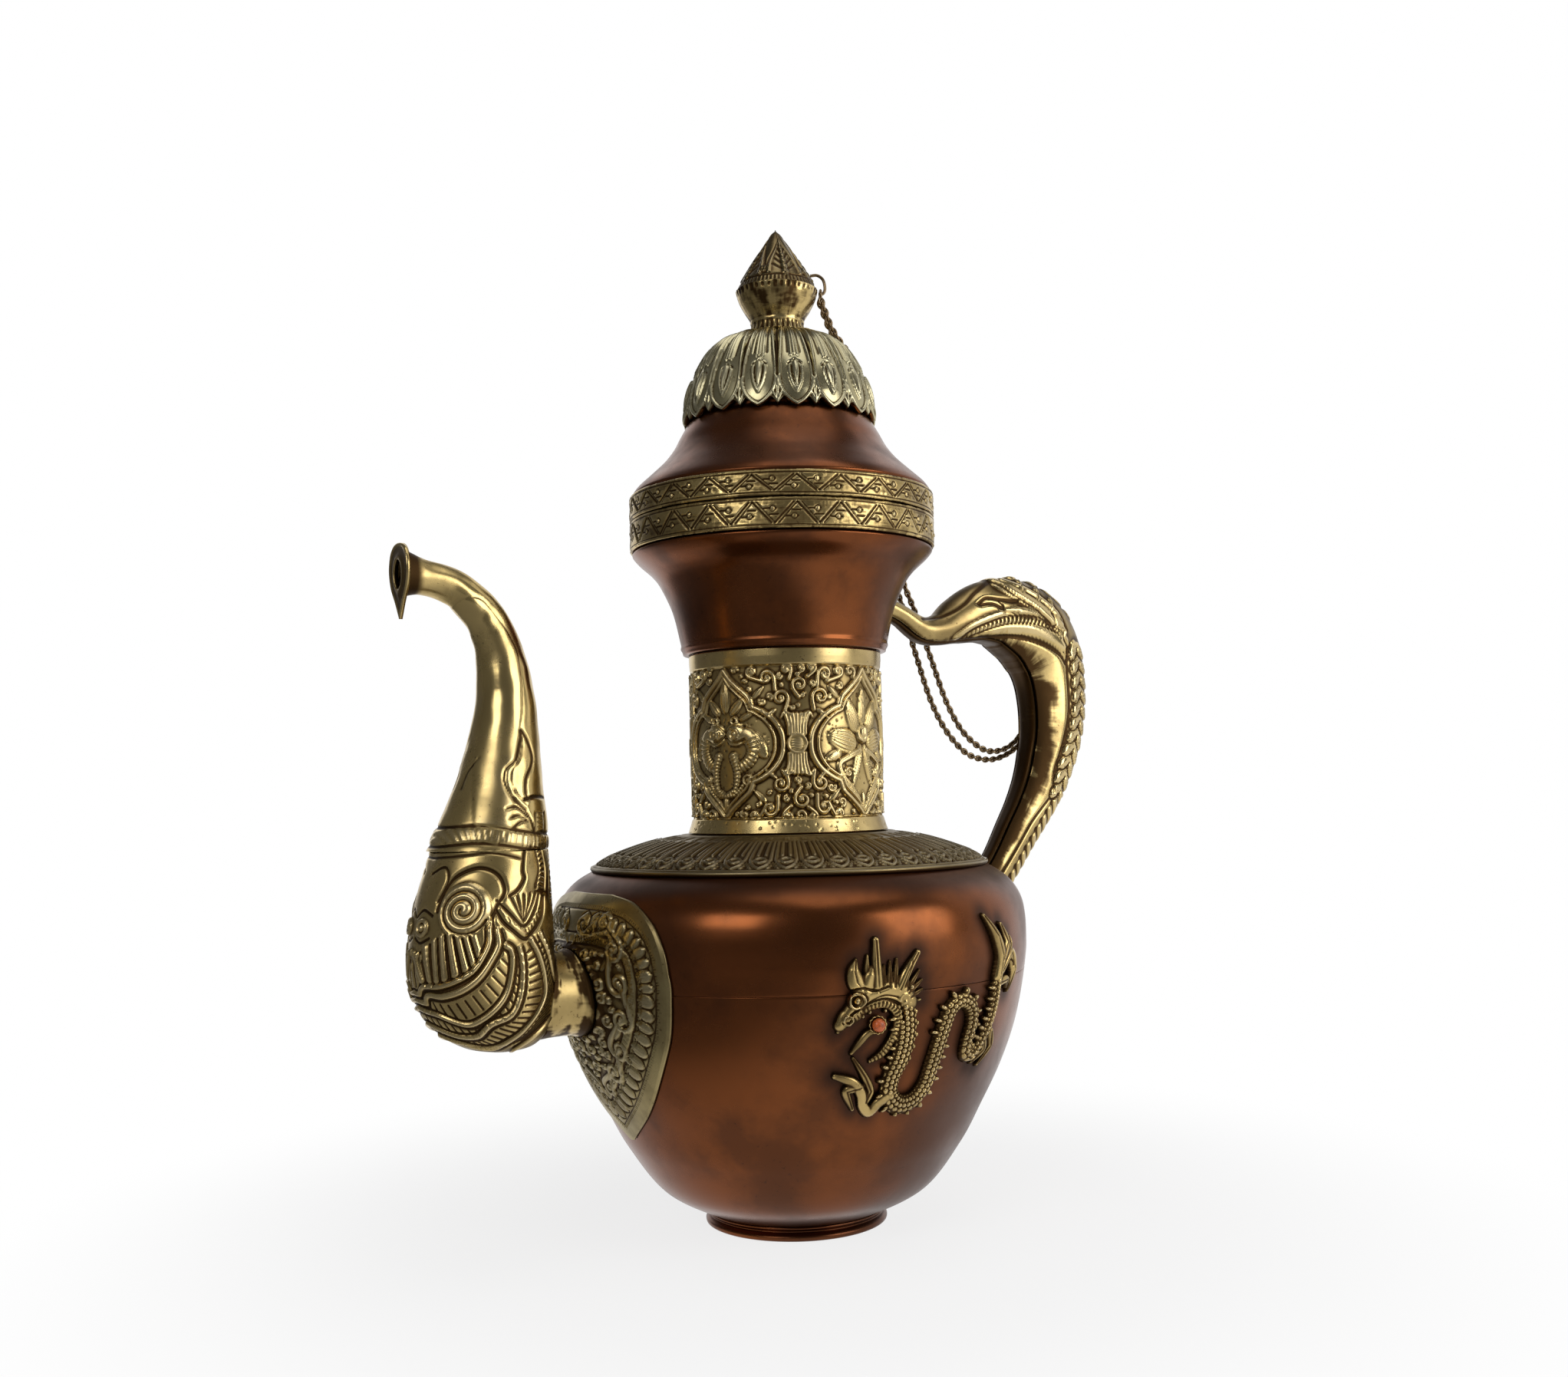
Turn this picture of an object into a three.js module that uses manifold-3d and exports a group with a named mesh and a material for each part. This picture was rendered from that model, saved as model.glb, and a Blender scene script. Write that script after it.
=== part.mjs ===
// A Himalayan ritual pitcher: copper belly and lid, brass mounts, a makara spout,
// a dragon-headed handle and a doubled chain that ties the lid to the handle.
// Millimetres, +Z up, origin under the middle of the foot, spout towards -X, handle towards +X.

import * as THREE from 'three';
import { mergeVertices } from 'three/addons/utils/BufferGeometryUtils.js';
import Module from 'manifold-3d';

const wasm = await Module();
wasm.setup();

// Driving dimensions
const SEAT = 0.3; // gap left between two pieces that touch
const COPPER_WALL = 1.2;
const BRASS_WALL = 0.9;
const BELLY_RADIUS = 83;
const BELLY_WIDEST = 101; // height of the widest ring
const FOOT_RADIUS = 31.9;
const FOOT_HEIGHT = 4.7;
const SEAM_HEIGHT = 89;
const COLLAR_RADIUS = 69.8; // engraved disc on the shoulder
const COLLAR_WALL = 0.8;
const NECK_RADIUS = 32.4; // inner copper tube, outside
const SHOULDER_TOP = 136.2;
const SLEEVE_RADIUS = 33.95;
const SLEEVE_TOP = 199.8;
const MOUTH_RADIUS = 52.5; // funnel's upright rim, outside
const MOUTH_TOP = 246.7;
const BAND_WALL = 1.1;
const BAND_BOTTOM = 236.7;
const LID_BAND_TOP = 255.6;
const LID_GAP = 0.5; // parting line between pot and lid
const FLANGE_DEPTH = 10; // how far the lid's sleeve reaches into the mouth
const FLANGE_PLAY = 0.8;
const DOME_RADIUS = 34.4;
const DOME_EDGE = 281.2;
const DOME_TOP = 313.6;
const PETALS = 16;
const FLUTE = 0.5; // depth of the grooves between petals
const CREASE_RADIUS = 14.6; // widest ring of the finial
const CUP_HEIGHT = 15.7; // finial's brass cup, from the dome to the widest ring
const CONE_HEIGHT = 22.3; // finial's copper tip
const SPOUT_HEIGHT = 87.5; // axis of the spout's collar
const SPOUT_BORE = 10;
const SPOUT_COLLAR_RADIUS = 14.2;
const SPOUT_REACH = 141.4;
const BULB_OFFSET = 33.6; // from the belly's widest ring to the axis of the spout's head
const BULB_JOINT = 135; // height where the trunk leaves the makara head
const SPOUT_WALL = 1.3;
const LIP_WALL = 1.5;
const HANDLE_WALL = 1.3;
const CHAIN_RADIUS = 1.2;
const CHAIN_STEPS = 44;
const WIRE_RADIUS = 0.55;
const DRAGON_RELIEF = 2.3;
const LINK_WIRE = 0.45;
const LINK_RADIUS = 1.9;
const SLEEVE_RELIEF = 0.9;
const COLLAR_RELIEF = 0.5;
const HEAD_RELIEF = 1; // beaten forms of the spout's and the handle's heads
const SHELL_RELIEF = 0.5; // row of shells inside the shield's border
const ROUND = 28; // facets round a large shell
const DEG = Math.PI / 180;

// Materials
function metal(color, roughness, metalness = 1) {
  return new THREE.MeshStandardMaterial({ color, roughness, metalness });
}
const copper = metal(0x8a4a2c, 0.35);
const darkCopper = metal(0x54301f, 0.4);
const brass = metal(0xb0975a, 0.35);
const paleBrass = metal(0xb3ad86, 0.38);
const darkBrass = metal(0x6d5f38, 0.5);
const chainMetal = metal(0x3b3026, 0.5);
const coral = metal(0xc2521c, 0.4, 0);

// Closed geometry with shared corners, faces outwards
function closed(geometry) {
  geometry.deleteAttribute('normal');
  geometry.deleteAttribute('uv');
  const merged = mergeVertices(geometry, 1e-4);
  const place = merged.getAttribute('position');
  const source = merged.getIndex().array;
  const corners = [];
  let volume = 0;
  const a = new THREE.Vector3();
  const b = new THREE.Vector3();
  const c = new THREE.Vector3();
  for (let i = 0; i < source.length; i += 3) {
    const [p, q, r] = source.slice(i, i + 3);
    if (p === q || q === r || r === p) continue;
    corners.push(p, q, r);
    a.fromBufferAttribute(place, p);
    b.fromBufferAttribute(place, q);
    c.fromBufferAttribute(place, r);
    volume += a.dot(b.cross(c));
  }
  merged.setIndex(volume < 0 ? corners.reverse() : corners);
  return merged;
}

function toSolid(geometry) {
  const shape = closed(geometry);
  return new wasm.Manifold(new wasm.Mesh({
    numProp: 3,
    vertProperties: new Float32Array(shape.getAttribute('position').array),
    triVerts: new Uint32Array(shape.getIndex().array),
  }));
}

function toGeometry(solid) {
  const mesh = solid.getMesh();
  const geometry = new THREE.BufferGeometry();
  geometry.setAttribute('position', new THREE.BufferAttribute(mesh.vertProperties, 3));
  geometry.setIndex(new THREE.BufferAttribute(mesh.triVerts, 1));
  return geometry;
}

// The largest body of a cut, so that no sliver stays behind
function mainBody(solid) {
  const bodies = solid.decompose();
  return bodies.reduce((best, body) => (body.volume() > best.volume() ? body : best));
}

// Curve through [radius, height] points, evenly sampled
function smooth(points, count) {
  const curve = new THREE.SplineCurve(points.map(([r, z]) => new THREE.Vector2(r, z)));
  return curve.getSpacedPoints(count).map((p) => [p.x, p.y]);
}

// The same line moved inwards by a wall thickness
function inset(line, wall) {
  return line.map(([r, z], i) => {
    const [r0, z0] = line[Math.max(i - 1, 0)];
    const [r1, z1] = line[Math.min(i + 1, line.length - 1)];
    const length = Math.hypot(r1 - r0, z1 - z0);
    return [r - (wall * (z1 - z0)) / length, z + (wall * (r1 - r0)) / length];
  });
}

function revolve(profile, facets = ROUND) {
  const loop = profile.map(([r, z]) => new THREE.Vector2(Math.max(r, 0), z));
  const onAxis = loop[0].x === 0 && loop[loop.length - 1].x === 0;
  if (!onAxis) loop.push(loop[0].clone());
  return new THREE.LatheGeometry(loop, facets).rotateX(Math.PI / 2);
}

// Every second point, with both ends kept
function thin(line) {
  return line.filter((_, i) => i % 2 === 0 || i === line.length - 1);
}

function wallOf(line, wall) {
  return [...line, ...thin(inset(line, wall)).reverse()];
}

// The other coordinate where a line passes a given radius (0) or height (1), looked for from its end
function crossing(line, axis, value) {
  for (let i = line.length - 1; i > 0; i -= 1) {
    const [a, b] = [line[i - 1], line[i]];
    const span = b[axis] - a[axis];
    if (span !== 0 && (value - a[axis]) * (value - b[axis]) <= 0) {
      return a[1 - axis] + ((b[1 - axis] - a[1 - axis]) * (value - a[axis])) / span;
    }
  }
  return line[line.length - 1][1 - axis];
}

function radiusAt(line, z) {
  return crossing(line, 1, z);
}

// A solid with rings of points as sides and flat ends given by a plane outline
function loft(rings, outline) {
  const count = rings[0].length;
  const corners = [];
  for (let i = 0; i + 1 < rings.length; i += 1) {
    for (let j = 0; j < count; j += 1) {
      const k = (j + 1) % count;
      const [a, b] = [i * count + j, i * count + k];
      corners.push(a, b, b + count, a, b + count, a + count);
    }
  }
  const cap = THREE.ShapeUtils.triangulateShape(outline.map(([x, y]) => new THREE.Vector2(x, y)), []);
  const last = (rings.length - 1) * count;
  const turned = THREE.ShapeUtils.area(outline.map(([x, y]) => new THREE.Vector2(x, y))) < 0;
  for (const [a, b, c] of cap) {
    corners.push(...(turned ? [a, b, c] : [a, c, b]));
    corners.push(...(turned ? [last + a, last + c, last + b] : [last + a, last + b, last + c]));
  }
  const geometry = new THREE.BufferGeometry();
  geometry.setAttribute('position', new THREE.Float32BufferAttribute(
    rings.flatMap((ring) => ring.flatMap((p) => [p.x, p.y, p.z])), 3));
  geometry.setIndex(corners);
  return geometry;
}

// Stations along a curve in the XZ plane; size holds two measures that change along it
function stations(points, sizes, count) {
  const path = new THREE.SplineCurve(points.map(([x, z]) => new THREE.Vector2(x, z)));
  const size = new THREE.SplineCurve(sizes.map(([a, b]) => new THREE.Vector2(a, b)));
  return Array.from({ length: count + 1 }, (_, i) => {
    const t = i / count;
    const place = path.getPoint(t);
    const along = path.getTangent(t);
    return { place, along, size: size.getPoint(t) };
  });
}

// A plane section [across the curve, along Y] set on a station
function setSection(station, section) {
  const { place, along } = station;
  return section.map(([n, y]) => new THREE.Vector3(
    place.x + n * along.y, y, place.y - n * along.x));
}

function circle(radiusN, radiusY, sides) {
  return Array.from({ length: sides }, (_, i) => {
    const t = (i / sides) * 2 * Math.PI;
    return [radiusN * Math.cos(t), radiusY * Math.sin(t)];
  });
}

// An open pipe between two sets of rings
function pipe(outer, inner) {
  const rings = [...outer, ...[...inner].reverse()];
  const count = rings[0].length;
  const corners = [];
  for (let i = 0; i < rings.length; i += 1) {
    const next = (i + 1) % rings.length;
    for (let j = 0; j < count; j += 1) {
      const k = (j + 1) % count;
      const [a, b] = [i * count + j, i * count + k];
      const [c, d] = [next * count + j, next * count + k];
      corners.push(a, b, d, a, d, c);
    }
  }
  const geometry = new THREE.BufferGeometry();
  geometry.setAttribute('position', new THREE.Float32BufferAttribute(
    rings.flatMap((ring) => ring.flatMap((p) => [p.x, p.y, p.z])), 3));
  geometry.setIndex(corners);
  return geometry;
}

function polar(angle, radius, z) {
  return new THREE.Vector3(radius * Math.cos(angle * DEG), radius * Math.sin(angle * DEG), z);
}

// Distance from a plane point to a line of points
function awayFrom(line, x, y) {
  return Math.min(...line.slice(1).map(([bx, by], i) => {
    const [ax, ay] = line[i];
    const t = ((x - ax) * (bx - ax) + (y - ay) * (by - ay)) / ((bx - ax) ** 2 + (by - ay) ** 2);
    const u = Math.min(1, Math.max(0, t));
    return Math.hypot(x - ax - u * (bx - ax), y - ay - u * (by - ay));
  }));
}

// Outer lines of the large shells
const bellyFloor = FOOT_HEIGHT + SEAT;
const creaseHeight = DOME_TOP + CUP_HEIGHT;
const tipHeight = creaseHeight + CONE_HEIGHT;
const bulbReach = BELLY_RADIUS + BULB_OFFSET;
const bellyLine = smooth([
  [FOOT_RADIUS - 0.4, bellyFloor], [BELLY_RADIUS - 35.4, 13.8], [BELLY_RADIUS - 23.7, 29.1],
  [BELLY_RADIUS - 16.6, 42.3], [BELLY_RADIUS - 10.1, 55.5], [BELLY_RADIUS - 5.2, 68.6],
  [BELLY_RADIUS - 2.1, 81.6], [BELLY_RADIUS - 0.2, 94.5], [BELLY_RADIUS, BELLY_WIDEST],
  [BELLY_RADIUS - 0.3, 107.4], [BELLY_RADIUS - 1.4, 113], [BELLY_RADIUS - 4, 117.8],
  [BELLY_RADIUS - 7.8, 121.6], [COLLAR_RADIUS - 0.3, 125], [62, 129], [50, 133.2], [40, 135.3],
  [NECK_RADIUS + SEAT, SHOULDER_TOP],
], 24);
const seamRadius = radiusAt(bellyLine, SEAM_HEIGHT);
const lowerLine = [
  ...bellyLine.filter(([, z]) => z < SEAM_HEIGHT - 2), [seamRadius, SEAM_HEIGHT - SEAT / 2]];
const upperLine = [
  [seamRadius, SEAM_HEIGHT + SEAT / 2],
  ...bellyLine.filter(([, z]) => z > SEAM_HEIGHT + 2)];
const collarLine = [
  [COLLAR_RADIUS, crossing(bellyLine, 0, COLLAR_RADIUS)],
  ...bellyLine.filter(([r, z]) => r < COLLAR_RADIUS - 2 && z > BELLY_WIDEST)];
const sleeveBottom = SHOULDER_TOP + SEAT + COLLAR_WALL + SEAT;
const funnelLine = [
  ...smooth([
    [36, SLEEVE_TOP + 0.7], [36.9, 205], [39.4, 215.6], [43.3, 224.3], [MOUTH_RADIUS - 6.2, 228.6],
    [MOUTH_RADIUS - 1.6, 232.8], [MOUTH_RADIUS + 0.6, 235.4],
    [MOUTH_RADIUS + 0.3, BAND_BOTTOM - SEAT - 0.1],
  ], 7),
  [MOUTH_RADIUS, BAND_BOTTOM], [MOUTH_RADIUS, MOUTH_TOP - 0.1]];
const domeLine = smooth([
  [1, 0], [0.985, 0.164], [0.939, 0.364], [0.86, 0.568], [0.733, 0.79], [0.581, 0.917], [0.407, 0.981],
  [0.262, 1],
].map(([out, up]) => [out * DOME_RADIUS, DOME_EDGE + up * (DOME_TOP - DOME_EDGE)]), 7);

// Solid of revolution inside an outer line, grown by a gap, used to cut what sits on it
function filled(line, gap) {
  const grown = inset(line, -gap);
  const [first, last] = [grown[0], grown[grown.length - 1]];
  return toSolid(revolve([[0, first[1]], ...grown, [0, last[1]]]));
}
const bellySolid = filled(bellyLine, SEAT);
const funnelSolid = filled(funnelLine, SEAT);

// Pot
function footRing() {
  return revolve([
    [28.6, 0], [FOOT_RADIUS - 0.2, 0], [FOOT_RADIUS + 0.2, 1.6], [FOOT_RADIUS - 0.9, 3.3],
    [FOOT_RADIUS - 0.5, FOOT_HEIGHT], [29.2, FOOT_HEIGHT], [28.7, 2.6]]);
}

function drill(geometry, radius) {
  const bore = new THREE.CylinderGeometry(radius, radius, 60, 24).rotateZ(Math.PI / 2);
  bore.translate(-BELLY_RADIUS, 0, SPOUT_HEIGHT);
  return mainBody(toSolid(geometry).subtract(toSolid(bore)));
}

function bellyLower() {
  const lap = inset(lowerLine, COPPER_WALL);
  const [edgeRadius, edgeHeight] = lap[lap.length - 1];
  const profile = [
    [0, bellyFloor], ...lowerLine,
    [edgeRadius - SEAT, edgeHeight], [edgeRadius - SEAT, edgeHeight + 3],
    [edgeRadius - SEAT - 0.8, edgeHeight + 3], [edgeRadius - SEAT - 0.8, edgeHeight],
    ...thin(lap.slice(1, -1)).reverse(),
    [FOOT_RADIUS - 3, bellyFloor + COPPER_WALL], [0, bellyFloor + COPPER_WALL]];
  return toGeometry(drill(revolve(profile), SPOUT_BORE));
}

function bellyUpper() {
  return toGeometry(drill(revolve(wallOf(upperLine, COPPER_WALL)), SPOUT_BORE));
}

// A turned shell whose outer rings swell by lift(column, row)
function chased(outer, inner, columns, lift) {
  const rings = (line, rise) => line.map(([r, z], i) => Array.from({ length: columns }, (_, j) => {
    const [r0, z0] = line[Math.max(i - 1, 0)];
    const [r1, z1] = line[Math.min(i + 1, line.length - 1)];
    const length = Math.hypot(r1 - r0, z1 - z0);
    const high = rise(j, i);
    return polar((360 * j) / columns, r + (high * (z1 - z0)) / length, z - (high * (r1 - r0)) / length);
  }));
  return pipe(rings(outer, lift), rings(inner, () => 0));
}

// Every second of the collar's petals stands proud between its two rims
function shoulderCollar() {
  const line = inset(collarLine, -SEAT - COLLAR_WALL);
  const petal = (column, row) => (row > 0 && row < line.length - 2 && column % 2 ? COLLAR_RELIEF : 0);
  return chased(line, inset(collarLine, -SEAT), 48, petal);
}

function neckTube() {
  const lip = SHOULDER_TOP - COPPER_WALL - SEAT - 0.9;
  return revolve([
    [NECK_RADIUS - 1, lip - 1.2], [NECK_RADIUS + 2.2, lip - 1.2], [NECK_RADIUS + 2.2, lip - 0.2],
    [NECK_RADIUS, lip], [NECK_RADIUS, SLEEVE_TOP + 4], [NECK_RADIUS - 1, SLEEVE_TOP + 4]]);
}

// Panels in ogee frames, a clasp between each two; places are [mm round, mm up] from a panel's middle
const PANEL_EDGE = [
  [0, 24], [6.4, 18.9], [11.2, 12.6], [18.4, 8.4], [21.9, 0],
  [18.4, -8.4], [11.2, -12.6], [6.4, -18.9], [0, -24]];
const PANEL_ANGLE = 18.4;
const panelMiddle = (sleeveBottom + SLEEVE_TOP) / 2 - 1;

function neckSleeve() {
  const bore = NECK_RADIUS + SEAT;
  const ground = SLEEVE_RADIUS - SLEEVE_RELIEF;
  const columns = 64;
  const levels = [-20, -15, -10, -5, 0, 5, 10, 15, 20];
  const line = [
    [SLEEVE_RADIUS + 1.5, sleeveBottom], [SLEEVE_RADIUS, sleeveBottom + 4.6], [ground, sleeveBottom + 5.4],
    ...levels.map((up) => [ground, panelMiddle + up]),
    [ground, SLEEVE_TOP - 6], [SLEEVE_RADIUS, SLEEVE_TOP - 5.2], [SLEEVE_RADIUS + 0.1, SLEEVE_TOP]];
  const quarter = (Math.PI / 2) * SLEEVE_RADIUS;
  const relief = (column, row) => {
    if (row < 3 || row > line.length - 4) return 0;
    const round = ((360 * column) / columns - PANEL_ANGLE) * DEG * SLEEVE_RADIUS;
    const x = Math.abs(round - quarter * Math.round(round / quarter));
    const up = line[row][1] - panelMiddle;
    const clasp = awayFrom([[quarter / 2, -10], [quarter / 2, 10]], x, up) < 2.6;
    const beast = awayFrom([[5, 4], [11, 5], [10, -4], [3, -12]], x, up) < 2.4;
    const scroll = awayFrom([[quarter / 2 - 9, 15], [quarter / 2, 18]], x, Math.abs(up)) < 2;
    return clasp || beast || scroll || awayFrom(PANEL_EDGE, x, up) < 1.7 ? SLEEVE_RELIEF : 0;
  };
  return chased(line, [[bore, sleeveBottom], [bore, SLEEVE_TOP]], columns, relief);
}

function mouthFunnel() {
  const inner = thin(inset(funnelLine, COPPER_WALL).slice(1));
  const bore = NECK_RADIUS + SEAT;
  const foot = SLEEVE_TOP + 0.5;
  return revolve([
    [bore, foot], ...funnelLine, ...inner.reverse(), [NECK_RADIUS + 1.6, foot + 3.4], [bore, foot + 3]]);
}

function mouthBand() {
  const bore = MOUTH_RADIUS + SEAT;
  return revolve([
    [bore, BAND_BOTTOM], [bore + BAND_WALL - 0.3, BAND_BOTTOM], [bore + BAND_WALL, BAND_BOTTOM + 1],
    [bore + BAND_WALL, MOUTH_TOP - 0.6], [bore + BAND_WALL - 0.3, MOUTH_TOP], [bore, MOUTH_TOP]]);
}

// Lid
const lidBottom = MOUTH_TOP + LID_GAP;
const bellTop = DOME_TOP - BRASS_WALL - SEAT - 0.8;
const washerTop = bellTop - COPPER_WALL - SEAT - 0.4;
const bellLine = [
  [MOUTH_RADIUS - 0.1, lidBottom + 0.2], [MOUTH_RADIUS - 0.1, LID_BAND_TOP + SEAT],
  ...smooth([
    [MOUTH_RADIUS + 0.4, LID_BAND_TOP + 0.8], [MOUTH_RADIUS - 1.5, 258.9], [MOUTH_RADIUS - 6.5, 263.4],
    [DOME_RADIUS + 7, 267.8], [DOME_RADIUS + 3.6, 272.2], [DOME_RADIUS + 1.2, 276.6],
    [DOME_RADIUS - 1.3, DOME_EDGE - 0.3],
  ], 6),
  ...thin(inset(domeLine, BRASS_WALL + FLUTE + 1.2)).slice(1), [3, bellTop]];

function lidBand() {
  const bore = MOUTH_RADIUS + SEAT;
  return revolve([
    [bore, lidBottom], [bore + BAND_WALL - 0.3, lidBottom], [bore + BAND_WALL, lidBottom + 0.8],
    [bore + BAND_WALL, LID_BAND_TOP - 0.8], [bore + BAND_WALL - 0.3, LID_BAND_TOP], [bore, LID_BAND_TOP]]);
}

function lidBell() {
  return revolve(wallOf(bellLine, COPPER_WALL));
}

const flangeRadius = MOUTH_RADIUS - COPPER_WALL - FLANGE_PLAY;

function lidFlange() {
  const bottom = lidBottom - FLANGE_DEPTH;
  const seat = MOUTH_RADIUS - 0.1 - COPPER_WALL - SEAT;
  return revolve([
    [flangeRadius - BRASS_WALL - 0.5, bottom], [flangeRadius - 0.5, bottom], [flangeRadius, bottom + 1],
    [flangeRadius, lidBottom + 0.5], [seat, lidBottom + 1.5], [seat, LID_BAND_TOP - 1.5],
    [flangeRadius - BRASS_WALL, LID_BAND_TOP - 1.5], [flangeRadius - BRASS_WALL, bottom + 1]]);
}

// Fluted cap: each petal swells between two grooves and ends in a point
function lidDome() {
  const facets = PETALS * 4;
  const notch = 3.2;
  const line = [...domeLine, [3, DOME_TOP]];
  const ringsFor = (wall) => inset(line, wall).map(([r, z], i) => Array.from({ length: facets }, (_, j) => {
    const hollow = 1 - Math.abs(Math.cos((j / facets) * PETALS * Math.PI));
    const depth = FLUTE * hollow * Math.min(1, Math.max(0, (r - 6) / 16));
    return polar((360 * j) / facets, r - depth, z + notch * hollow * Math.max(0, 1 - i / 2));
  }));
  const inner = ringsFor(BRASS_WALL).filter((_, i) => i % 2 === 0 || i === line.length - 1);
  return pipe(ringsFor(0), inner);
}

function finialCup() {
  const line = smooth([
    [10, DOME_TOP + SEAT + 0.4], ...[[9.4, 3.4], [9.7, 5.4], [11.9, 9], [13.6, 12.3]].map(
      ([r, up]) => [r, DOME_TOP + (up * CUP_HEIGHT) / 15.7]),
    [CREASE_RADIUS, creaseHeight],
  ], 6);
  return revolve([
    [2.9, DOME_TOP + SEAT], ...line, [CREASE_RADIUS - 1.2, creaseHeight],
    ...thin(inset(line, 1).slice(1, -1)).reverse(), [7, DOME_TOP + 2], [2.9, DOME_TOP + 2]], 18);
}

const coneLine = smooth([
  [1, 0.013], [0.91, 0.12], [0.67, 0.37], [0.53, 0.51], [0.315, 0.73], [0.137, 0.91], [0, 1],
].map(([r, up]) => [r * (CREASE_RADIUS - 0.1), creaseHeight + SEAT * (1 - up) + up * CONE_HEIGHT]), 7);

function finialCone() {
  const base = creaseHeight + SEAT;
  const under = inset(coneLine, 1).map(([r, z]) => [r, Math.max(z, base)]);
  const inner = thin(under.filter(([r]) => r > 1.2)).reverse();
  return revolve([...coneLine, [0, inner[0][1] + 0.6], ...inner], 18);
}

function finialRivet() {
  const head = DOME_TOP + 2 + SEAT;
  const foot = washerTop - 1 - SEAT;
  return revolve([
    [0, foot - 2.2], [2.2, foot - 2], [3.6, foot - 1], [3.8, foot], [2.3, foot], [2.3, head],
    [4.6, head], [4.4, head + 1], [2.6, head + 1.8], [0, head + 2]], 12);
}

function finialWasher() {
  return revolve([[2.8, washerTop - 1], [5.6, washerTop - 1], [5.6, washerTop], [2.8, washerTop]], 14);
}

// Wire bent in space
function wire(points, radius, steps, sides = 6) {
  const path = new THREE.CatmullRomCurve3(points);
  const section = new THREE.Shape(circle(radius, radius, sides).map(([x, y]) => new THREE.Vector2(x, y)));
  return new THREE.ExtrudeGeometry(section, { steps, bevelEnabled: false, extrudePath: path });
}

const EYE_ANGLE = -28;
const eyeLow = creaseHeight - 0.5;
const eyeReach = CREASE_RADIUS + 2.7;

function finialEye() {
  const spot = ([r, z]) => polar(EYE_ANGLE, r, z);
  const hookTop = creaseHeight + 0.265 * CONE_HEIGHT;
  const upper = radiusAt(coneLine, hookTop) + SEAT + WIRE_RADIUS;
  return wire([
    [upper, hookTop], [CREASE_RADIUS, hookTop + 0.2], [CREASE_RADIUS + 2, hookTop - 1.2],
    [eyeReach, creaseHeight + 2.3], [eyeReach - 0.15, creaseHeight + 0.4],
    [eyeReach - 0.9, eyeLow], [CREASE_RADIUS + SEAT + 0.1, eyeLow],
  ].map(spot), WIRE_RADIUS, 14);
}

const topLinkDrop = eyeLow + WIRE_RADIUS + 0.25 - (LINK_RADIUS - LINK_WIRE);

// A link that stands upright, its axis pointing along an angle in plan
function standing(center, angle) {
  const ring = new THREE.TorusGeometry(LINK_RADIUS, LINK_WIRE, 6, 14);
  ring.rotateY(Math.PI / 2);
  ring.rotateZ(angle * DEG);
  return ring.translate(center.x, center.y, center.z);
}

function chainTopRing() {
  return standing(polar(EYE_ANGLE, CREASE_RADIUS + 1.05, topLinkDrop), EYE_ANGLE);
}

// Spout
const BULB_SIDES = 16;
const bulbRings = [
  [BULB_JOINT, -3.8, 18.2], [126, -2.1, 20.2], [117, -1, 21.6], [107, -0.2, 22.6], [98, 0, 22.8],
  [90, -0.6, 22.1], [83, -1.8, 20.2], [77, -3.8, 16.4], [73, -5.4, 11], [71.4, -6.2, 5],
].map(([z, ahead, radius]) => [z, bulbReach + ahead, radius]);

// Brow roll, coiled cheek, jaw and the fold behind it, as lines of [arc from the front, height]
const headForms = [
  [[8, 136], [24, 138], [36, 134]], [[17, 117], [22, 118]], [[14, 92], [28, 100], [33, 108]],
  [[34, 84], [47, 92], [46, 104]]];

function headLift(arc, z) {
  return HEAD_RELIEF * Math.max(0, ...headForms.map((line) => 1 - awayFrom(line, arc, z) / 6));
}

function bulbSolid(shrink) {
  const rings = bulbRings.map(([z, reach, radius]) => circle(1, 1, BULB_SIDES).map(([x, y]) => {
    const arc = Math.acos(Math.max(-1, Math.min(1, -x))) * radius;
    const out = radius - shrink + (shrink > 0 ? 0 : headLift(arc, z));
    return new THREE.Vector3(x * out - reach, y * out, Math.max(z, 71.4 + shrink));
  }));
  const flat = rings.filter((ring, i) => i === 0 || ring[0].z < rings[i - 1][0].z);
  return toSolid(loft(flat, circle(10, 10, BULB_SIDES)));
}

function spoutBulb() {
  const bore = new THREE.CylinderGeometry(SPOUT_BORE + 1, SPOUT_BORE + 1, 24, 24).rotateZ(Math.PI / 2);
  bore.translate(18.6 - bulbReach, 0, SPOUT_HEIGHT);
  const [, reach, radius] = bulbRings[0];
  const mouth = new THREE.CylinderGeometry(radius - SPOUT_WALL, radius - SPOUT_WALL, 8, BULB_SIDES);
  mouth.rotateX(Math.PI / 2).translate(-reach, 0, BULB_JOINT);
  const hollow = bulbSolid(SPOUT_WALL).add(toSolid(bore)).add(toSolid(mouth));
  return toGeometry(mainBody(bulbSolid(0).subtract(hollow)));
}

function spoutCollar() {
  const start = BELLY_RADIUS - 4;
  const length = bulbReach - 15.6 - start;
  const tube = revolve([
    [SPOUT_BORE + 1, 0], [SPOUT_COLLAR_RADIUS, 0], [SPOUT_COLLAR_RADIUS - 0.5, length * 0.55],
    [SPOUT_COLLAR_RADIUS, length], [SPOUT_BORE + 1, length]], 28);
  tube.rotateY(-Math.PI / 2).translate(-start, 0, SPOUT_HEIGHT);
  return toGeometry(mainBody(toSolid(tube).subtract(bellySolid).subtract(bulbSolid(-SEAT))));
}

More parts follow.
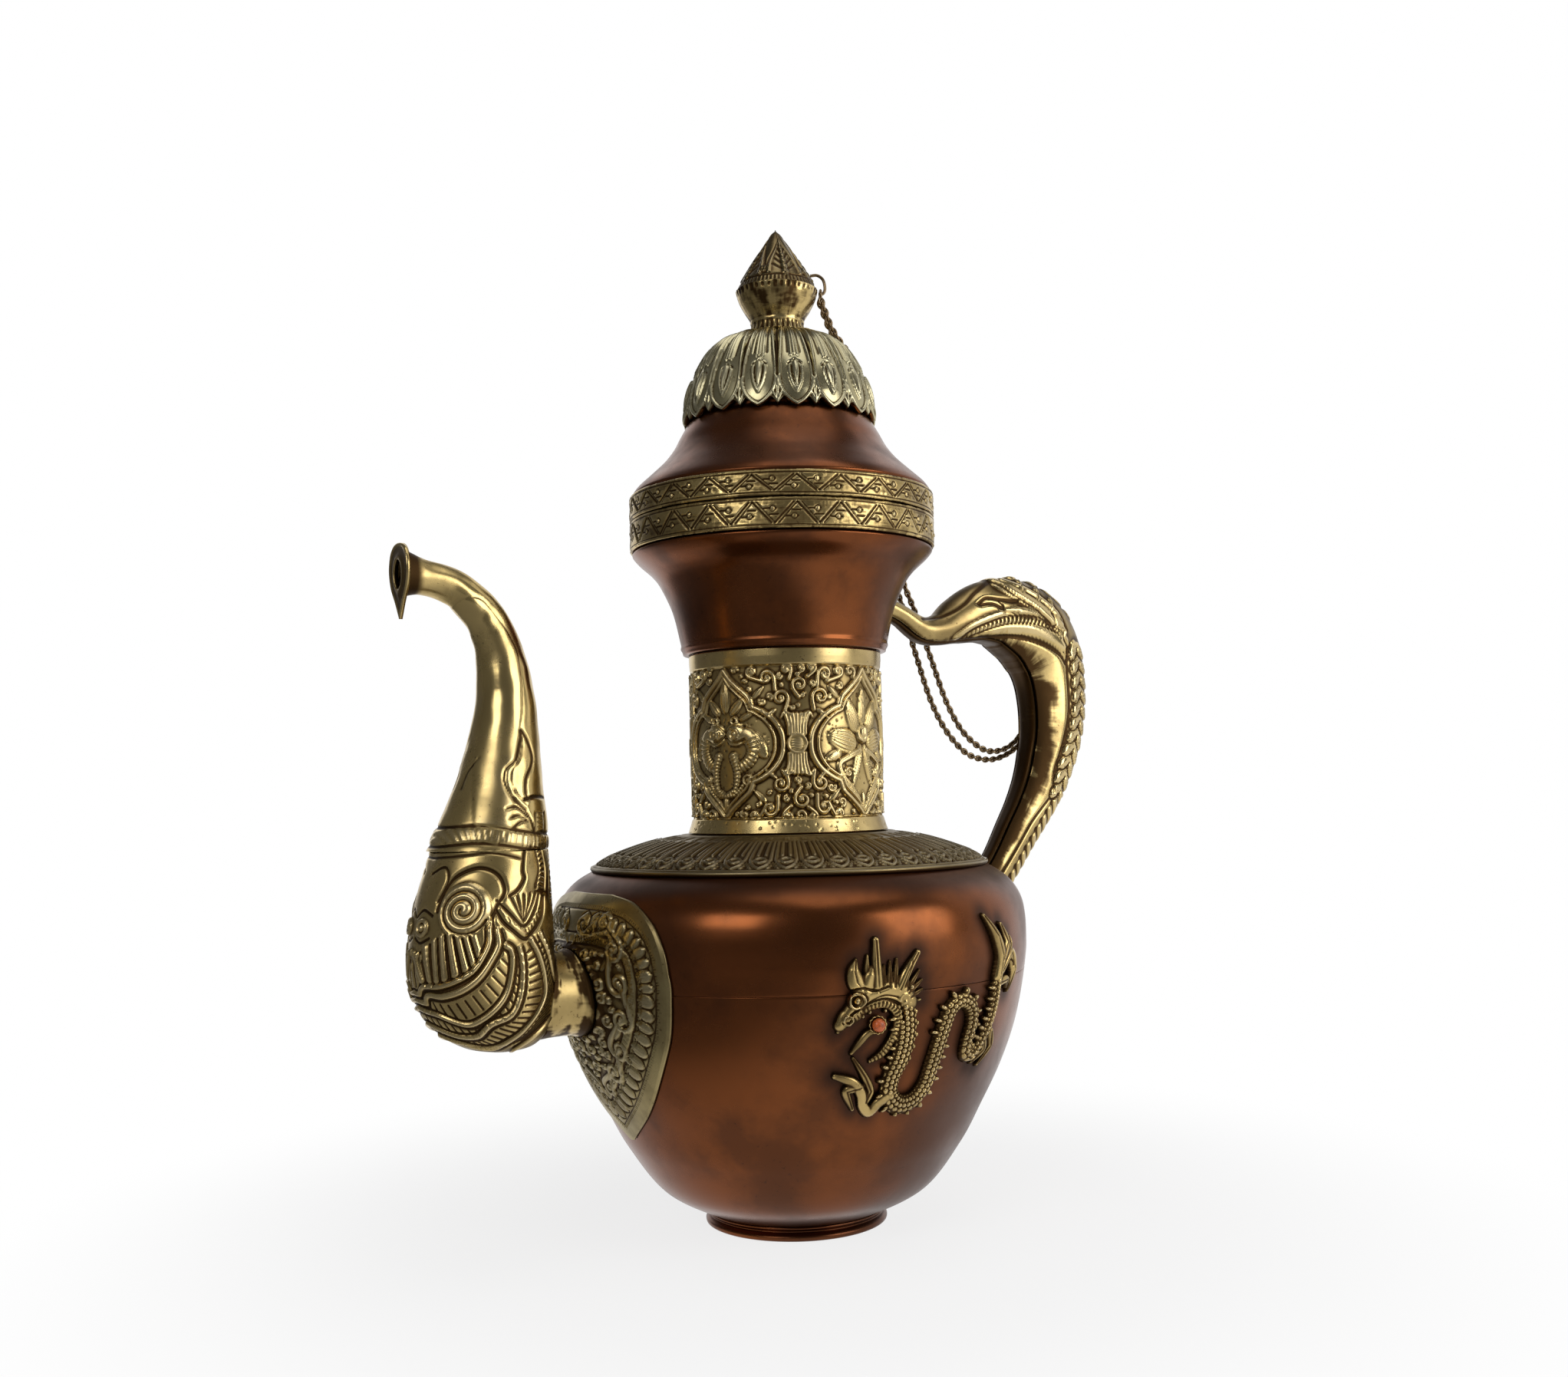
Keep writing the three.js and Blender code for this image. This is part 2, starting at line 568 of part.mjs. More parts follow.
const trunkStations = stations([
  ...[[2.4, BULB_JOINT - 5], [5.7, 144], [7.3, 154], [8.5, 163], [9.5, 172], [10.1, 182]].map(
    ([back, z]) => [back - bulbReach, z]),
  ...[[34.2, 192], [32.5, 200], [29.6, 207.2], [25.4, 212.4], [17.9, 217.8], [8, 220.6], [0, 221.4]].map(
    ([back, z]) => [back - SPOUT_REACH, z]),
], [
  [19.4, 19.4], [16.6, 16.6], [14.2, 14.2], [12.4, 12.4], [10.8, 10.8], [9.4, 9.4], [8.2, 8.2], [7.2, 7.2],
  [6.5, 6.4], [6.1, 6], [5.7, 5.6], [5.6, 5.3], [8, 6.6]], 17);

function spoutTrunk() {
  const ringsFor = (wall) => trunkStations.map(
    (s) => setSection(s, circle(s.size.x - wall, s.size.y - wall, 12)));
  const room = new THREE.BoxGeometry(100, 100, 200);
  room.translate(50 + LIP_WALL + SEAT - SPOUT_REACH, 0, 100 + BULB_JOINT + SEAT);
  return toGeometry(mainBody(toSolid(pipe(ringsFor(0), ringsFor(SPOUT_WALL))).intersect(toSolid(room))));
}

function spoutLip() {
  const drop = new THREE.Shape();
  drop.moveTo(0, -14);
  drop.bezierCurveTo(3.5, -9, 8.2, -5, 8.2, 1.2);
  drop.bezierCurveTo(8.2, 6, 4.6, 9.4, 0, 9.4);
  drop.bezierCurveTo(-4.6, 9.4, -8.2, 6, -8.2, 1.2);
  drop.bezierCurveTo(-8.2, -5, -3.5, -9, 0, -14);
  const hole = new THREE.Path();
  hole.absellipse(0, -0.2, 3.4, 4.6, 0, 2 * Math.PI);
  drop.holes.push(hole);
  const plate = new THREE.ExtrudeGeometry(drop, { depth: LIP_WALL, bevelEnabled: false, curveSegments: 7 });
  plate.rotateX(Math.PI / 2).rotateZ(-Math.PI / 2);
  return plate.translate(LIP_WALL - SPOUT_REACH, 0, 221.2);
}

// Shield between belly and spout, wrapped on the belly
const shieldEdge = smooth([[0.7, 36.5], [17, 47], [29, 58.7], [39.6, 74], [43.6, 88], [43.8, 95.6],
  [42, 103.6], [37, 111.3], [27, 117.2], [14, 119.6]], 12);

function spoutPlate() {
  const columns = 10;
  const face = (lift) => shieldEdge.map(([half, z]) => Array.from({ length: columns + 1 }, (_, i) => {
    const arc = half * ((2 * i) / columns - 1);
    const from = Math.hypot(arc, z - SPOUT_HEIGHT);
    const swell = 2.4 * Math.exp(-((from / 24) ** 2)) * Math.max(0, 1 - Math.abs(arc) / (half + 1));
    const inRow = Math.abs(Math.abs(arc) / half - 0.7) < 0.15 && z > 45;
    const shells = lift > BRASS_WALL && inRow ? SHELL_RELIEF : 0;
    const radius = radiusAt(bellyLine, z) + SEAT + lift + swell + shells;
    return polar(180 + arc / radius / DEG, radius, z);
  }));
  const rows = shieldEdge.length;
  const points = [...face(0.45).flat(), ...face(BRASS_WALL + 0.6).flat()];
  const layer = rows * (columns + 1);
  const at = (k, r, c) => k * layer + r * (columns + 1) + c;
  const corners = [];
  for (let r = 0; r + 1 < rows; r += 1) {
    for (let c = 0; c < columns; c += 1) {
      for (const k of [0, 1]) {
        const quad = [at(k, r, c), at(k, r, c + 1), at(k, r + 1, c + 1), at(k, r + 1, c)];
        const [p, q, s, t] = k ? quad : [quad[0], quad[3], quad[2], quad[1]];
        corners.push(p, q, s, p, s, t);
      }
    }
  }
  const rim = [];
  for (let c = 0; c < columns; c += 1) rim.push([0, c]);
  for (let r = 0; r < rows - 1; r += 1) rim.push([r, columns]);
  for (let c = columns; c > 0; c -= 1) rim.push([rows - 1, c]);
  for (let r = rows - 1; r > 0; r -= 1) rim.push([r, 0]);
  rim.forEach(([r, c], i) => {
    const [r2, c2] = rim[(i + 1) % rim.length];
    corners.push(at(0, r, c), at(0, r2, c2), at(1, r2, c2), at(0, r, c), at(1, r2, c2), at(1, r, c));
  });
  const geometry = new THREE.BufferGeometry();
  const places = points.flatMap((p) => [p.x, p.y, p.z]);
  geometry.setAttribute('position', new THREE.Float32BufferAttribute(places, 3));
  geometry.setIndex(corners);
  return toGeometry(drill(geometry, SPOUT_COLLAR_RADIUS + SEAT));
}

// Handle
const handleStations = stations([
  [36, 221.5], [44, 219.6], [51.5, 216.6], [61, 211.6], [69.3, 211.8], [78, 215], [87.5, 217.8],
  [95.5, 218.6], [101, 218], [107.5, 215.9], [113.4, 213], [118.8, 208.6], [123, 202.4], [125.6, 193.5],
  [126.4, 182.6], [125.3, 171], [122.3, 161], [118, 151.4], [112.2, 142], [105.8, 133], [99.2, 123.4],
  [92, 114.6], [84, 107.4], [75, 101.8],
], [
  [4.6, 4.8], [4.3, 4.9], [4.3, 5.2], [5.3, 6], [6.4, 7], [9.6, 8.4], [12.2, 9.4], [14.2, 10], [15.8, 10.4],
  [17.4, 10.6], [18.6, 10.4], [19.4, 10.1], [19, 9.6], [17.8, 9.2], [16.5, 9], [15.1, 8.8], [13.8, 8.4],
  [12, 8], [10.4, 7.5], [9.4, 7], [8.6, 6.6], [8.1, 6.3], [7.7, 6.1], [7.5, 6]], 27);
const OPEN_ANGLE = 140;

// The handle's head: brow, upper lip and cheek as lines of [x, z] on both flanks
const beastForms = [
  [[95, 230], [104, 225], [112, 221], [120, 216], [124, 211]], [[80, 210], [95, 215], [112, 215]],
  [[126, 204], [127, 192], [125, 178]]];

function beastLift(x, z) {
  return HEAD_RELIEF * Math.max(0, ...beastForms.map((line) => 1 - awayFrom(line, x, z) / 5));
}

function handlePiece(section, lift = () => 0) {
  const rings = handleStations.map((s) => {
    const middle = new THREE.Vector3(s.place.x, 0, s.place.y);
    return setSection(s, section(s.size)).map((p, i) => {
      const out = p.clone().sub(middle).normalize();
      return p.addScaledVector(out, lift(p, i));
    });
  });
  const body = toSolid(loft(rings, section(handleStations[0].size)));
  return toGeometry(mainBody(body.subtract(funnelSolid).subtract(bellySolid)));
}

function handleShell() {
  const arc = (deep, wide, from, to) => Array.from({ length: 9 }, (_, i) => {
    const t = (from + ((to - from) * i) / 8) * DEG;
    return [-deep * Math.cos(t), wide * Math.sin(t)];
  });
  return handlePiece(({ x, y }) => [
    ...arc(x, y, -OPEN_ANGLE, OPEN_ANGLE),
    ...arc(x - HANDLE_WALL, y - HANDLE_WALL, OPEN_ANGLE, -OPEN_ANGLE),
  ], (p, i) => (i > 0 && i < 8 ? beastLift(p.x, p.z) : 0));
}

function handleInnerStrip() {
  const deep = -Math.cos(OPEN_ANGLE * DEG);
  const wide = Math.sin(OPEN_ANGLE * DEG);
  return handlePiece(({ x, y }) => {
    const back = deep * x + 0.25;
    const half = wide * (y - HANDLE_WALL) - SEAT;
    return [
      [back, -half], [back + 0.9, -half * 0.6], [back + 0.9, half * 0.6], [back, half],
      [back - 1, half], [back - 1, -half]];
  });
}

// Staple on the handle's far side and the link that hangs in it
const STAPLE = { x: 124.6, top: 189.6, low: 184.2, out: 13 };
const stapleSeat = 9 + SEAT + WIRE_RADIUS * 0.2;

function handleEye() {
  const { x, top, low, out } = STAPLE;
  return wire([
    [x, stapleSeat, top], [x, out - 1.4, top], [x, out - 0.2, top - 0.9], [x, out, (top + low) / 2],
    [x, out - 0.2, low + 0.9], [x, out - 1.4, low], [x, stapleSeat, low],
  ].map((p) => new THREE.Vector3(...p)), WIRE_RADIUS, 14);
}

const endLinkDrop = STAPLE.low + WIRE_RADIUS + 0.25 - (LINK_RADIUS - LINK_WIRE);

function chainEndRing() {
  return standing(new THREE.Vector3(STAPLE.x, STAPLE.out - 1.9, endLinkDrop), 90);
}

// Chain: both halves run from the finial over the lid, behind the handle's root and up to the staple
function chainStrand(side) {
  const gap = side * (CHAIN_RADIUS + 0.3);
  const start = topLinkDrop - LINK_RADIUS - LINK_WIRE - SEAT;
  const onLid = [
    [-28, 15.9, start], [-28, 17.6, 320.5], [-27, 19.6, 315.6], [-24, 22.6, 311.4], [-16, 26.4, 308],
    [-6, 31, 300.5], [0, 33.9, 293.6], [3, 35.6, 286.9], [5, 36.3, 281.4], [6, 37.4, 277.4],
    [7, 39.6, 273.3], [7.5, 42.8, 269.2], [8, 47.3, 264.9], [8, 52.4, 260.3], [8, 55.9, 256.4],
    [8.2, 56.4, 250], [8.4, 57.2, 237],
  ].map(([angle, radius, z]) => {
    const turn = (gap / radius) / DEG;
    return polar(angle + turn, radius, z);
  });
  const near = [
    [60, 229, 7.6], [64.6, 221, 8.4], [69.6, 211, 9.4], [74.5, 201.3, 10.4], [82.6, 183.6, 10.8],
    [90.4, 172.8, 10.8], [100.5, 166.3, 10.8], [107.3, 165.8, 10.8], [113.4, 167.6, 10.8],
    [118.6, 171.4, 10.8], [121.6, 175.6, 11], [123.1, 180.1, 11.1]];
  const far = [
    [58.4, 229, 10.6], [62, 221, 11.6], [66, 211, 12.6], [70, 201.7, 13.5], [77.3, 184, 13.8],
    [84.6, 173, 13.8], [93.9, 165, 13.8], [102, 162.6, 13.8], [109.6, 162.9, 13.8],
    [118.3, 166.4, 13.7], [124, 171.9, 12.8], [126.2, 180.1, 11.1]];
  const low = (side < 0 ? near : far).map(([x, z, y]) => new THREE.Vector3(x, y, z));
  return wire([...onLid, ...low], CHAIN_RADIUS, CHAIN_STEPS, 8);
}

// Dragon: every limb is a tapered rod laid on the belly, given as [angle, height, half width]
function limb(path, sides = 4, lift = 1.2) {
  const spine = new THREE.CatmullRomCurve3(path.map(([angle, z, half]) => {
    const radius = radiusAt(bellyLine, z) + SEAT + Math.min(half, lift);
    return polar(angle, radius, z);
  }));
  const count = Math.max(2, Math.round((path.length - 1) * 1.2));
  const halves = new THREE.SplineCurve(path.map(([, , half], i) => new THREE.Vector2(i, half)));
  const rings = Array.from({ length: count + 1 }, (_, i) => {
    const t = i / count;
    const place = spine.getPoint(t);
    const along = spine.getTangent(t);
    const out = new THREE.Vector3(place.x, place.y, 0).normalize();
    const across = new THREE.Vector3().crossVectors(out, along).normalize();
    const up = new THREE.Vector3().crossVectors(along, across).normalize();
    const half = Math.max(halves.getPoint(t).y, 0.3);
    return circle(half, Math.min(half, DRAGON_RELIEF), sides)
      .map(([a, b]) => place.clone().addScaledVector(across, a).addScaledVector(up, b));
  });
  return toSolid(loft(rings, circle(1, 1, sides)));
}

const DRAGON_BODY = [
  [261.4, 86.9, 3.6], [262.6, 77, 3.6], [262.1, 68.6, 3.3], [260.4, 61.6, 3.1], [260.6, 56, 3.1],
  [263.6, 52.2, 3], [267.7, 52.8, 3], [270.4, 57.6, 2.9], [271.2, 64, 2.8], [272, 70.4, 2.7],
  [273.4, 78.4, 2.6], [274.9, 82.6, 2.5], [277.9, 84.4, 2.4], [281.1, 81.6, 2.3], [282, 76.4, 2.2],
  [281.4, 71.6, 2.2], [281.6, 67, 2.2], [284, 65.6, 2.2], [286.2, 69.4, 2.3], [288.2, 74.3, 2.2],
  [289.4, 79.9, 2], [289.8, 86, 1.8], [290, 92, 1.6]];
const CORAL = { angle: 255.5, z: 79.4, radius: 2.1 };
const CORAL_SEAT = SEAT + 0.25;

function dragonLimbs() {
  return [
    [[261, 88, 3.2], [257.6, 89, 3.4], [254, 88, 3.2], [250.8, 87.4, 2.6]],
    [[251.6, 86, 2.2], [249.4, 84.2, 1.7], [247.9, 81, 1.5], [246.9, 78.6, 0.8]],
    [[254.4, 84.2, 1.6], [251.6, 82.6, 1.4], [249.4, 80.4, 1]],
    [[259.4, 86, 1.8], [260.1, 79.7, 1.7], [259, 73.4, 1.5], [255.7, 68.4, 0.9]],
    [[256, 74.6, 1], [253, 74.8, 0.9], [250.5, 71.3, 0.6]],
    [[251.4, 90.6, 1.7], [250.6, 94.6, 1.6], [250.6, 98.4, 0.6]],
    [[254.6, 89.8, 1.6], [254.9, 97, 1.4], [254.9, 105.6, 1]],
    [[253.1, 91, 1], [253, 96, 0.9], [253.2, 101.4, 0.4]],
    [[259.8, 90, 1.7], [262, 95.4, 1.3], [264.6, 100.7, 0.9]],
    [[256.6, 91, 1.1], [256.6, 97.8, 0.4]],
    [[258, 91, 1.1], [259, 98.6, 0.4]],
    [[261.6, 88, 1.4], [264.8, 91.6, 0.5]],
    [[261.6, 86, 1.4], [265.2, 87.4, 0.5]],
    [
      [260.6, 55.9, 2], [257.9, 53.8, 1.5], [256.2, 50.6, 1.5], [253.9, 54.6, 1.5], [251.8, 60.2, 1.4],
      [246.4, 63.5, 0.9],
    ],
    [[254.4, 54.2, 1.2], [255.2, 57.4, 1.2], [253.8, 62.4, 1.1], [250.5, 69, 0.5]],
    [[252.4, 58.7, 1.2], [249.1, 57.9, 1.3], [251.7, 52.3, 0.6]],
    [[290, 90, 1.7], [290.6, 97, 1.9], [289, 103.4, 1.6], [285.4, 109.6, 0.6]],
    [[291, 95, 1.6], [293.4, 101, 1.4], [291.6, 106.4, 0.7]],
    [[291, 93, 1.5], [295, 97.4, 1.8], [296.4, 91, 1.7], [295.4, 84, 0.6]],
    [[287, 70.6, 1.4], [288, 66.4, 1.1], [285.4, 63.2, 0.6]],
  ];
}

function dragon() {
  let solid = limb(DRAGON_BODY, 6, 1.4);
  for (const path of dragonLimbs()) solid = solid.add(limb(path));
  const spine = new THREE.CatmullRomCurve3(DRAGON_BODY.map(([angle, z]) => new THREE.Vector3(angle, z, 0)));
  const spikes = 12;
  for (let i = 1; i < spikes; i += 1) {
    const t = i / spikes;
    const { x, y } = spine.getPoint(t);
    const along = spine.getTangent(t);
    const reach = new THREE.Vector2(-along.y, along.x * 1.4).normalize().multiplyScalar(i < 6 ? -1 : 1);
    const angleStep = reach.x / 1.4;
    const half = 3.2 - 1.4 * t;
    solid = solid.add(limb([
      [x + angleStep * half * 0.7, y + reach.y * half * 0.7, 1],
      [x + angleStep * (half + 1.2), y + reach.y * (half + 1.2), 0.35]], 4, 1));
  }
  const middle = polar(CORAL.angle, BELLY_RADIUS + 10, CORAL.z);
  const seat = new THREE.CylinderGeometry(CORAL.radius + 1.1, CORAL.radius + 1.1, 30, 12);
  seat.rotateZ(Math.PI / 2 + CORAL.angle * DEG).translate(middle.x, middle.y, middle.z);
  return toGeometry(mainBody(solid.subtract(bellySolid).subtract(toSolid(seat))));
}

// A small turned piece that stands on the belly and points outwards
function onBelly(geometry, height) {
  geometry.rotateY(Math.PI / 2).rotateZ(CORAL.angle * DEG);
  const place = polar(CORAL.angle, radiusAt(bellyLine, CORAL.z) + height, CORAL.z);
  return geometry.translate(place.x, place.y, place.z);
}

function coralCup() {
  const { radius } = CORAL;
  const cup = revolve([
    [0, 0], [radius + 0.5, 0], [radius + 0.75, 1.7], [radius + SEAT, 1.7], [radius + 0.1, 0.7],
    [0, 0.7]], 14);
  return onBelly(cup, CORAL_SEAT);
}

function coralBead() {
  const { radius } = CORAL;
  const bead = revolve([
    [0, 0], [radius - 0.5, 0], [radius - 0.15, 0.6], [radius, 1.4], [radius * 0.86, 2.3],
    [radius * 0.5, 2.9], [0, 3.1]], 14);
  return onBelly(bead, CORAL_SEAT + 0.7 + SEAT);
}

const group = new THREE.Group();

function add(name, geometry, material) {
  const mesh = new THREE.Mesh(closed(geometry), material);
  mesh.geometry.computeVertexNormals();
  mesh.name = name;
  group.add(mesh);
}

add('foot_ring', footRing(), copper);
add('belly_lower', bellyLower(), copper);
add('belly_upper', bellyUpper(), copper);
add('shoulder_collar', shoulderCollar(), darkBrass);
add('neck_tube', neckTube(), darkCopper);
add('neck_sleeve', neckSleeve(), brass);
add('mouth_funnel', mouthFunnel(), darkCopper);
add('mouth_band', mouthBand(), brass);
add('spout_plate', spoutPlate(), paleBrass);
add('spout_collar', spoutCollar(), brass);
add('spout_bulb', spoutBulb(), brass);
add('spout_trunk', spoutTrunk(), brass);
add('spout_lip', spoutLip(), paleBrass);
add('handle_shell', handleShell(), brass);
add('handle_inner_strip', handleInnerStrip(), darkBrass);
add('handle_eye', handleEye(), darkBrass);
add('dragon', dragon(), brass);
add('coral_cup', coralCup(), brass);
add('coral_bead', coralBead(), coral);
add('lid_band', lidBand(), brass);
add('lid_bell', lidBell(), copper);
add('lid_flange', lidFlange(), darkBrass);
add('lid_dome', lidDome(), paleBrass);
add('finial_cup', finialCup(), brass);
add('finial_cone', finialCone(), darkCopper);
add('finial_rivet', finialRivet(), darkBrass);
add('finial_washer', finialWasher(), darkBrass);
add('finial_eye', finialEye(), chainMetal);
add('chain_top_ring', chainTopRing(), chainMetal);
add('chain_strand_near', chainStrand(-1), chainMetal);
add('chain_strand_far', chainStrand(1), chainMetal);
add('chain_end_ring', chainEndRing(), chainMetal);

export default group;
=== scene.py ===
import copy
import math

import bpy
import numpy as np
from bpy.props import FloatProperty, FloatVectorProperty, IntProperty, PointerProperty
from bpy.types import Operator, Panel, PropertyGroup
from mathutils import Matrix, Vector


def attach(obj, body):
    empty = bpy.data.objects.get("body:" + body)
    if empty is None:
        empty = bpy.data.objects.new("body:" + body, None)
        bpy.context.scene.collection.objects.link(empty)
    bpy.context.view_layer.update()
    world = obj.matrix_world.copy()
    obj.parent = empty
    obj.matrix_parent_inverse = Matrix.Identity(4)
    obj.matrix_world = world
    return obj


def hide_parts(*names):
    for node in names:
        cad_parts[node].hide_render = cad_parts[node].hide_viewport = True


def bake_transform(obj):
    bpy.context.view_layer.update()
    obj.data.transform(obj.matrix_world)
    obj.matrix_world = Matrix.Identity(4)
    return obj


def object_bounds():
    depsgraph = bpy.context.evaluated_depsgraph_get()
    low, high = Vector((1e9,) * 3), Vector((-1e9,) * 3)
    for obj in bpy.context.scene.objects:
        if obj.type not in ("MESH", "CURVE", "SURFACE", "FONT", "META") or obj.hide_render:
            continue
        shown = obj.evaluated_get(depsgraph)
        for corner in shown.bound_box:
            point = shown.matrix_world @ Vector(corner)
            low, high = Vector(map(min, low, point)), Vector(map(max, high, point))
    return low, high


bl_info = {
    "name": "Himalayan ritual pitcher", "version": (1, 0, 0), "blender": (4, 5, 0),
    "location": "View3D > Sidebar > Pitcher",
    "description": "Builds the chased metal of a copper and brass pitcher around its frame",
    "category": "Add Mesh",}

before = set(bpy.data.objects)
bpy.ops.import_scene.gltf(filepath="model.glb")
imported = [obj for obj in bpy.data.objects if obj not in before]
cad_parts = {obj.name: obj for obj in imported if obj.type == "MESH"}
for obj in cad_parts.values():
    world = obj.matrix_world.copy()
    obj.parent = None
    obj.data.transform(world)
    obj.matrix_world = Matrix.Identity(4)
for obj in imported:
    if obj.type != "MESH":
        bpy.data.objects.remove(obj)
FRAME_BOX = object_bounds()

# All lengths below are millimetres; forge() turns them into metres
MM = 0.001
SEAT = 0.3
COPPER_WALL = 1.2
BRASS_WALL = 0.9
BELLY_RADIUS = 83
BELLY_WIDEST = 101
FOOT_RADIUS = 31.9
FOOT_HEIGHT = 4.7
SEAM_HEIGHT = 89
COLLAR_RADIUS = 69.8
COLLAR_WALL = 0.8
NECK_RADIUS = 32.4
SHOULDER_TOP = 136.2
SLEEVE_RADIUS = 33.95
SLEEVE_TOP = 199.8
MOUTH_RADIUS = 52.5
MOUTH_TOP = 246.7
BAND_WALL = 1.1
BAND_BOTTOM = 236.7
LID_BAND_TOP = 255.6
LID_GAP = 0.5
DOME_RADIUS = 34.4
DOME_EDGE = 281.2
DOME_TOP = 313.6
CREASE_RADIUS = 14.6
CREASE_HEIGHT = 329.3
TIP_HEIGHT = 351.6
SPOUT_HEIGHT = 87.5
SPOUT_BORE = 10
SPOUT_COLLAR_RADIUS = 14.2
SPOUT_REACH = 141.4
BULB_JOINT = 135
SPOUT_WALL = 1.3
LIP_WALL = 1.5
HANDLE_WALL = 1.3
WIRE_RADIUS = 0.55
LINK_WIRE = 0.45
LINK_RADIUS = 1.9
CHAIN_RADIUS = 1.2
FLANGE_DEPTH = 10
FLANGE_PLAY = 0.8
FULL_TURN = 2 * math.pi


def length(name, description, default, low, high):
    return FloatProperty(
        name=name, description=description, default=default, min=low, max=high, unit="LENGTH")


def count(name, description, default, low, high):
    return IntProperty(name=name, description=description, default=default, min=low, max=high)


def colour(name, description, value):
    return FloatVectorProperty(
        name=name, description=description, subtype="COLOR", size=3, min=0, max=1, default=value)


class PitcherSizes(PropertyGroup):
    link_pitch: length("Link pitch", "Distance from one chain link to the next", 0.0019, 0.0015, 0.003)
    link_wire: length("Link wire", "Thickness of the wire of the links", 0.001, 0.0005, 0.0012)
    sleeve_relief: length(
        "Sleeve relief", "How far the fish, lotuses and scrolls stand out", 0.0014, 0.0004, 0.002)
    petals: count("Lid petals", "Number of petals round the lid's cap", 16, 8, 24)
    collar_petals: count("Collar petals", "Number of petals round the shoulder collar", 48, 24, 72)
    band_repeats: count("Band repeats", "Number of triangle pairs round each rim band", 23, 20, 60)


class PitcherFinishes(PropertyGroup):
    copper: colour("Copper", "Polished copper of the belly and the lid", (0.19, 0.060, 0.020))
    # The stain colours also colour the painted shade that the relief tone of some pieces carries.
    copper_stain_and_shade: colour("Copper stain", "Dark patina on the copper", (0.036, 0.02, 0.014))
    brass: colour("Brass", "Chased brass", (0.62, 0.46, 0.19))
    brass_stain_and_shade: colour("Brass stain", "Dark dirt in the chased hollows", (0.062, 0.033, 0.012))
    pale_brass: colour("Pale brass", "Silvery brass of the lid's cap", (0.52, 0.465, 0.27))
    shield_brass: colour("Shield brass", "Greenish brass of the shield behind the spout", (0.40, 0.32, 0.15))
    dragon_brass: colour("Dragon brass", "Cast brass of the dragon", (0.53, 0.38, 0.15))
    dull_brass: colour("Dull brass", "Greenish brown brass of the shoulder collar", (0.22, 0.165, 0.075))
    bronze: colour("Bronze", "Dark bronze of the chain", (0.27, 0.19, 0.105))
    coral: colour("Coral", "Orange coral bead", (0.62, 0.13, 0.03))
    paper: colour("Paper", "White floor and backdrop", (0.93, 0.93, 0.93))


# Lines and curves

def curve(points, dense=16, hug=False):
    """Smooth line through points; hug keeps the curve close where the points are unevenly spaced."""
    points = np.asarray(points, float)
    first = 2 * points[0] - points[1] if hug else points[0]
    last = 2 * points[-1] - points[-2] if hug else points[-1]
    line = np.vstack([first, points, last])
    t = np.linspace(0, 1, dense, endpoint=False)[:, None]
    pieces = []
    for a, b, c, d in zip(line[:-3], line[1:-2], line[2:-1], line[3:]):
        if hug:
            steps = [max(math.sqrt(np.linalg.norm(q - p)), 1e-6) for p, q in ((a, b), (b, c), (c, d))]
            u = (b - a) / steps[0] - (c - a) / (steps[0] + steps[1]) + (c - b) / steps[1]
            v = (c - b) / steps[1] - (d - b) / (steps[1] + steps[2]) + (d - c) / steps[2]
            u, v = u * steps[1], v * steps[1]
        else:
            u, v = (c - a) / 2, (d - b) / 2
        pieces.append(
            (2 * t**3 - 3 * t**2 + 1) * b + (t**3 - 2 * t**2 + t) * u
            + (3 * t**2 - 2 * t**3) * c + (t**3 - t**2) * v)
    return np.vstack([*pieces, points[-1:]])


def run_along(line):
    return np.concatenate([[0], np.cumsum(np.linalg.norm(np.diff(line, axis=0), axis=1))])


def even(line, count):
    """The same line in count equal steps."""
    line = np.asarray(line, float)
    run = run_along(line)
    t = np.linspace(0, run[-1], count + 1)
    return np.column_stack([np.interp(t, run, line[:, k]) for k in range(line.shape[1])])


def outward(line):
    """Unit normals of a [radius, height] line that climbs."""
    step = np.gradient(np.asarray(line, float), axis=0)
    normal = np.column_stack([step[:, 1], -step[:, 0]])
    return normal / np.maximum(np.linalg.norm(normal, axis=1, keepdims=True), 1e-9)


def inset(line, wall):
    return np.asarray(line, float) - wall * outward(line)


def polar(angle, radius, z):
    return [radius * math.cos(math.radians(angle)), radius * math.sin(math.radians(angle)), z]


def around(count):
    """Equal steps round a full turn."""
    return np.arange(count) * (FULL_TURN / count)


def height_to_radius(line, z):
    line = np.asarray(line)
    order = np.argsort(line[:, 1])
    return np.interp(z, line[order, 1], line[order, 0])


BELLY_LINE = curve([
    [FOOT_RADIUS - 0.4, FOOT_HEIGHT + SEAT], [47.6, 13.8], [59.3, 29.1], [66.4, 42.3], [72.9, 55.5],
    [77.8, 68.6], [80.9, 81.6], [BELLY_RADIUS - 0.2, 94.5], [BELLY_RADIUS, BELLY_WIDEST],
    [BELLY_RADIUS - 0.3, 107.4], [BELLY_RADIUS - 1.4, 113], [79, 117.8], [75.2, 121.6],
    [COLLAR_RADIUS - 0.3, 125], [62, 129], [50, 133.2], [40, 135.3], [NECK_RADIUS + SEAT, SHOULDER_TOP]])
BELLY_LINE[:, 0] = np.minimum(BELLY_LINE[:, 0], FRAME_BOX[1][1] / MM)
FUNNEL_LINE = np.vstack([
    curve([[36, SLEEVE_TOP + 0.7], [36.9, 205], [39.4, 215.6], [43.3, 224.3], [46.3, 228.6],
    [50.9, 232.8], [53.1, 235.4], [MOUTH_RADIUS + 0.3, BAND_BOTTOM - SEAT - 0.1]]),
    [[MOUTH_RADIUS, BAND_BOTTOM], [MOUTH_RADIUS, MOUTH_TOP - 0.1]]])
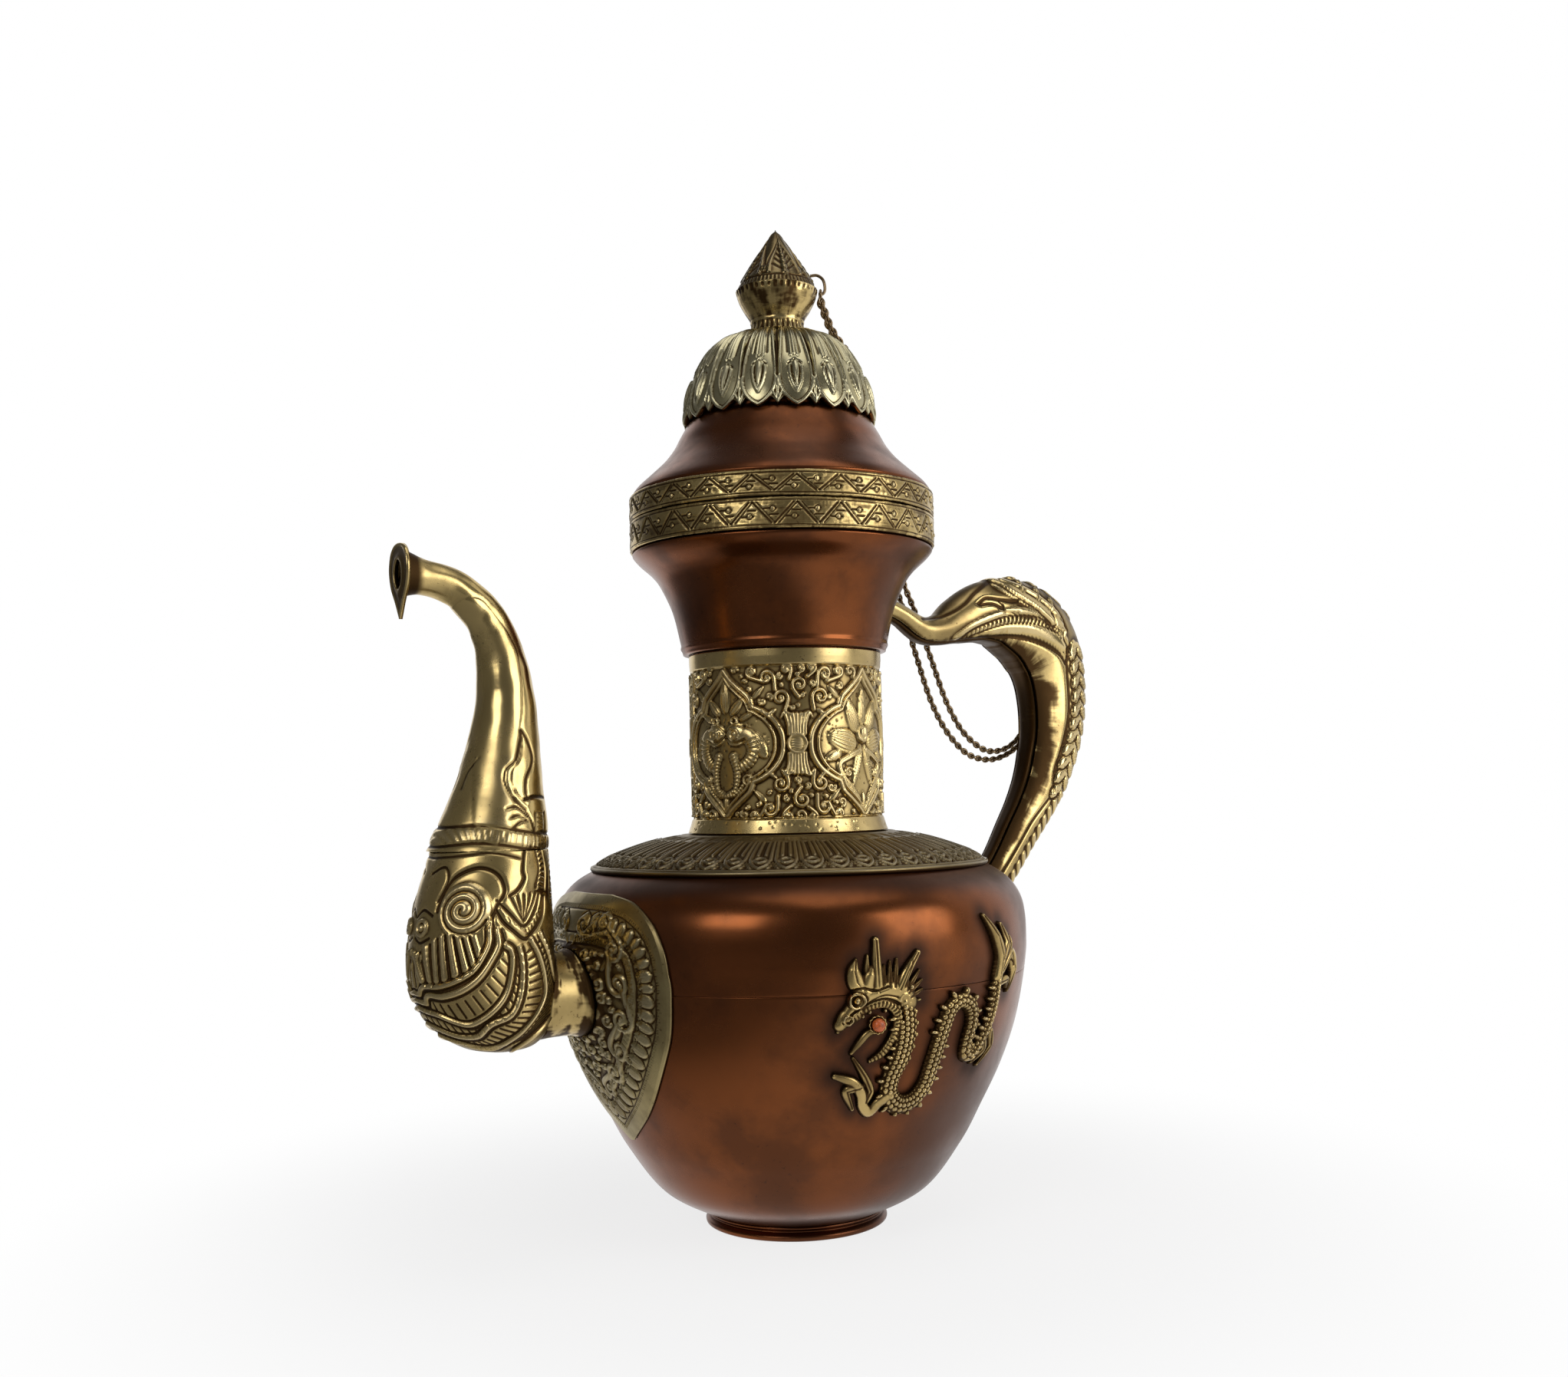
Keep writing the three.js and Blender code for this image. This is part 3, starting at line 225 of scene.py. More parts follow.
DOME_LINE = curve([
    [DOME_RADIUS, DOME_EDGE], [33.9, 286.5], [32.3, 293], [29.6, 299.6], [25.2, 306.8], [20, 310.9],
    [14, 313], [9, DOME_TOP]])


def belly_radius(z):
    return height_to_radius(BELLY_LINE, z)


# Meshes

NO_FANS = np.empty((0, 3), int)


def forge(name, points, quads, triangles, shade=None):
    """A smooth closed mesh from points in millimetres, faces outwards."""
    halves = np.vstack([quads[:, [0, 1, 2]], quads[:, [0, 2, 3]], triangles])
    a, b, c = (points[halves[:, k]] for k in range(3))
    if np.einsum("ij,ij->i", a, np.cross(b, c)).sum() < 0:
        quads, triangles = quads[:, ::-1], triangles[:, ::-1]
    corners = np.concatenate([quads.ravel(), triangles.ravel()]).astype(np.int32)
    starts = np.concatenate([
        np.arange(len(quads)) * 4, len(quads) * 4 + np.arange(len(triangles)) * 3]).astype(np.int32)
    mesh = bpy.data.meshes.new(name)
    mesh.vertices.add(len(points))
    mesh.vertices.foreach_set("co", (points * MM).astype(np.float32).ravel())
    mesh.loops.add(len(corners))
    mesh.loops.foreach_set("vertex_index", corners)
    mesh.polygons.add(len(starts))
    mesh.polygons.foreach_set("loop_start", starts)
    mesh.update(calc_edges=True)
    mesh.validate()
    mesh.shade_smooth()
    relief = mesh.attributes.new("relief", "FLOAT", "POINT")
    values = np.full(len(points), 0.5) if shade is None else shade
    relief.data.foreach_set("value", values.astype(np.float32).ravel())
    obj = bpy.data.objects.new(name, mesh)
    bpy.context.scene.collection.objects.link(obj)
    return obj


def weave(rows, columns, wrap):
    """Quads of a grid whose columns close on themselves, and its rows too if it wraps."""
    r, c = np.meshgrid(np.arange(rows if wrap else rows - 1), np.arange(columns), indexing="ij")
    up, side = (r + 1) % rows, (c + 1) % columns
    quads = np.stack([r * columns + c, r * columns + side, up * columns + side, up * columns + c], -1)
    return quads.reshape(-1, 4)


def ring_parts(rings, wrap):
    """Points, quads and end fans of a row of rings."""
    rows, columns = rings.shape[:2]
    points = rings.reshape(-1, 3)
    quads = weave(rows, columns, wrap)
    if wrap:
        return points, quads, NO_FANS
    ring = np.arange(columns)
    side = (ring + 1) % columns
    first, last = len(points), (rows - 1) * columns
    fans = np.vstack([
        np.column_stack([side, ring, np.full(columns, first)]),
        np.column_stack([ring + last, side + last, np.full(columns, first + 1)])])
    return np.vstack([points, rings[0].mean(0), rings[-1].mean(0)]), quads, fans


def ring_body(name, rings, wrap, shade=None):
    points, quads, fans = ring_parts(rings, wrap)
    if shade is not None:
        shade = np.concatenate([shade.ravel(), np.full(len(points) - shade.size, 0.5)])
    return forge(name, points, quads, fans, shade)


def spun(name, outer, facets, inner=None, rise=None, shade=None):
    """A turned piece. rise lifts its outer line, and an inner line closes it as a shell."""
    outer = np.asarray(outer, float)
    lift = np.zeros((len(outer), facets)) if rise is None else rise
    turn = around(facets)
    normal = outward(outer)
    radius, height = outer[:, :1] + normal[:, :1] * lift, outer[:, 1:] + normal[:, 1:] * lift
    tone = np.full(lift.shape, 0.5) if shade is None else shade
    if inner is not None:
        inner = np.asarray(inner, float)[::-1]
        spread = np.ones((1, facets))
        radius = np.vstack([radius, inner[:, :1] * spread])
        height = np.vstack([height, inner[:, 1:] * spread])
        tone = np.vstack([tone, np.full((len(inner), facets), 0.35)])
    rings = np.stack([radius * np.cos(turn), radius * np.sin(turn), height], -1)
    return ring_body(name, rings, inner is not None, tone)


def joined(name, parts):
    """One mesh from several bodies given as points, quads and fans."""
    points, quads, fans, start = [], [], [], 0
    for p, q, f in parts:
        points.append(p)
        quads.append(q + start)
        fans.append(f + start)
        start += len(p)
    return forge(name, np.vstack(points), np.vstack(quads), np.vstack(fans))


def tube_rings(path, radius):
    """Rings round a path in space."""
    path = np.asarray(path, float)
    along = np.gradient(path, axis=0)
    along /= np.linalg.norm(along, axis=1, keepdims=True)
    across = np.empty_like(path)
    guide = np.array([0.31, -0.52, 0.79])
    side = np.cross(along[0], guide)
    for i, t in enumerate(along):
        side = side - t * side.dot(t)
        side /= np.linalg.norm(side)
        across[i] = side
    other = np.cross(along, across)
    turn = around(10)
    circle = across[:, None] * np.cos(turn)[:, None] + other[:, None] * np.sin(turn)[:, None]
    return path[:, None] + radius * circle


def softened(field, along, across, wrap=True):
    """The field averaged over rows, then over columns that close on themselves where it wraps."""
    for axis, reach, mode in ((0, along, "edge"), (1, across, "wrap" if wrap else "edge")):
        pad = [(0, 0), (0, 0)]
        pad[axis] = (reach + 1, reach)
        total = np.cumsum(np.pad(field, pad, mode=mode), axis=axis)
        size, count = field.shape[axis], 2 * reach + 1
        ahead = np.take(total, np.arange(count, count + size), axis)
        field = (ahead - np.take(total, np.arange(size), axis)) / count
    return field


def blotches(seed, shape, along, across, wrap=True):
    """Soft random patches, drawn out by a number of rows and of columns."""
    return softened(np.random.default_rng(seed).normal(0, 1, shape), along, across, wrap)


def shading(rise, reach, deep, level=0, wrap=True):
    """0 in a hollow and 1 on a proud edge, from chased heights, for the finishes."""
    softer = softened(softened(rise, reach, reach, wrap), reach, reach, wrap)
    return np.clip(0.5 + 0.5 * (rise - softer) / deep + 0.25 * (rise - level), 0, 1)


class Chased:
    """Heights beaten into a sheet whose points lie at across, along, in millimetres."""

    def __init__(self, across, along, period=None):
        self.across, self.along = np.broadcast_arrays(across, along)
        self.period = period
        self.rise = np.zeros(self.across.shape)
        self.cuts = np.zeros(self.across.shape)
        self.origin, self.hand = np.zeros(2), 1

    @property
    def beaten(self):
        return self.rise - self.cuts

    def placed(self, x, y, hand=1):
        """The same sheet, drawn on from another origin, and mirrored where hand is -1."""
        view = copy.copy(self)
        view.origin, view.hand = self.origin + (self.hand * x, y), self.hand * hand
        return view

    def halves(self):
        return self.placed(0, 0, -1), self.placed(0, 0)

    def swell(self, spots, height):
        self.rise[spots] = np.maximum(self.rise[spots], height)

    def window(self, low, high):
        across = self.across
        if self.period:
            middle = (low[0] + high[0]) / 2
            across = (across - middle + self.period / 2) % self.period - self.period / 2 + middle
        spots = np.nonzero(
            (across > low[0]) & (across < high[0]) & (self.along > low[1]) & (self.along < high[1]))
        return spots, across[spots], self.along[spots]

    def disc(self, x, y, reach):
        """Places round a point, and how far across and along they lie from it."""
        x, y = self.origin + (self.hand * x, y)
        spots, px, py = self.window((x - reach, y - reach), (x + reach, y + reach))
        return spots, px - x, py - y

    def near(self, line, reach):
        """Places within reach of a line, how far from it they are and how far along it."""
        line = self.origin + np.multiply(line, (self.hand, 1.0))
        spots, x, y = self.window(line.min(0) - reach, line.max(0) + reach)
        away, run, start = np.full(len(x), 1e9), np.zeros(len(x)), 0.0
        for (ax, ay), (bx, by) in zip(line[:-1], line[1:]):
            dx, dy = bx - ax, by - ay
            length = math.hypot(dx, dy)
            t = np.clip(((x - ax) * dx + (y - ay) * dy) / max(length, 1e-6) ** 2, 0, 1)
            gap = np.hypot(x - ax - t * dx, y - ay - t * dy)
            closer = gap < away
            away[closer] = gap[closer]
            run[closer] = start + t[closer] * length
            start += length
        return spots, away, run, max(start, 1e-9)

    def ridge(self, line, half, height, taper=0):
        spots, away, run, length = self.near(line, half)
        left = 1 - taper * run / length
        lift = height * np.sqrt(np.clip(1 - (away / (half * left)) ** 2, 0, 1)) * (0.5 + 0.5 * left)
        self.swell(spots, lift)

    def groove(self, line, half, depth):
        spots, away, _, _ = self.near(line, half)
        self.rise[spots] -= depth * np.clip(1 - (away / half) ** 2, 0, 1)

    def cut(self, line, half, depth):
        """A chasing line: a sharp valley with round shoulders, so that the forms beside it swell."""
        spots, away, _, _ = self.near(line, half)
        valley = depth * (1 - np.clip(away / half, 0, 1)) ** 2
        self.cuts[spots] = np.maximum(self.cuts[spots], valley)

    def cut_all(self, table):
        for line, half, depth in table:
            self.cut(curve(line, 6), half, depth)

    def rungs(self, line, half, step, depth=0.5, slant=0):
        """Short chisel cuts across a band."""
        line = even(line, max(2, int(run_along(np.asarray(line, float))[-1] / step)))
        along = np.gradient(line, axis=0)
        along /= np.maximum(np.linalg.norm(along, axis=1, keepdims=True), 1e-9)
        across = np.column_stack([-along[:, 1], along[:, 0]]) + slant * along
        for place, out in zip(line, across):
            self.cut([place - half * out, place + half * out], 0.42 * step, depth)

    def limb(self, path, lift, scales=0):
        """A cast rod, given as [x, y, half width], that scales can cover."""
        line = curve(path, 8)
        spots, away, run, _ = self.near(line[:, :2], float(line[:, 2].max()))
        half = np.maximum(np.interp(run, run_along(line[:, :2]), line[:, 2]), 0.2)
        height = (lift + np.minimum(half, 2.0)) * np.clip(1 - (away / half) ** 2, 0, 1) ** 0.42
        if scales:
            row = np.floor(away / scales + 0.5)
            u = (run / scales + 0.5 * (row % 2)) % 1 - 0.5
            bump = np.sqrt(np.clip(1 - 4 * u**2 - 4 * (away / scales - row) ** 2, 0, 1))
            height = np.where(height > 0, np.maximum(height - 0.8 + 0.9 * bump, 0.2), 0)
        self.swell(spots, height)

    def boss(self, x, y, wide, long, height, turn=0, point=0, ribs=0):
        """An oval swelling; point narrows its far end to a tip, and ribs run along it."""
        spots, dx, dy = self.disc(x, y, max(wide, long))
        s, c = math.sin(self.hand * turn), math.cos(turn)
        u, v = (dx * s + dy * c) / long, (dx * c - dy * s) / wide
        width = np.sqrt(np.clip(1 - u**2, 1e-6, 1)) * np.clip(1 - point * (0.5 + 0.5 * u), 0.02, 1)
        lift = height * np.clip(1 - (v / width) ** 2, 0, 1) ** 0.6 * np.clip(1 - u**2, 0, 1) ** 0.3
        if ribs:
            lift = lift * (0.82 + 0.18 * np.cos(ribs * np.pi * v / width))
        self.swell(spots, lift)

    def ring(self, x, y, radius, half, height):
        spots, dx, dy = self.disc(x, y, radius + half)
        away = np.abs(np.hypot(dx, dy) - radius)
        self.swell(spots, height * np.sqrt(np.clip(1 - (away / half) ** 2, 0, 1)))


def spiral(x, y, radius, turns, hand, start=0.0):
    t = np.linspace(0, 1, max(8, int(turns * 20)))
    angle = start + hand * FULL_TURN * turns * t
    reach = radius * (1 - 0.88 * t)
    return np.column_stack([x + reach * np.cos(angle), y + reach * np.sin(angle)])


def tendril(root, centre, radius, turns, hand):
    """A stem that leaves its root and rolls up round a centre."""
    start = math.atan2(root[1] - centre[1], root[0] - centre[0]) + hand * 1.0
    coil = spiral(*centre, radius, turns, hand, start)
    return curve([root, *coil[::3]], 4)


# Finishes

def feed(tree, node, inputs):
    """Gives a node's inputs, called by name or number, a value or a link."""
    for key, value in inputs.items():
        if isinstance(value, bpy.types.NodeSocket):
            tree.links.new(value, node.inputs[key])
        else:
            node.inputs[key].default_value = (*value, 1.0) if len(np.shape(value)) else value


def add_node(tree, kind, inputs, output=0, **settings):
    """One output of a new shader node."""
    node = tree.nodes.new(f"ShaderNode{kind}")
    for key, value in settings.items():
        setattr(node, key, value)
    feed(tree, node, inputs)
    return node.outputs[output]


def noise(tree, place, scale, detail, rough=0.55):
    return add_node(
        tree, "TexNoise", {"Vector": place, "Scale": scale, "Detail": detail, "Roughness": rough}, "Fac")


def between(tree, value, low, high, start=0.0, end=1.0):
    """The value carried from low..high to start..end."""
    inputs = {"Value": value, "From Min": low, "From Max": high, "To Min": start, "To Max": end}
    return add_node(tree, "MapRange", inputs, "Result", interpolation_type="SMOOTHSTEP")


def blend_colour(tree, first, second, amount):
    return add_node(tree, "Mix", {6: first, 7: second, 0: amount}, 2, data_type="RGBA")


def arithmetic(tree, kind, first, second):
    return add_node(tree, "Math", {0: first, 1: second}, operation=kind, use_clamp=True)


def times(tree, first, second):
    return arithmetic(tree, "MULTIPLY", first, second)


def mixed(first, second, share):
    """A colour between two others."""
    return tuple((1 - share) * a + share * b for a, b in zip(first, second))


def blank(name):
    """A new material, its nodes, its shader and the place of a point on the piece."""
    material = bpy.data.materials.new(name)
    material.use_nodes = True
    tree = material.node_tree
    return material, tree, tree.nodes["Principled BSDF"], add_node(tree, "TexCoord", {}, "Object")


def aged_metal(name, base, stain, rough, patch, patches, spots, grain, dents=0, carved=True, worn=0.25):
    """Metal with stained patches, dark spots, dirt in its hollows, painted shade where a piece's relief tone
    was darkened for shade, and bright worn edges.
    """
    material, tree, shader, place = blank(name)
    mottle = noise(tree, place, patch, 5.0, 0.6)
    broad = noise(tree, place, patch * 0.45, 3.0, 0.5)
    speck = noise(tree, place, 620.0, 4.0, 0.7)
    fine = noise(tree, place, 2600.0, 2.0, 0.5)
    half_stain = between(tree, mottle, 0.40, 0.66, 0.0, patches * 1.6)
    tone = blend_colour(tree, base, mixed(base, stain, 0.45), half_stain)
    tone = blend_colour(tree, tone, mixed(base, stain, 0.7), between(tree, broad, 0.46, 0.68, 0.0, patches))
    spotted = times(tree, between(tree, speck, 0.60, 0.70), between(tree, mottle, 0.42, 0.6))
    tone = blend_colour(tree, tone, stain, times(tree, spotted, spots))
    roughness = between(tree, mottle, 0.35, 0.7, rough - 0.05, rough + 0.12)
    if carved:
        level = add_node(tree, "Attribute", {}, "Fac", attribute_name="relief")
        bright = mixed(base, [0.25 + 0.75 * b**0.6 for b in base], 0.35)
        tone = blend_colour(tree, tone, bright, between(tree, level, 0.56, 0.8, 0.0, worn * 2.0))
        # Low relief values blend in the stain colour: dirt in the hollows, and painted shade on the belly,
        # the handle and its strip.
        dirt_and_shade = between(tree, level, 0.22, 0.5, 1.0, 0.0)
        tone = blend_colour(tree, tone, stain, dirt_and_shade)
        roughness = arithmetic(tree, "ADD", roughness, times(tree, dirt_and_shade, 0.25))
    height = times(tree, fine, grain)
    if dents:
        cells = add_node(
            tree, "TexVoronoi", {"Vector": place, "Scale": 120.0}, "Distance", feature="SMOOTH_F1")
        height = arithmetic(tree, "ADD", height, times(tree, cells, dents))
    bump = add_node(tree, "Bump", {"Strength": 0.35, "Distance": 0.0006, "Height": height}, "Normal")
    feed(tree, shader, {"Metallic": 1.0, "Base Color": tone, "Roughness": roughness, "Normal": bump})
    return material


# Colour, roughness, scale and strength of the patches, spots, grain, dents, whether carved, wear
METALS = {
    "polished_copper": ("copper", 0.28, 20, 0.9, 0.5, 0.02),
    "lid_copper": ("copper", 0.28, 34, 0.7, 0.5, 0.03),
    "inner_copper": ("copper", 0.4, 40, 0.9, 0.6, 0.06, 0, False),
    "chased_brass": ("brass", 0.24, 40, 0.5, 0.9, 0.06),
    "band_brass": ("brass", 0.28, 60, 0.7, 1.0, 0.06),
    "spout_brass": ("brass", 0.24, 46, 0.35, 0.8, 0.04, 0.5),
    "handle_brass": ("brass", 0.2, 70, 0.5, 0.9, 0.05, 0.2),
    "shield_brass": ("shield_brass", 0.3, 50, 0.6, 0.8, 0.05),
    "dragon_brass": ("dragon_brass", 0.25, 90, 0.6, 0.7, 0.05),
    "silvery_brass": ("pale_brass", 0.27, 40, 0.35, 0.7, 0.04, 0, True, 0.2),
    "cone_bronze": ("dull_brass", 0.26, 90, 1.0, 0.8, 0.05, 0, True, 0.1),
    "dull_brass": ("dull_brass", 0.4, 45, 0.6, 0.7, 0.05),
    "hidden_fitting": ("dull_brass", 0.45, 60, 0.6, 0.5, 0.06, 0, False),
    "chain_bronze": ("bronze", 0.28, 90, 0.4, 0.4, 0.03)}


def finish(name):
    """One of the pitcher's finishes, made once from the panel's colours."""
    paint = bpy.context.scene.pitcher_finishes
    base, *numbers = METALS[name]
    stain = paint.copper_stain_and_shade if base == "copper" else paint.brass_stain_and_shade
    made = bpy.data.materials.get(name)
    return made or aged_metal(name, tuple(getattr(paint, base)), tuple(stain), *numbers)


def coral_finish():
    """Polished coral with faint darker veins."""
    material, tree, shader, place = blank("coral")
    base = tuple(bpy.context.scene.pitcher_finishes.coral)
    cloud = noise(tree, place, 700.0, 3.0)
    tone = blend_colour(tree, base, mixed(base, (0, 0, 0), 0.55), between(tree, cloud, 0.45, 0.75))
    feed(tree, shader, {"Base Color": tone, "Roughness": between(tree, cloud, 0.3, 0.7, 0.22, 0.4)})
    return material


def fit(obj, material, node, body="pot"):
    """Gives a piece its finish and its body, and hides the frame node that it stands for."""
    obj.data.materials.append(finish(material) if material in METALS else coral_finish())
    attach(obj, body)
    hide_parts(node)


# Chain

EYE_ANGLE = -28
EYE_LOW = CREASE_HEIGHT - 0.5
TOP_LINK = EYE_LOW + WIRE_RADIUS + 0.25 - (LINK_RADIUS - LINK_WIRE)
STAPLE = {"x": 124.6, "top": 189.6, "low": 184.2, "out": 13}
END_LINK = STAPLE["low"] + WIRE_RADIUS + 0.25 - (LINK_RADIUS - LINK_WIRE)
NEAR_LOOP = [
    [60, 229, 7.6], [64.6, 221, 8.4], [69.6, 211, 9.4], [74.5, 201.3, 10.4], [82.6, 183.6, 10.8],
    [90.4, 172.8, 10.8], [100.5, 166.3, 10.8], [107.3, 165.8, 10.8], [113.4, 167.6, 10.8],
    [118.6, 171.4, 10.8], [121.6, 175.6, 11], [123.1, 180.1, 11.1]]
FAR_LOOP = [
    [58.4, 229, 10.6], [62, 221, 11.6], [66, 211, 12.6], [70, 201.7, 13.5], [77.3, 184, 13.8],
    [84.6, 173, 13.8], [93.9, 165, 13.8], [102, 162.6, 13.8], [109.6, 162.9, 13.8], [118.3, 166.4, 13.7],
    [124, 171.9, 12.8], [126.2, 180.1, 11.1]]


def strand_route(side):
    """One half of the doubled chain, from the lid's finial to the handle's staple."""
    gap = side * (CHAIN_RADIUS + 0.3)
    start = TOP_LINK - LINK_RADIUS - LINK_WIRE - SEAT
    on_lid = [
        [-28, 15.9, start], [-28, 17.6, 320.5], [-27, 19.6, 315.6], [-24, 22.6, 311.4], [-16, 26.4, 308],
        [-6, 31, 300.5], [0, 33.9, 293.6], [3, 35.6, 286.9], [5, 36.3, 281.4], [6, 37.4, 277.4],
        [7, 39.6, 273.3], [7.5, 42.8, 269.2], [8, 47.3, 264.9], [8, 52.4, 260.3], [8, 55.9, 256.4],
        [8.2, 56.4, 250], [8.4, 57.2, 237]]
    points = [polar(angle + math.degrees(gap / radius), radius, z) for angle, radius, z in on_lid]
    points += [[x, y, z] for x, z, y in (NEAR_LOOP if side < 0 else FAR_LOOP)]
    return curve(points, 16, hug=True)


def strand_links(route):
    """Interlocked oval links, each turned a quarter against the last."""
    sizes = bpy.context.scene.pitcher_sizes
    pitch, wire = sizes.link_pitch / MM, sizes.link_wire / MM / 2
    count = round(run_along(route)[-1] / pitch)
    places = even(route, count)
    along = np.gradient(places, axis=0)
    along /= np.linalg.norm(along, axis=1, keepdims=True)
    turn = around(14)
    half_long, half_wide = pitch / 2 + wire, CHAIN_RADIUS + 0.15 - wire
    loop = np.column_stack([half_long * np.cos(turn), half_wide * np.sin(turn)])
    side = np.cross(along[0], [0.2, 0.3, 0.9])
    parts = []
    for i, (place, t) in enumerate(zip(places, along)):
        side = side - t * side.dot(t)
        side /= np.linalg.norm(side)
        other = np.cross(t, side)
        angle = math.radians(45 if i % 2 else -45)
        flat = side * math.cos(angle) + other * math.sin(angle)
        up = np.cross(t, flat)
        center = place + loop[:, :1] * t + loop[:, 1:] * flat
        radial = (center - place) / np.linalg.norm(center - place, axis=1, keepdims=True)
        ring = around(6)
        tube = center[:, None] + wire * (
            radial[:, None] * np.cos(ring)[:, None] + up * np.sin(ring)[:, None])
        parts.append(ring_parts(tube, True))
    return parts


def jump_ring(name, center, angle):
    """A plain wire ring that stands upright, its hole facing along an angle in plan."""
    turn = np.linspace(0, FULL_TURN, 28, endpoint=False)
    flat = np.array(polar(angle + 90, 1, 0))
    path = np.array(center) + LINK_RADIUS * (
        np.cos(turn)[:, None] * flat + np.sin(turn)[:, None] * np.array([0, 0, 1.0]))
    radial = (path - center) / LINK_RADIUS
    axle = np.array(polar(angle, 1, 0))
    ring = around(10)
    circle = radial[:, None] * np.cos(ring)[:, None] + axle * np.sin(ring)[:, None]
    points, quads, fans = ring_parts(path[:, None] + LINK_WIRE * circle, True)
    return forge(name, points, quads, fans)


# The photograph's width and the camera's focal length in its pixels, place in metres, roll in degrees
PHOTO_WIDTH = 2044
FOCAL_PIXELS = 2060
CAMERA_TOWARD = Vector((0.5446, 0.8387, 0))
CAMERA_AWAY = 0.5628
CAMERA_HEIGHT = 0.152
CAMERA_ROLL = -1.25


class PITCHER_OT_camera(Operator):
    """Place the camera where the photograph was taken from"""
    bl_idname = "pitcher.camera"
    bl_label = "Camera"

    def execute(self, context):
        data = bpy.data.cameras.new("camera")
        data.sensor_width = 36
        data.lens = 36 * FOCAL_PIXELS / PHOTO_WIDTH
        data.shift_x = -4.5 / PHOTO_WIDTH
        data.shift_y = 132.5 / PHOTO_WIDTH
        data.clip_start = 0.01
        camera = bpy.data.objects.new("camera", data)
        context.scene.collection.objects.link(camera)
        camera.location = -CAMERA_AWAY * CAMERA_TOWARD + Vector((0, 0, CAMERA_HEIGHT))
        level = CAMERA_TOWARD.to_track_quat("-Z", "Y").to_matrix().to_4x4()
        roll = Matrix.Rotation(math.radians(CAMERA_ROLL), 4, "Z")
        camera.rotation_euler = (level @ roll).to_euler()
        context.scene.camera = camera
        return {"FINISHED"}


class PITCHER_OT_chain(Operator):
    """Hang the doubled chain between the lid's finial and the handle"""
    bl_idname = "pitcher.chain"
    bl_label = "Chain and jump rings"

    def execute(self, context):
        for name, side in (("chain_strand_near", -1), ("chain_strand_far", 1)):
            route = strand_route(side)
            strand = joined(f"{name}_links", strand_links(route))
            strand.data.materials.append(finish("chain_bronze"))
            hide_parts(name)
            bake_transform(strand)
            path = even(route, 120) * MM
            float(run_along(path)[-1])
        top = jump_ring("top_jump_ring", polar(EYE_ANGLE, CREASE_RADIUS + 1.05, TOP_LINK), EYE_ANGLE)
        fit(top, "chain_bronze", "chain_top_ring", "lid")
        end = jump_ring("end_jump_ring", [STAPLE["x"], STAPLE["out"] - 1.9, END_LINK], 90)
        fit(end, "chain_bronze", "chain_end_ring")
        return {"FINISHED"}


class PITCHER_OT_eyes(Operator):
    """Bend the two wire staples that carry the chain"""
    bl_idname = "pitcher.eyes"
    bl_label = "Chain staples"

    def execute(self, context):
        reach = CREASE_RADIUS + 2.7
        cone = height_to_radius(CONE_LINE, 335.2) + SEAT + WIRE_RADIUS
        hook = [polar(EYE_ANGLE, r, z) for r, z in (
            (cone, 335.2), (14.6, 335.4), (16.6, 334), (reach, 331.6), (reach - 0.15, 329.7),
            (reach - 0.9, EYE_LOW), (CREASE_RADIUS + SEAT + 0.1, EYE_LOW))]
        staple, seat = STAPLE, 9 + SEAT + WIRE_RADIUS * 0.2
        top, low, out = staple["top"], staple["low"], staple["out"]
        bow = [[staple["x"], y, z] for y, z in (
            (seat, top), (out - 1.4, top), (out - 0.2, top - 0.9), (out, (top + low) / 2),
            (out - 0.2, low + 0.9), (out - 1.4, low), (seat, low))]
        for name, node, points, body in (
                ("finial_staple", "finial_eye", hook, "lid"), ("handle_staple", "handle_eye", bow, "pot")):
            rings = tube_rings(even(curve(points, 12, hug=True), 40), WIRE_RADIUS)
            fit(ring_body(name, rings, False), "chain_bronze", node, body)
        return {"FINISHED"}


# Pot

def shell_line(line, wall):
    """The inner side of a shell, with fewer points than its outer line."""
    inner = inset(line, wall)
    return np.vstack([inner[::6], inner[-1:]])


def copper_tarnish_and_shade(line, facets):
    """Darkening of the copper round the dragon, under the shoulder collar and just above the foot: tarnish
    together with painted shade where raised parts meet the belly.
    """
    sheet = Chased(np.arange(facets)[None] * (360 / facets) * DEGREE_RUN, line[:, 1:])
    dirt_and_shade = 0.7 * np.exp(-(((sheet.along - 122) / 4) ** 2)) + 0.5 * np.exp(-(((sheet.along - 6) / 5) ** 2))
    for path in (DRAGON_BODY, *DRAGON_LIMBS):
        spots, away, _, _ = sheet.near(np.multiply(path, [DEGREE_RUN, 1, 1])[:, :2], 12)
        dirt_and_shade[spots] = np.maximum(dirt_and_shade[spots], 0.95 * np.exp(-((away / 5.5) ** 2)))
    # Low values darken the copper towards its stain colour: painted shade and tarnish.
    return 0.5 - 0.24 * dirt_and_shade


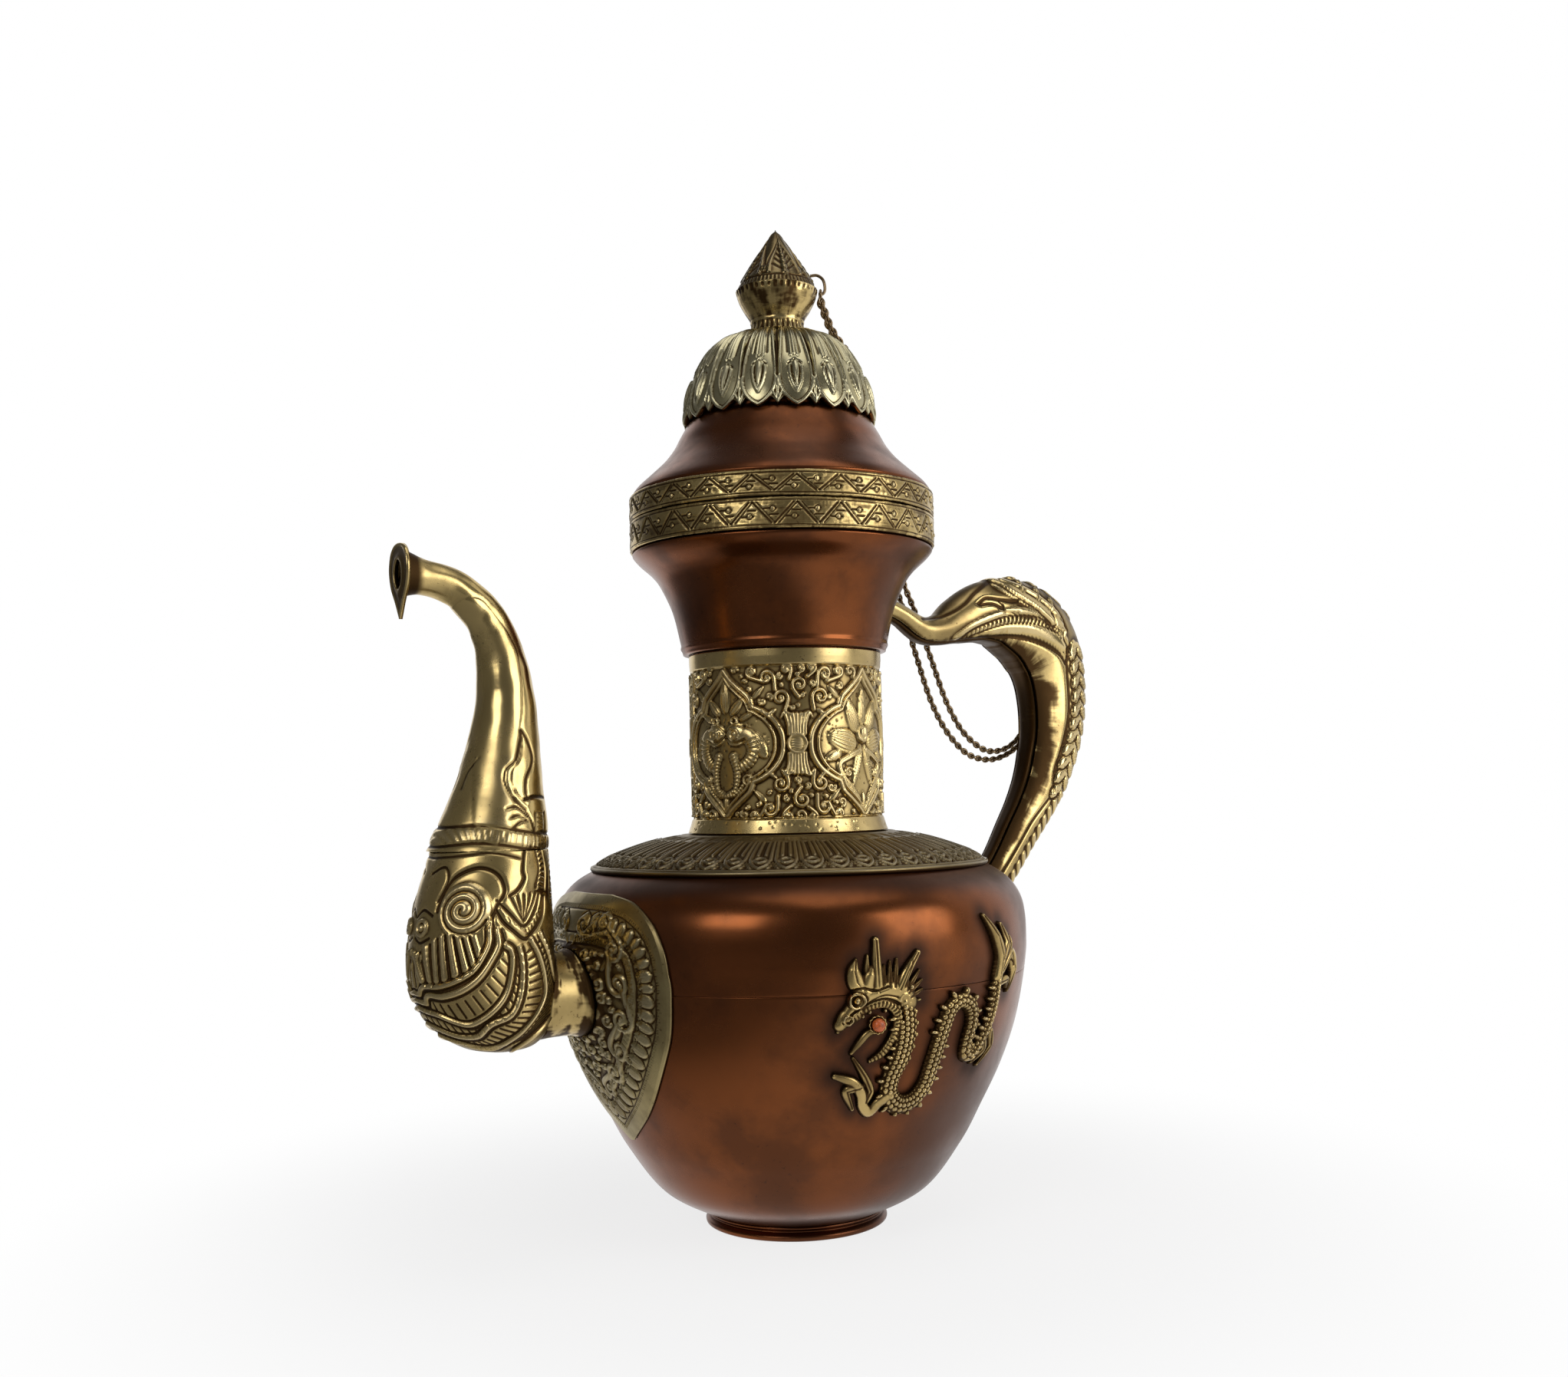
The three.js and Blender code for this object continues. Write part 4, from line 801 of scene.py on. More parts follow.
class PITCHER_OT_belly(Operator):
    """Raise the two copper halves of the belly and the foot ring"""
    bl_idname = "pitcher.belly"
    bl_label = "Copper belly and foot"

    def execute(self, context):
        line = even(BELLY_LINE, 220)
        seam = float(belly_radius(SEAM_HEIGHT))
        lower = line[line[:, 1] < SEAM_HEIGHT - 0.6]
        lower = np.vstack([lower, [[seam, SEAM_HEIGHT - 0.2], [seam - 0.06, SEAM_HEIGHT - 0.04]]])
        inner = shell_line(lower[:-1], COPPER_WALL)
        inner = np.vstack([[0.3, FOOT_HEIGHT + SEAT + COPPER_WALL], inner[inner[:, 1] > 7.5]])
        outer = np.vstack([[0.3, FOOT_HEIGHT + SEAT], [20, FOOT_HEIGHT + SEAT], lower])
        lower_half = spun("belly_lower_half", outer, 256, inner, shade=copper_tarnish_and_shade(outer, 256))
        fit(lower_half, "polished_copper", "belly_lower")
        upper = line[line[:, 1] > SEAM_HEIGHT + 0.6]
        upper = np.vstack([[[seam - 0.06, SEAM_HEIGHT + 0.04], [seam, SEAM_HEIGHT + 0.2]], upper])
        upper_half = spun(
            "belly_upper_half", upper, 256, shell_line(upper, COPPER_WALL), shade=copper_tarnish_and_shade(upper, 256))
        fit(upper_half, "polished_copper", "belly_upper")
        foot = curve([
            [FOOT_RADIUS - 0.7, 0], [FOOT_RADIUS + 0.1, 0.5], [FOOT_RADIUS + 0.2, 1.6],
            [FOOT_RADIUS - 0.5, 2.5], [FOOT_RADIUS - 1.3, 3], [FOOT_RADIUS - 1.1, 3.6],
            [FOOT_RADIUS - 0.5, 4.2], [FOOT_RADIUS - 0.6, FOOT_HEIGHT]], 6)
        inside = [[28.6, 0], [28.7, 2.6], [29.2, FOOT_HEIGHT]]
        fit(spun("foot", foot, 192, inside), "polished_copper", "foot_ring")
        self.sleeve()
        return {"FINISHED"}

    def sleeve(self):
        """The sleeve inside the lid that centres it in the mouth."""
        low, top = MOUTH_TOP + LID_GAP - FLANGE_DEPTH, LID_BAND_TOP - 1.5
        radius = MOUTH_RADIUS - COPPER_WALL - FLANGE_PLAY
        seat = MOUTH_RADIUS - COPPER_WALL - SEAT - 0.1
        line = even([
            [radius - 0.5, low], [radius, low + 1], [radius, low + FLANGE_DEPTH + 0.5],
            [seat, low + FLANGE_DEPTH + 1.5], [seat, top]], 60)
        bore = [[radius - BRASS_WALL, low + 0.6], [radius - BRASS_WALL, low + 9], [radius - BRASS_WALL, top]]
        scuffs = blotches(6, (60, 192), 2, 12)
        obj = spun("lid_sleeve", line, 192, bore, None, 0.45 + 1.2 * scuffs.clip(-0.2, 0.2))
        fit(obj, "dull_brass", "lid_flange", "lid")


class PITCHER_OT_shoulder(Operator):
    """Chase the petalled collar on the shoulder"""
    bl_idname = "pitcher.shoulder"
    bl_label = "Shoulder collar"

    def execute(self, context):
        petals = context.scene.pitcher_sizes.collar_petals
        columns = 16
        line = even(BELLY_LINE, 500)
        line = line[(line[:, 1] > BELLY_WIDEST) & (line[:, 0] < COLLAR_RADIUS)]
        line = even(line, 110)
        outer = inset(line, -SEAT - COLLAR_WALL)
        width = FULL_TURN * 58 / petals
        across = np.linspace(-0.5, 0.5, columns, endpoint=False) * width
        run = run_along(outer)[:, None]
        leaf = Chased(across[None], run, width)
        half = width / 2
        for out, high in ((0.7, 0.55), (2.1, 0.4)):
            leaf.ridge([[-half, out], [half, out]], 0.45, high)
        leaf.ridge([[-half, 25.5], [half, 25.5]], 0.4, 0.35)
        leaf.ridge([[-half, 34.5], [half, 34.5]], 0.5, 0.35)
        edge = curve([[3.2, 25], [3, 12], [2.9, 8.2], [1.9, 5], [0, 3]], 5)
        for flank in leaf.halves():
            flank.ridge(edge, 0.6, 0.75)
            flank.cut(edge * [1.27, 1] + [0, -0.5], 0.8, 0.45)
            flank.ridge([[1.3, 24.5], [1.2, 12]], 0.5, 0.55)
            flank.cut([[0.5, 24.5], [0.45, 11]], 0.7, 0.4)
            flank.ridge([[half, 6.8], [0.6 * half, 3.1]], 0.45, 0.6)
        leaf.ring(0, 8, 1.55, 0.55, 0.8)
        leaf.boss(0, 30, 1.8, 3.4, 0.45, point=0.6)
        leaf.cut([[0, 27], [0, 33]], 0.7, 0.35)
        rise = np.tile(leaf.beaten, (1, petals))
        shade = shading(rise, 3, 0.45)
        seat = inset(line, -SEAT)
        inner = np.vstack([seat[::8], seat[-1:]])
        obj = spun("petal_collar", outer, columns * petals, inner, rise, shade)
        fit(obj, "dull_brass", "shoulder_collar")
        return {"FINISHED"}


def cartouche():
    """Half outline of an ogee panel, from its top point to its bottom point."""
    lobes = [
        [[0, 25.4], [2.6, 22.2], [6.4, 18.9], [9.7, 16], [11.2, 12.6]], [[11.2, 12.6], [14.2, 11.4],
        [18.4, 8.4], [21.2, 4.2], [21.9, 0], [21.2, -4.2], [18.4, -8.4], [14.2, -11.4], [11.2, -12.6]],
        [[11.2, -12.6], [9.7, -16], [6.4, -18.9], [2.6, -22.2], [0, -25.2]]]
    return [curve(lobe, 5) for lobe in lobes]


def draw_panel(sheet):
    for wide, tall, half, high in ((1, 1, 1.05, 1.35), (0.875, 0.905, 0.6, 1)):
        for flank in sheet.halves():
            for lobe in cartouche():
                flank.ridge(lobe * [wide, tall], half, high)


def draw_fish(sheet):
    """Two fish that face each other, with leaves above and crossed tails below."""
    body = curve([[5.4, 3.4], [9.6, 2.6], [11.2, -1.6], [9.6, -5.4], [6.4, -7.6]], 6)
    tail = curve([[3.4, -4], [4.8, -8.6], [4.6, -13], [3.4, -16.4]], 6)
    crossed = curve([[-3.6, -15.6], [0.4, -17.2], [4.4, -16.4], [7.4, -13.4]], 6)
    for flank in sheet.halves():
        flank.ridge(body, 3.1, 1.25, 0.35)
        flank.rungs(body[8:], 2.2, 1.3, 0.45)
        flank.boss(4.6, 3.6, 4.5, 4.1, 1.5)
        flank.cut(curve([[0.3, 2.9], [2.6, 1.2], [5.2, 0.6], [8.4, 1.8]], 5), 1, 0.8)
        flank.cut(curve([[0.6, 4.4], [2.4, 6], [5.2, 6.9], [8, 6]], 5), 0.9, 0.6)
        flank.ring(4.5, 3.7, 1.7, 0.5, 1.95)
        flank.boss(4.5, 3.7, 0.8, 0.8, 2)
        flank.ring(4.2, 8.2, 1.1, 0.45, 1.3)
        flank.boss(13.2, -0.4, 3.2, 5.2, 1.2, 2.6, 0.3, 6)
        flank.ridge(tail, 1.8, 1.25, 0.45)
        flank.rungs(tail, 1.5, 1.2, 0.45)
        flank.boss(5.2, 13, 2.1, 4, 1.15, 0.75, 0.45, 3)
        flank.boss(9, 9.6, 1.5, 3.2, 1, 1.15, 0.5, 3)
        flank.ridge(crossed, 1.2, 1.2, 0.4)
        flank.rungs(crossed, 1, 1.1, 0.4)
    for side in (-1, 1):
        sheet.ridge(spiral(side * 9, -12.2, 2, 1.3, side, 1), 0.6, 1)
    sheet.boss(0, 16.2, 2.8, 5.6, 1.35, 0, 0.35, 5)
    sheet.boss(0, -20, 1.6, 2.8, 1.1, math.pi, 0.4, 3)


LOTUS_PETALS = (
    (-9.4, 1.0, 5.0, 6.4, -1.3), (9.2, 1.0, 5.0, 6.4, 1.3), (-5.2, 9.4, 3.4, 6.2, -0.4),
    (5.4, 9.2, 3.4, 6.2, 0.45), (0, 12.4, 2.8, 6.6, 0.0), (-13.6, -4.4, 2.2, 3.6, -1.9),
    (13.4, -4.4, 2.2, 3.6, 1.9))


def draw_lotus(sheet):
    """An opened lotus with a round bud, ribbed petals and long leaves."""
    for x, z, wide, long, turn in LOTUS_PETALS:
        sheet.boss(x, z, wide, long, 1.3, turn, 0.3, 7)
    sheet.boss(0, 3.2, 3.3, 3.3, 1.8)
    sheet.cut([[0, 0.4], [-0.4, 3.4], [0, 6]], 0.8, 0.5)
    sheet.cut(spiral(0, 3.2, 3.7, 1, 1)[:16], 0.8, 0.6)
    leaf = curve([[1.8, -2.4], [7, -4.6], [11.2, -7], [9.6, -11.4], [6, -15], [2.6, -19]], 5)
    for flank in sheet.halves():
        flank.boss(3.2, -7.6, 2.5, 7.6, 1.2, 2.85, 0.45, 5)
        flank.ridge(leaf, 1.2, 1.2, 0.3)
        flank.cut(leaf, 0.6, 0.4)
    for side in (-1, 1):
        sheet.ridge(spiral(side * 7.4, -10, 1.8, 1.3, -side, 0.6), 0.55, 1)
    sheet.boss(0, -19.4, 1.5, 3, 1.1, math.pi, 0.5, 3)


SCROLLS_ABOVE = (
    (-10.2, 22.3, 2.5, 1), (-5.5, 15.4, 2.7, 1), (1.1, 19.8, 2.6, -1), (8.4, 15.8, 2.9, -1),
    (10.2, 23.4, 2.4, -1), (15.4, 24.4, 1.9, 1), (-15.6, 24.4, 1.9, -1), (5.4, 25.6, 1.6, 1),
    (-3.4, 25.0, 1.8, 1))
SCROLLS_BELOW = (
    (-5.9, -13.4, 2.7, -1), (8.0, -13.2, 2.7, 1), (1.4, -18.8, 2.7, 1), (-9.8, -21.6, 2.6, -1),
    (9.2, -21.2, 2.5, 1), (14.8, -23.4, 1.9, 1), (4.9, -24.6, 1.6, -1), (-3.6, -24.2, 1.8, 1),
    (-15.2, -23.8, 1.9, -1))


def draw_clasp(sheet):
    """The knot between two panels: a hatched bead, flared ribbed leaves and rolling scrolls."""
    sheet.boss(0, 0, 3.6, 3.6, 1.35)
    sheet.ring(0, 0, 3.1, 0.6, 1.6)
    for k in range(-2, 3):
        sheet.cut([[-2, 0.8 * k], [2, 0.8 * k]], 0.36, 0.35)
    for up, scrolls in ((1, SCROLLS_ABOVE), (-1, SCROLLS_BELOW)):
        for k in range(-3, 4):
            rib = curve([[0.95 * k, up * 3.2], [k, up * 6.4], [1.35 * k, up * 10]], 5)
            sheet.ridge(rib, 0.68, 1.3)
        curl = curve([[1.4, up * 9.4], [4.2, up * 10.6], [5.4, up * 8.8]], 5)
        for flank in sheet.halves():
            flank.ridge(curl, 0.75, 1.3, 0.4)
            flank.boss(13.4, up * 17.4, 1.4, 3, 1.1, up * -0.8, 0.5, 3)
            flank.boss(9.2, up * 10.2, 1.2, 2.6, 1.1, up * 2.2, 0.5)
        for x, z, radius, hand in scrolls:
            root = (0.72 * x, z - up * (radius + 1.5))
            sheet.ridge(tendril(root, (x, z), radius, 1.45, hand), 0.85, 1.25, 0.3)
            sheet.boss(x, z, 0.8, 0.8, 1.4)


def fill_ground(sheet, chance, count, free, small, large, area):
    """Packs curled commas into the ground that is still bare."""
    for _ in range(count):
        x, z = chance.uniform(*area[0]), chance.uniform(*area[1])
        radius, hand, start = chance.uniform(small, large), chance.choice([-1, 1]), chance.uniform(0, 6)
        spots, _, _ = sheet.disc(x, z, 0.8 * radius + 0.3)
        if free(x, z) and sheet.rise[spots].max(initial=0) < 0.3:
            sheet.ridge(spiral(x, z, radius, 1.2, hand, start), 0.35 + 0.2 * radius, 1.1, 0.3)


class PITCHER_OT_sleeve(Operator):
    """Chase the neck sleeve with fish, lotuses, clasps and scrolls"""
    bl_idname = "pitcher.sleeve"
    bl_label = "Neck sleeve"

    def execute(self, context):
        low = SHOULDER_TOP + SEAT + COLLAR_WALL + SEAT
        ground = SLEEVE_RADIUS - 0.95
        flare = curve([
            [SLEEVE_RADIUS + 1.5, low], [SLEEVE_RADIUS + 0.8, low + 2], [SLEEVE_RADIUS, low + 4.6]], 6)
        line = even([
            *flare, [ground, low + 5.2], [ground, SLEEVE_TOP - 6], [SLEEVE_RADIUS - 0.1, SLEEVE_TOP - 5.2],
            [SLEEVE_RADIUS + 0.1, SLEEVE_TOP - 2.6], [SLEEVE_RADIUS + 0.1, SLEEVE_TOP]], 226)
        period = math.pi * 34
        columns = 384
        across = np.arange(columns) * (period / columns)
        sheet = Chased(across[None], line[:, 1:], period)
        middle = 167.6
        for quarter, motifs in enumerate((
                (draw_panel, draw_fish), (draw_clasp,), (draw_panel, draw_lotus), (draw_clasp,))):
            for draw in motifs:
                draw(sheet.placed(quarter * period / 4, middle))
        outline = np.vstack(cartouche())

        def between_panels(x, z):
            width = np.interp(z - middle, outline[::-1, 1], outline[::-1, 0])
            return all(
                abs((x - at + period / 2) % period - period / 2) > width + 1.6 for at in (0, period / 2))

        chance = np.random.default_rng(7)
        for count, small, large in ((700, 1.9, 2.6), (1500, 1.1, 1.7), (1500, 0.6, 1.0)):
            fill_ground(sheet, chance, count, between_panels, small, large, ((0, period), (143.5, 193)))
        for _ in range(900):
            spot = (chance.uniform(0, period), chance.uniform(low + 0.3, SLEEVE_TOP - 7))
            if spot[1] < low + 4.4 or not between_panels(*spot):
                sheet.cut([spot, spot], chance.uniform(0.4, 0.9), chance.uniform(0.15, 0.35))
        relief = sheet.beaten * (context.scene.pitcher_sizes.sleeve_relief / MM / 1.4)
        margin = np.minimum(line[:, 1:] - low - 4.8, SLEEVE_TOP - 5.4 - line[:, 1:])
        fade = np.clip(margin / 0.8, 0, 1)
        beaten = np.where(relief > 0, relief * fade, relief)
        rise = np.tile(beaten, (1, 2))
        edge = (1 - fade) * 0.85
        shade = np.clip(shading(rise + edge, 2, 0.75, 0.35), 0, 1)
        start = math.radians(198.4)
        shift = int(round(start / FULL_TURN * 2 * columns))
        rise, shade = np.roll(rise, shift, 1), np.roll(shade, shift, 1)
        bore = [[NECK_RADIUS + SEAT, low], [NECK_RADIUS + SEAT, 168], [NECK_RADIUS + SEAT, SLEEVE_TOP]]
        obj = spun("chased_sleeve", line, 2 * columns, bore, rise, shade)
        fit(obj, "chased_brass", "neck_sleeve")
        return {"FINISHED"}


class PITCHER_OT_funnel(Operator):
    """Raise the copper funnel of the mouth"""
    bl_idname = "pitcher.funnel"
    bl_label = "Mouth funnel"

    def execute(self, context):
        line = even(FUNNEL_LINE, 130)
        foot = SLEEVE_TOP + 0.5
        line[:, 0] += 0.45 * np.exp(-((line[:, 1] - foot - 2.2) / 0.8) ** 2)
        line = np.vstack([[NECK_RADIUS + 2.2, foot], line])
        inner = shell_line(line[6:], COPPER_WALL)
        bore = NECK_RADIUS + SEAT
        inner = np.vstack([[bore, foot], [bore, foot + 3], [NECK_RADIUS + 1.6, foot + 3.4], inner[2:]])
        fit(spun("funnel", line, 224, inner), "lid_copper", "mouth_funnel")
        return {"FINISHED"}


def engraved_band(name, low, high, repeats, seed):
    """A rim band with triangles, small circles and dashes between two lines."""
    bore = MOUTH_RADIUS + SEAT
    out = bore + BAND_WALL
    line = even([[out - 0.35, low], [out, low + 0.5], [out, high - 0.5], [out - 0.35, high]], 36)
    period = FULL_TURN * out / repeats
    columns = 44
    across = np.arange(columns) * (period / columns)
    sheet = Chased(across[None], line[:, 1:], period)
    bottom, top = low + 1.7, high - 1.7
    for z in (low + 1.0, high - 1.0):
        sheet.groove([[0, z], [period, z]], 0.3, 0.28)
    middle = (bottom + top) / 2
    for a, b, ends in ((0.0, 0.42, (bottom, top)), (0.5, 0.92, (top, bottom))):
        sheet.groove([[a * period, ends[0]], [b * period, ends[1]]], 0.5, 0.5)
        sheet.groove([[a * period + 1.4, ends[0]], [b * period + 1.1, ends[1]]], 0.35, 0.4)
        for step in (0.3, 0.6):
            start, level = (a + step * (b - a)) * period + 2, ends[0] * (1 - step) + ends[1] * step
            sheet.groove([[start, level], [start + 4.5 - 3 * step, level]], 0.4, 0.45)
    for x, z in ((0.43 * period, middle - 1.2), (0.95 * period, middle + 1.2)):
        sheet.boss(x, z, 0.75, 0.75, 0.22)
        circle = [[x + 0.95 * math.cos(t), z + 0.95 * math.sin(t)] for t in np.linspace(0, FULL_TURN, 12)]
        sheet.groove(circle, 0.26, 0.28)
    rise = np.tile(sheet.rise, (1, repeats))
    wear = 5 * blotches(seed, rise.shape, 5, 14)
    rise = rise * np.clip(0.9 + wear, 0.3, 1.2) + 0.3 * wear.clip(-0.3, 0.3)
    shade = shading(rise, 2, 0.34) - 0.08 + 0.12 * wear.clip(-0.6, 0.6)
    return spun(name, line, columns * repeats, [[bore, low], [bore, high]], rise, shade)


class PITCHER_OT_bands(Operator):
    """Engrave the two brass bands where lid and mouth meet"""
    bl_idname = "pitcher.bands"
    bl_label = "Rim bands"

    def execute(self, context):
        repeats = context.scene.pitcher_sizes.band_repeats
        lower = engraved_band("mouth_rim_band", BAND_BOTTOM, MOUTH_TOP, repeats, 3)
        fit(lower, "band_brass", "mouth_band")
        upper = engraved_band("lid_rim_band", MOUTH_TOP + LID_GAP, LID_BAND_TOP, repeats, 4)
        fit(upper, "band_brass", "lid_band", "lid")
        return {"FINISHED"}


# Spout

BULB_RINGS = [
    [71.4, 110.4, 5], [73, 111.2, 11], [77, 112.8, 16.4], [83, 114.8, 20.2], [90, 116, 22.1],
    [98, 116.6, 22.8], [107, 116.4, 22.6], [117, 115.6, 21.6], [126, 114.5, 20.2], [BULB_JOINT, 112.8, 18.2]]
HEAD_FORMS = (
    [[8, 136], [24, 138], [36, 134]], [[17, 117], [22, 118]], [[14, 92], [28, 100], [33, 108]], [[34, 84],
    [47, 92], [46, 104]])
JAW_FOLDS = (
    [[-3.8, 91.7], [3.3, 90.7], [6.2, 93.3], [12.4, 93.6], [18.2, 95.3], [23.6, 98.5], [26.8, 103.1],
    [28.7, 108.3], [28.1, 114.8]], [[-0.4, 88.8], [6.2, 88.1], [8.1, 90.7], [13.9, 90.7], [20.3, 92.7],
    [25.5, 96.6], [29.4, 102.4], [31.4, 107], [30.7, 111.5]], [[-3, 87], [3, 85.6], [9.1, 84.6],
    [18.2, 81.6], [24.9, 83.6], [30.7, 88.1], [34.1, 93.3], [35.6, 100.5], [34.9, 105.7], [32.8, 107.6]],
    [[-3, 82], [4, 80], [12, 77.6], [20.3, 77.7], [26.8, 81.6], [34.1, 84.9], [37.8, 91.4], [39, 97.9],
    [38.6, 103.1], [37.8, 105.7]], [[0, 77], [9, 75], [18, 73.2], [26.1, 73.6], [35.6, 77.7], [42.9, 83.6],
    [47, 90.1], [47, 96.6], [44.8, 103.1], [41.9, 108.3]], [[34.1, 71.9], [45.9, 77.1], [56.7, 83.6],
    [59.3, 90.1], [53.4, 96.6], [49.7, 103.1], [45.9, 109.6]])
SNOUT_FAN = (
    [[22.3, 111.8], [24.9, 103.7]], [[20.3, 111.2], [23.6, 100.5]], [[18.2, 110.9], [21.6, 98.5]],
    [[15.8, 110.2], [18.2, 97.2]], [[13.2, 109.6], [14.7, 96.6]], [[10.8, 108.3], [12, 95.3]], [[7.2, 106.3],
    [9.5, 94.6]], [[2.7, 103.1], [6.2, 94.6]], [[-0.4, 100.5], [-2.7, 94]])


MAKARA_CUTS = (
    ([[-2, 133.2], [9.9, 133.6], [15.4, 134], [26, 134.6], [37.8, 132.4]], 1.0, 0.5), ([[10.4, 117.6],
    [11.4, 122.6], [14.6, 127.6], [20.9, 130.2], [26.1, 129.7], [30.1, 127.1], [31.8, 122.8], [29.9, 119.4],
    [28.7, 116.1], [26.8, 112.6]], 1.6, 0.9), ([[29.4, 117.4], [31.4, 114.1], [34.1, 111.5], [38.6, 108.3],
    [41.9, 110.2], [47, 115.1], [48, 120.4]], 1.5, 0.95), ([[29.4, 120.4], [33.4, 116.4], [38.6, 112.2],
    [43, 116.4], [45, 121]], 1.2, 0.8), ([[34.9, 142.1], [38.6, 138.2], [37.8, 133.6], [37.8, 129.1],
    [38.6, 126.5], [36.3, 123.2], [33.4, 121.6]], 1.3, 0.8), ([[41.9, 142.1], [42.9, 138.2], [44.3, 134.3],
    [45.9, 129.1], [43.8, 123.9]], 1.0, 0.75), ([[45.6, 142.1], [46.6, 138.2], [48, 134.3], [49.8, 129.1],
    [48.6, 122.9]], 1.0, 0.75), ([[52, 141], [55, 131], [53, 121], [57, 111]], 1.2, 0.7), ([[59, 139],
    [61, 129], [59, 118], [62.5, 107]], 1.2, 0.7), ([[3.5, 128.6], [9.6, 130.6], [12.2, 126.6],
    [9.8, 120.2]], 1.1, 0.7), ([[0.6, 115.4], [4, 117.6], [8.6, 116]], 1.1, 0.75), ([[1, 109], [4.4, 107.6],
    [8.4, 109.2]], 1, 0.6))


def draw_makara(sheet):
    """The water beast's head: coiled snout, ribbed cheek, folded jaw, leaf ear and hatched strips."""
    sheet.cut_all(MAKARA_CUTS)
    sheet.boss(19.6, 117.7, 8.4, 8.4, 1.3)
    sheet.cut(spiral(19.6, 117.7, 7.6, 2.5, -1, -0.4), 1.45, 1.0)
    for line in SNOUT_FAN:
        sheet.ridge(line, 1.0, 0.55, 0.1)
    for first, second in zip(SNOUT_FAN[:-1], SNOUT_FAN[1:]):
        sheet.cut((np.array(first) + second) / 2, 0.95, 0.75)
    folds = [curve(line, 6) for line in JAW_FOLDS]
    for k, line in enumerate(folds):
        sheet.ridge(line - 0.9 * outward(line), 1.2, 0.75)
        sheet.cut(line, 1.2, 0.9)
        if k != 1:
            sheet.cut(line - 2.1 * outward(line), 0.9, 0.65)
    for k, (first, second) in enumerate(zip(folds[1:-1], folds[2:])):
        ends = zip(even(first, 17 + 5 * k), even(second, 17 + 5 * k))
        for a, b in list(ends)[1:-1]:
            sheet.cut([a + 0.18 * (b - a), a + 0.66 * (b - a)], 0.75, 0.55)
    for k in range(5):
        sheet.cut([[38.6 + 0.3 * k - 0.6, 113.4 + 0.5 * abs(k - 2)], [33.4 + 2.6 * k, 121.6]], 0.9, 0.6)
    for k in range(9):
        x, z = (33.2 + 2 * k, 113.6 - 1.1 * k) if k < 4 else (39.4 + 1.2 * (k - 3), 108.6 + 1.3 * (k - 3))
        sheet.cut([[x - 0.5, z + 1.8], [x + 0.3, z + 0.2]], 0.5, 0.4)
    sheet.rungs(curve([[43.8, 141], [44.8, 138], [46.2, 134.3], [47.8, 129.1], [46.4, 124]], 5), 1.3, 1.5)
    sheet.rungs(curve([[55.5, 140], [58, 130], [56, 120], [59.6, 109]], 5), 1.8, 1.8)
    sheet.ring(4.9, 112.2, 2.2, 0.6, 1.0)
    sheet.boss(4.9, 112.2, 1.2, 1.2, 1.2)
    for k in range(4):
        sheet.boss(0.4 + 1.7 * k, 104.6 - 0.5 * k, 0.7, 1.3, 0.9, math.pi, 0.6)


def mirrored_arc(columns, scale):
    """Angles round a shell that starts at +X, and the distance of each from the -X side."""
    turn = around(columns)
    return turn, np.abs(math.pi - turn) * scale


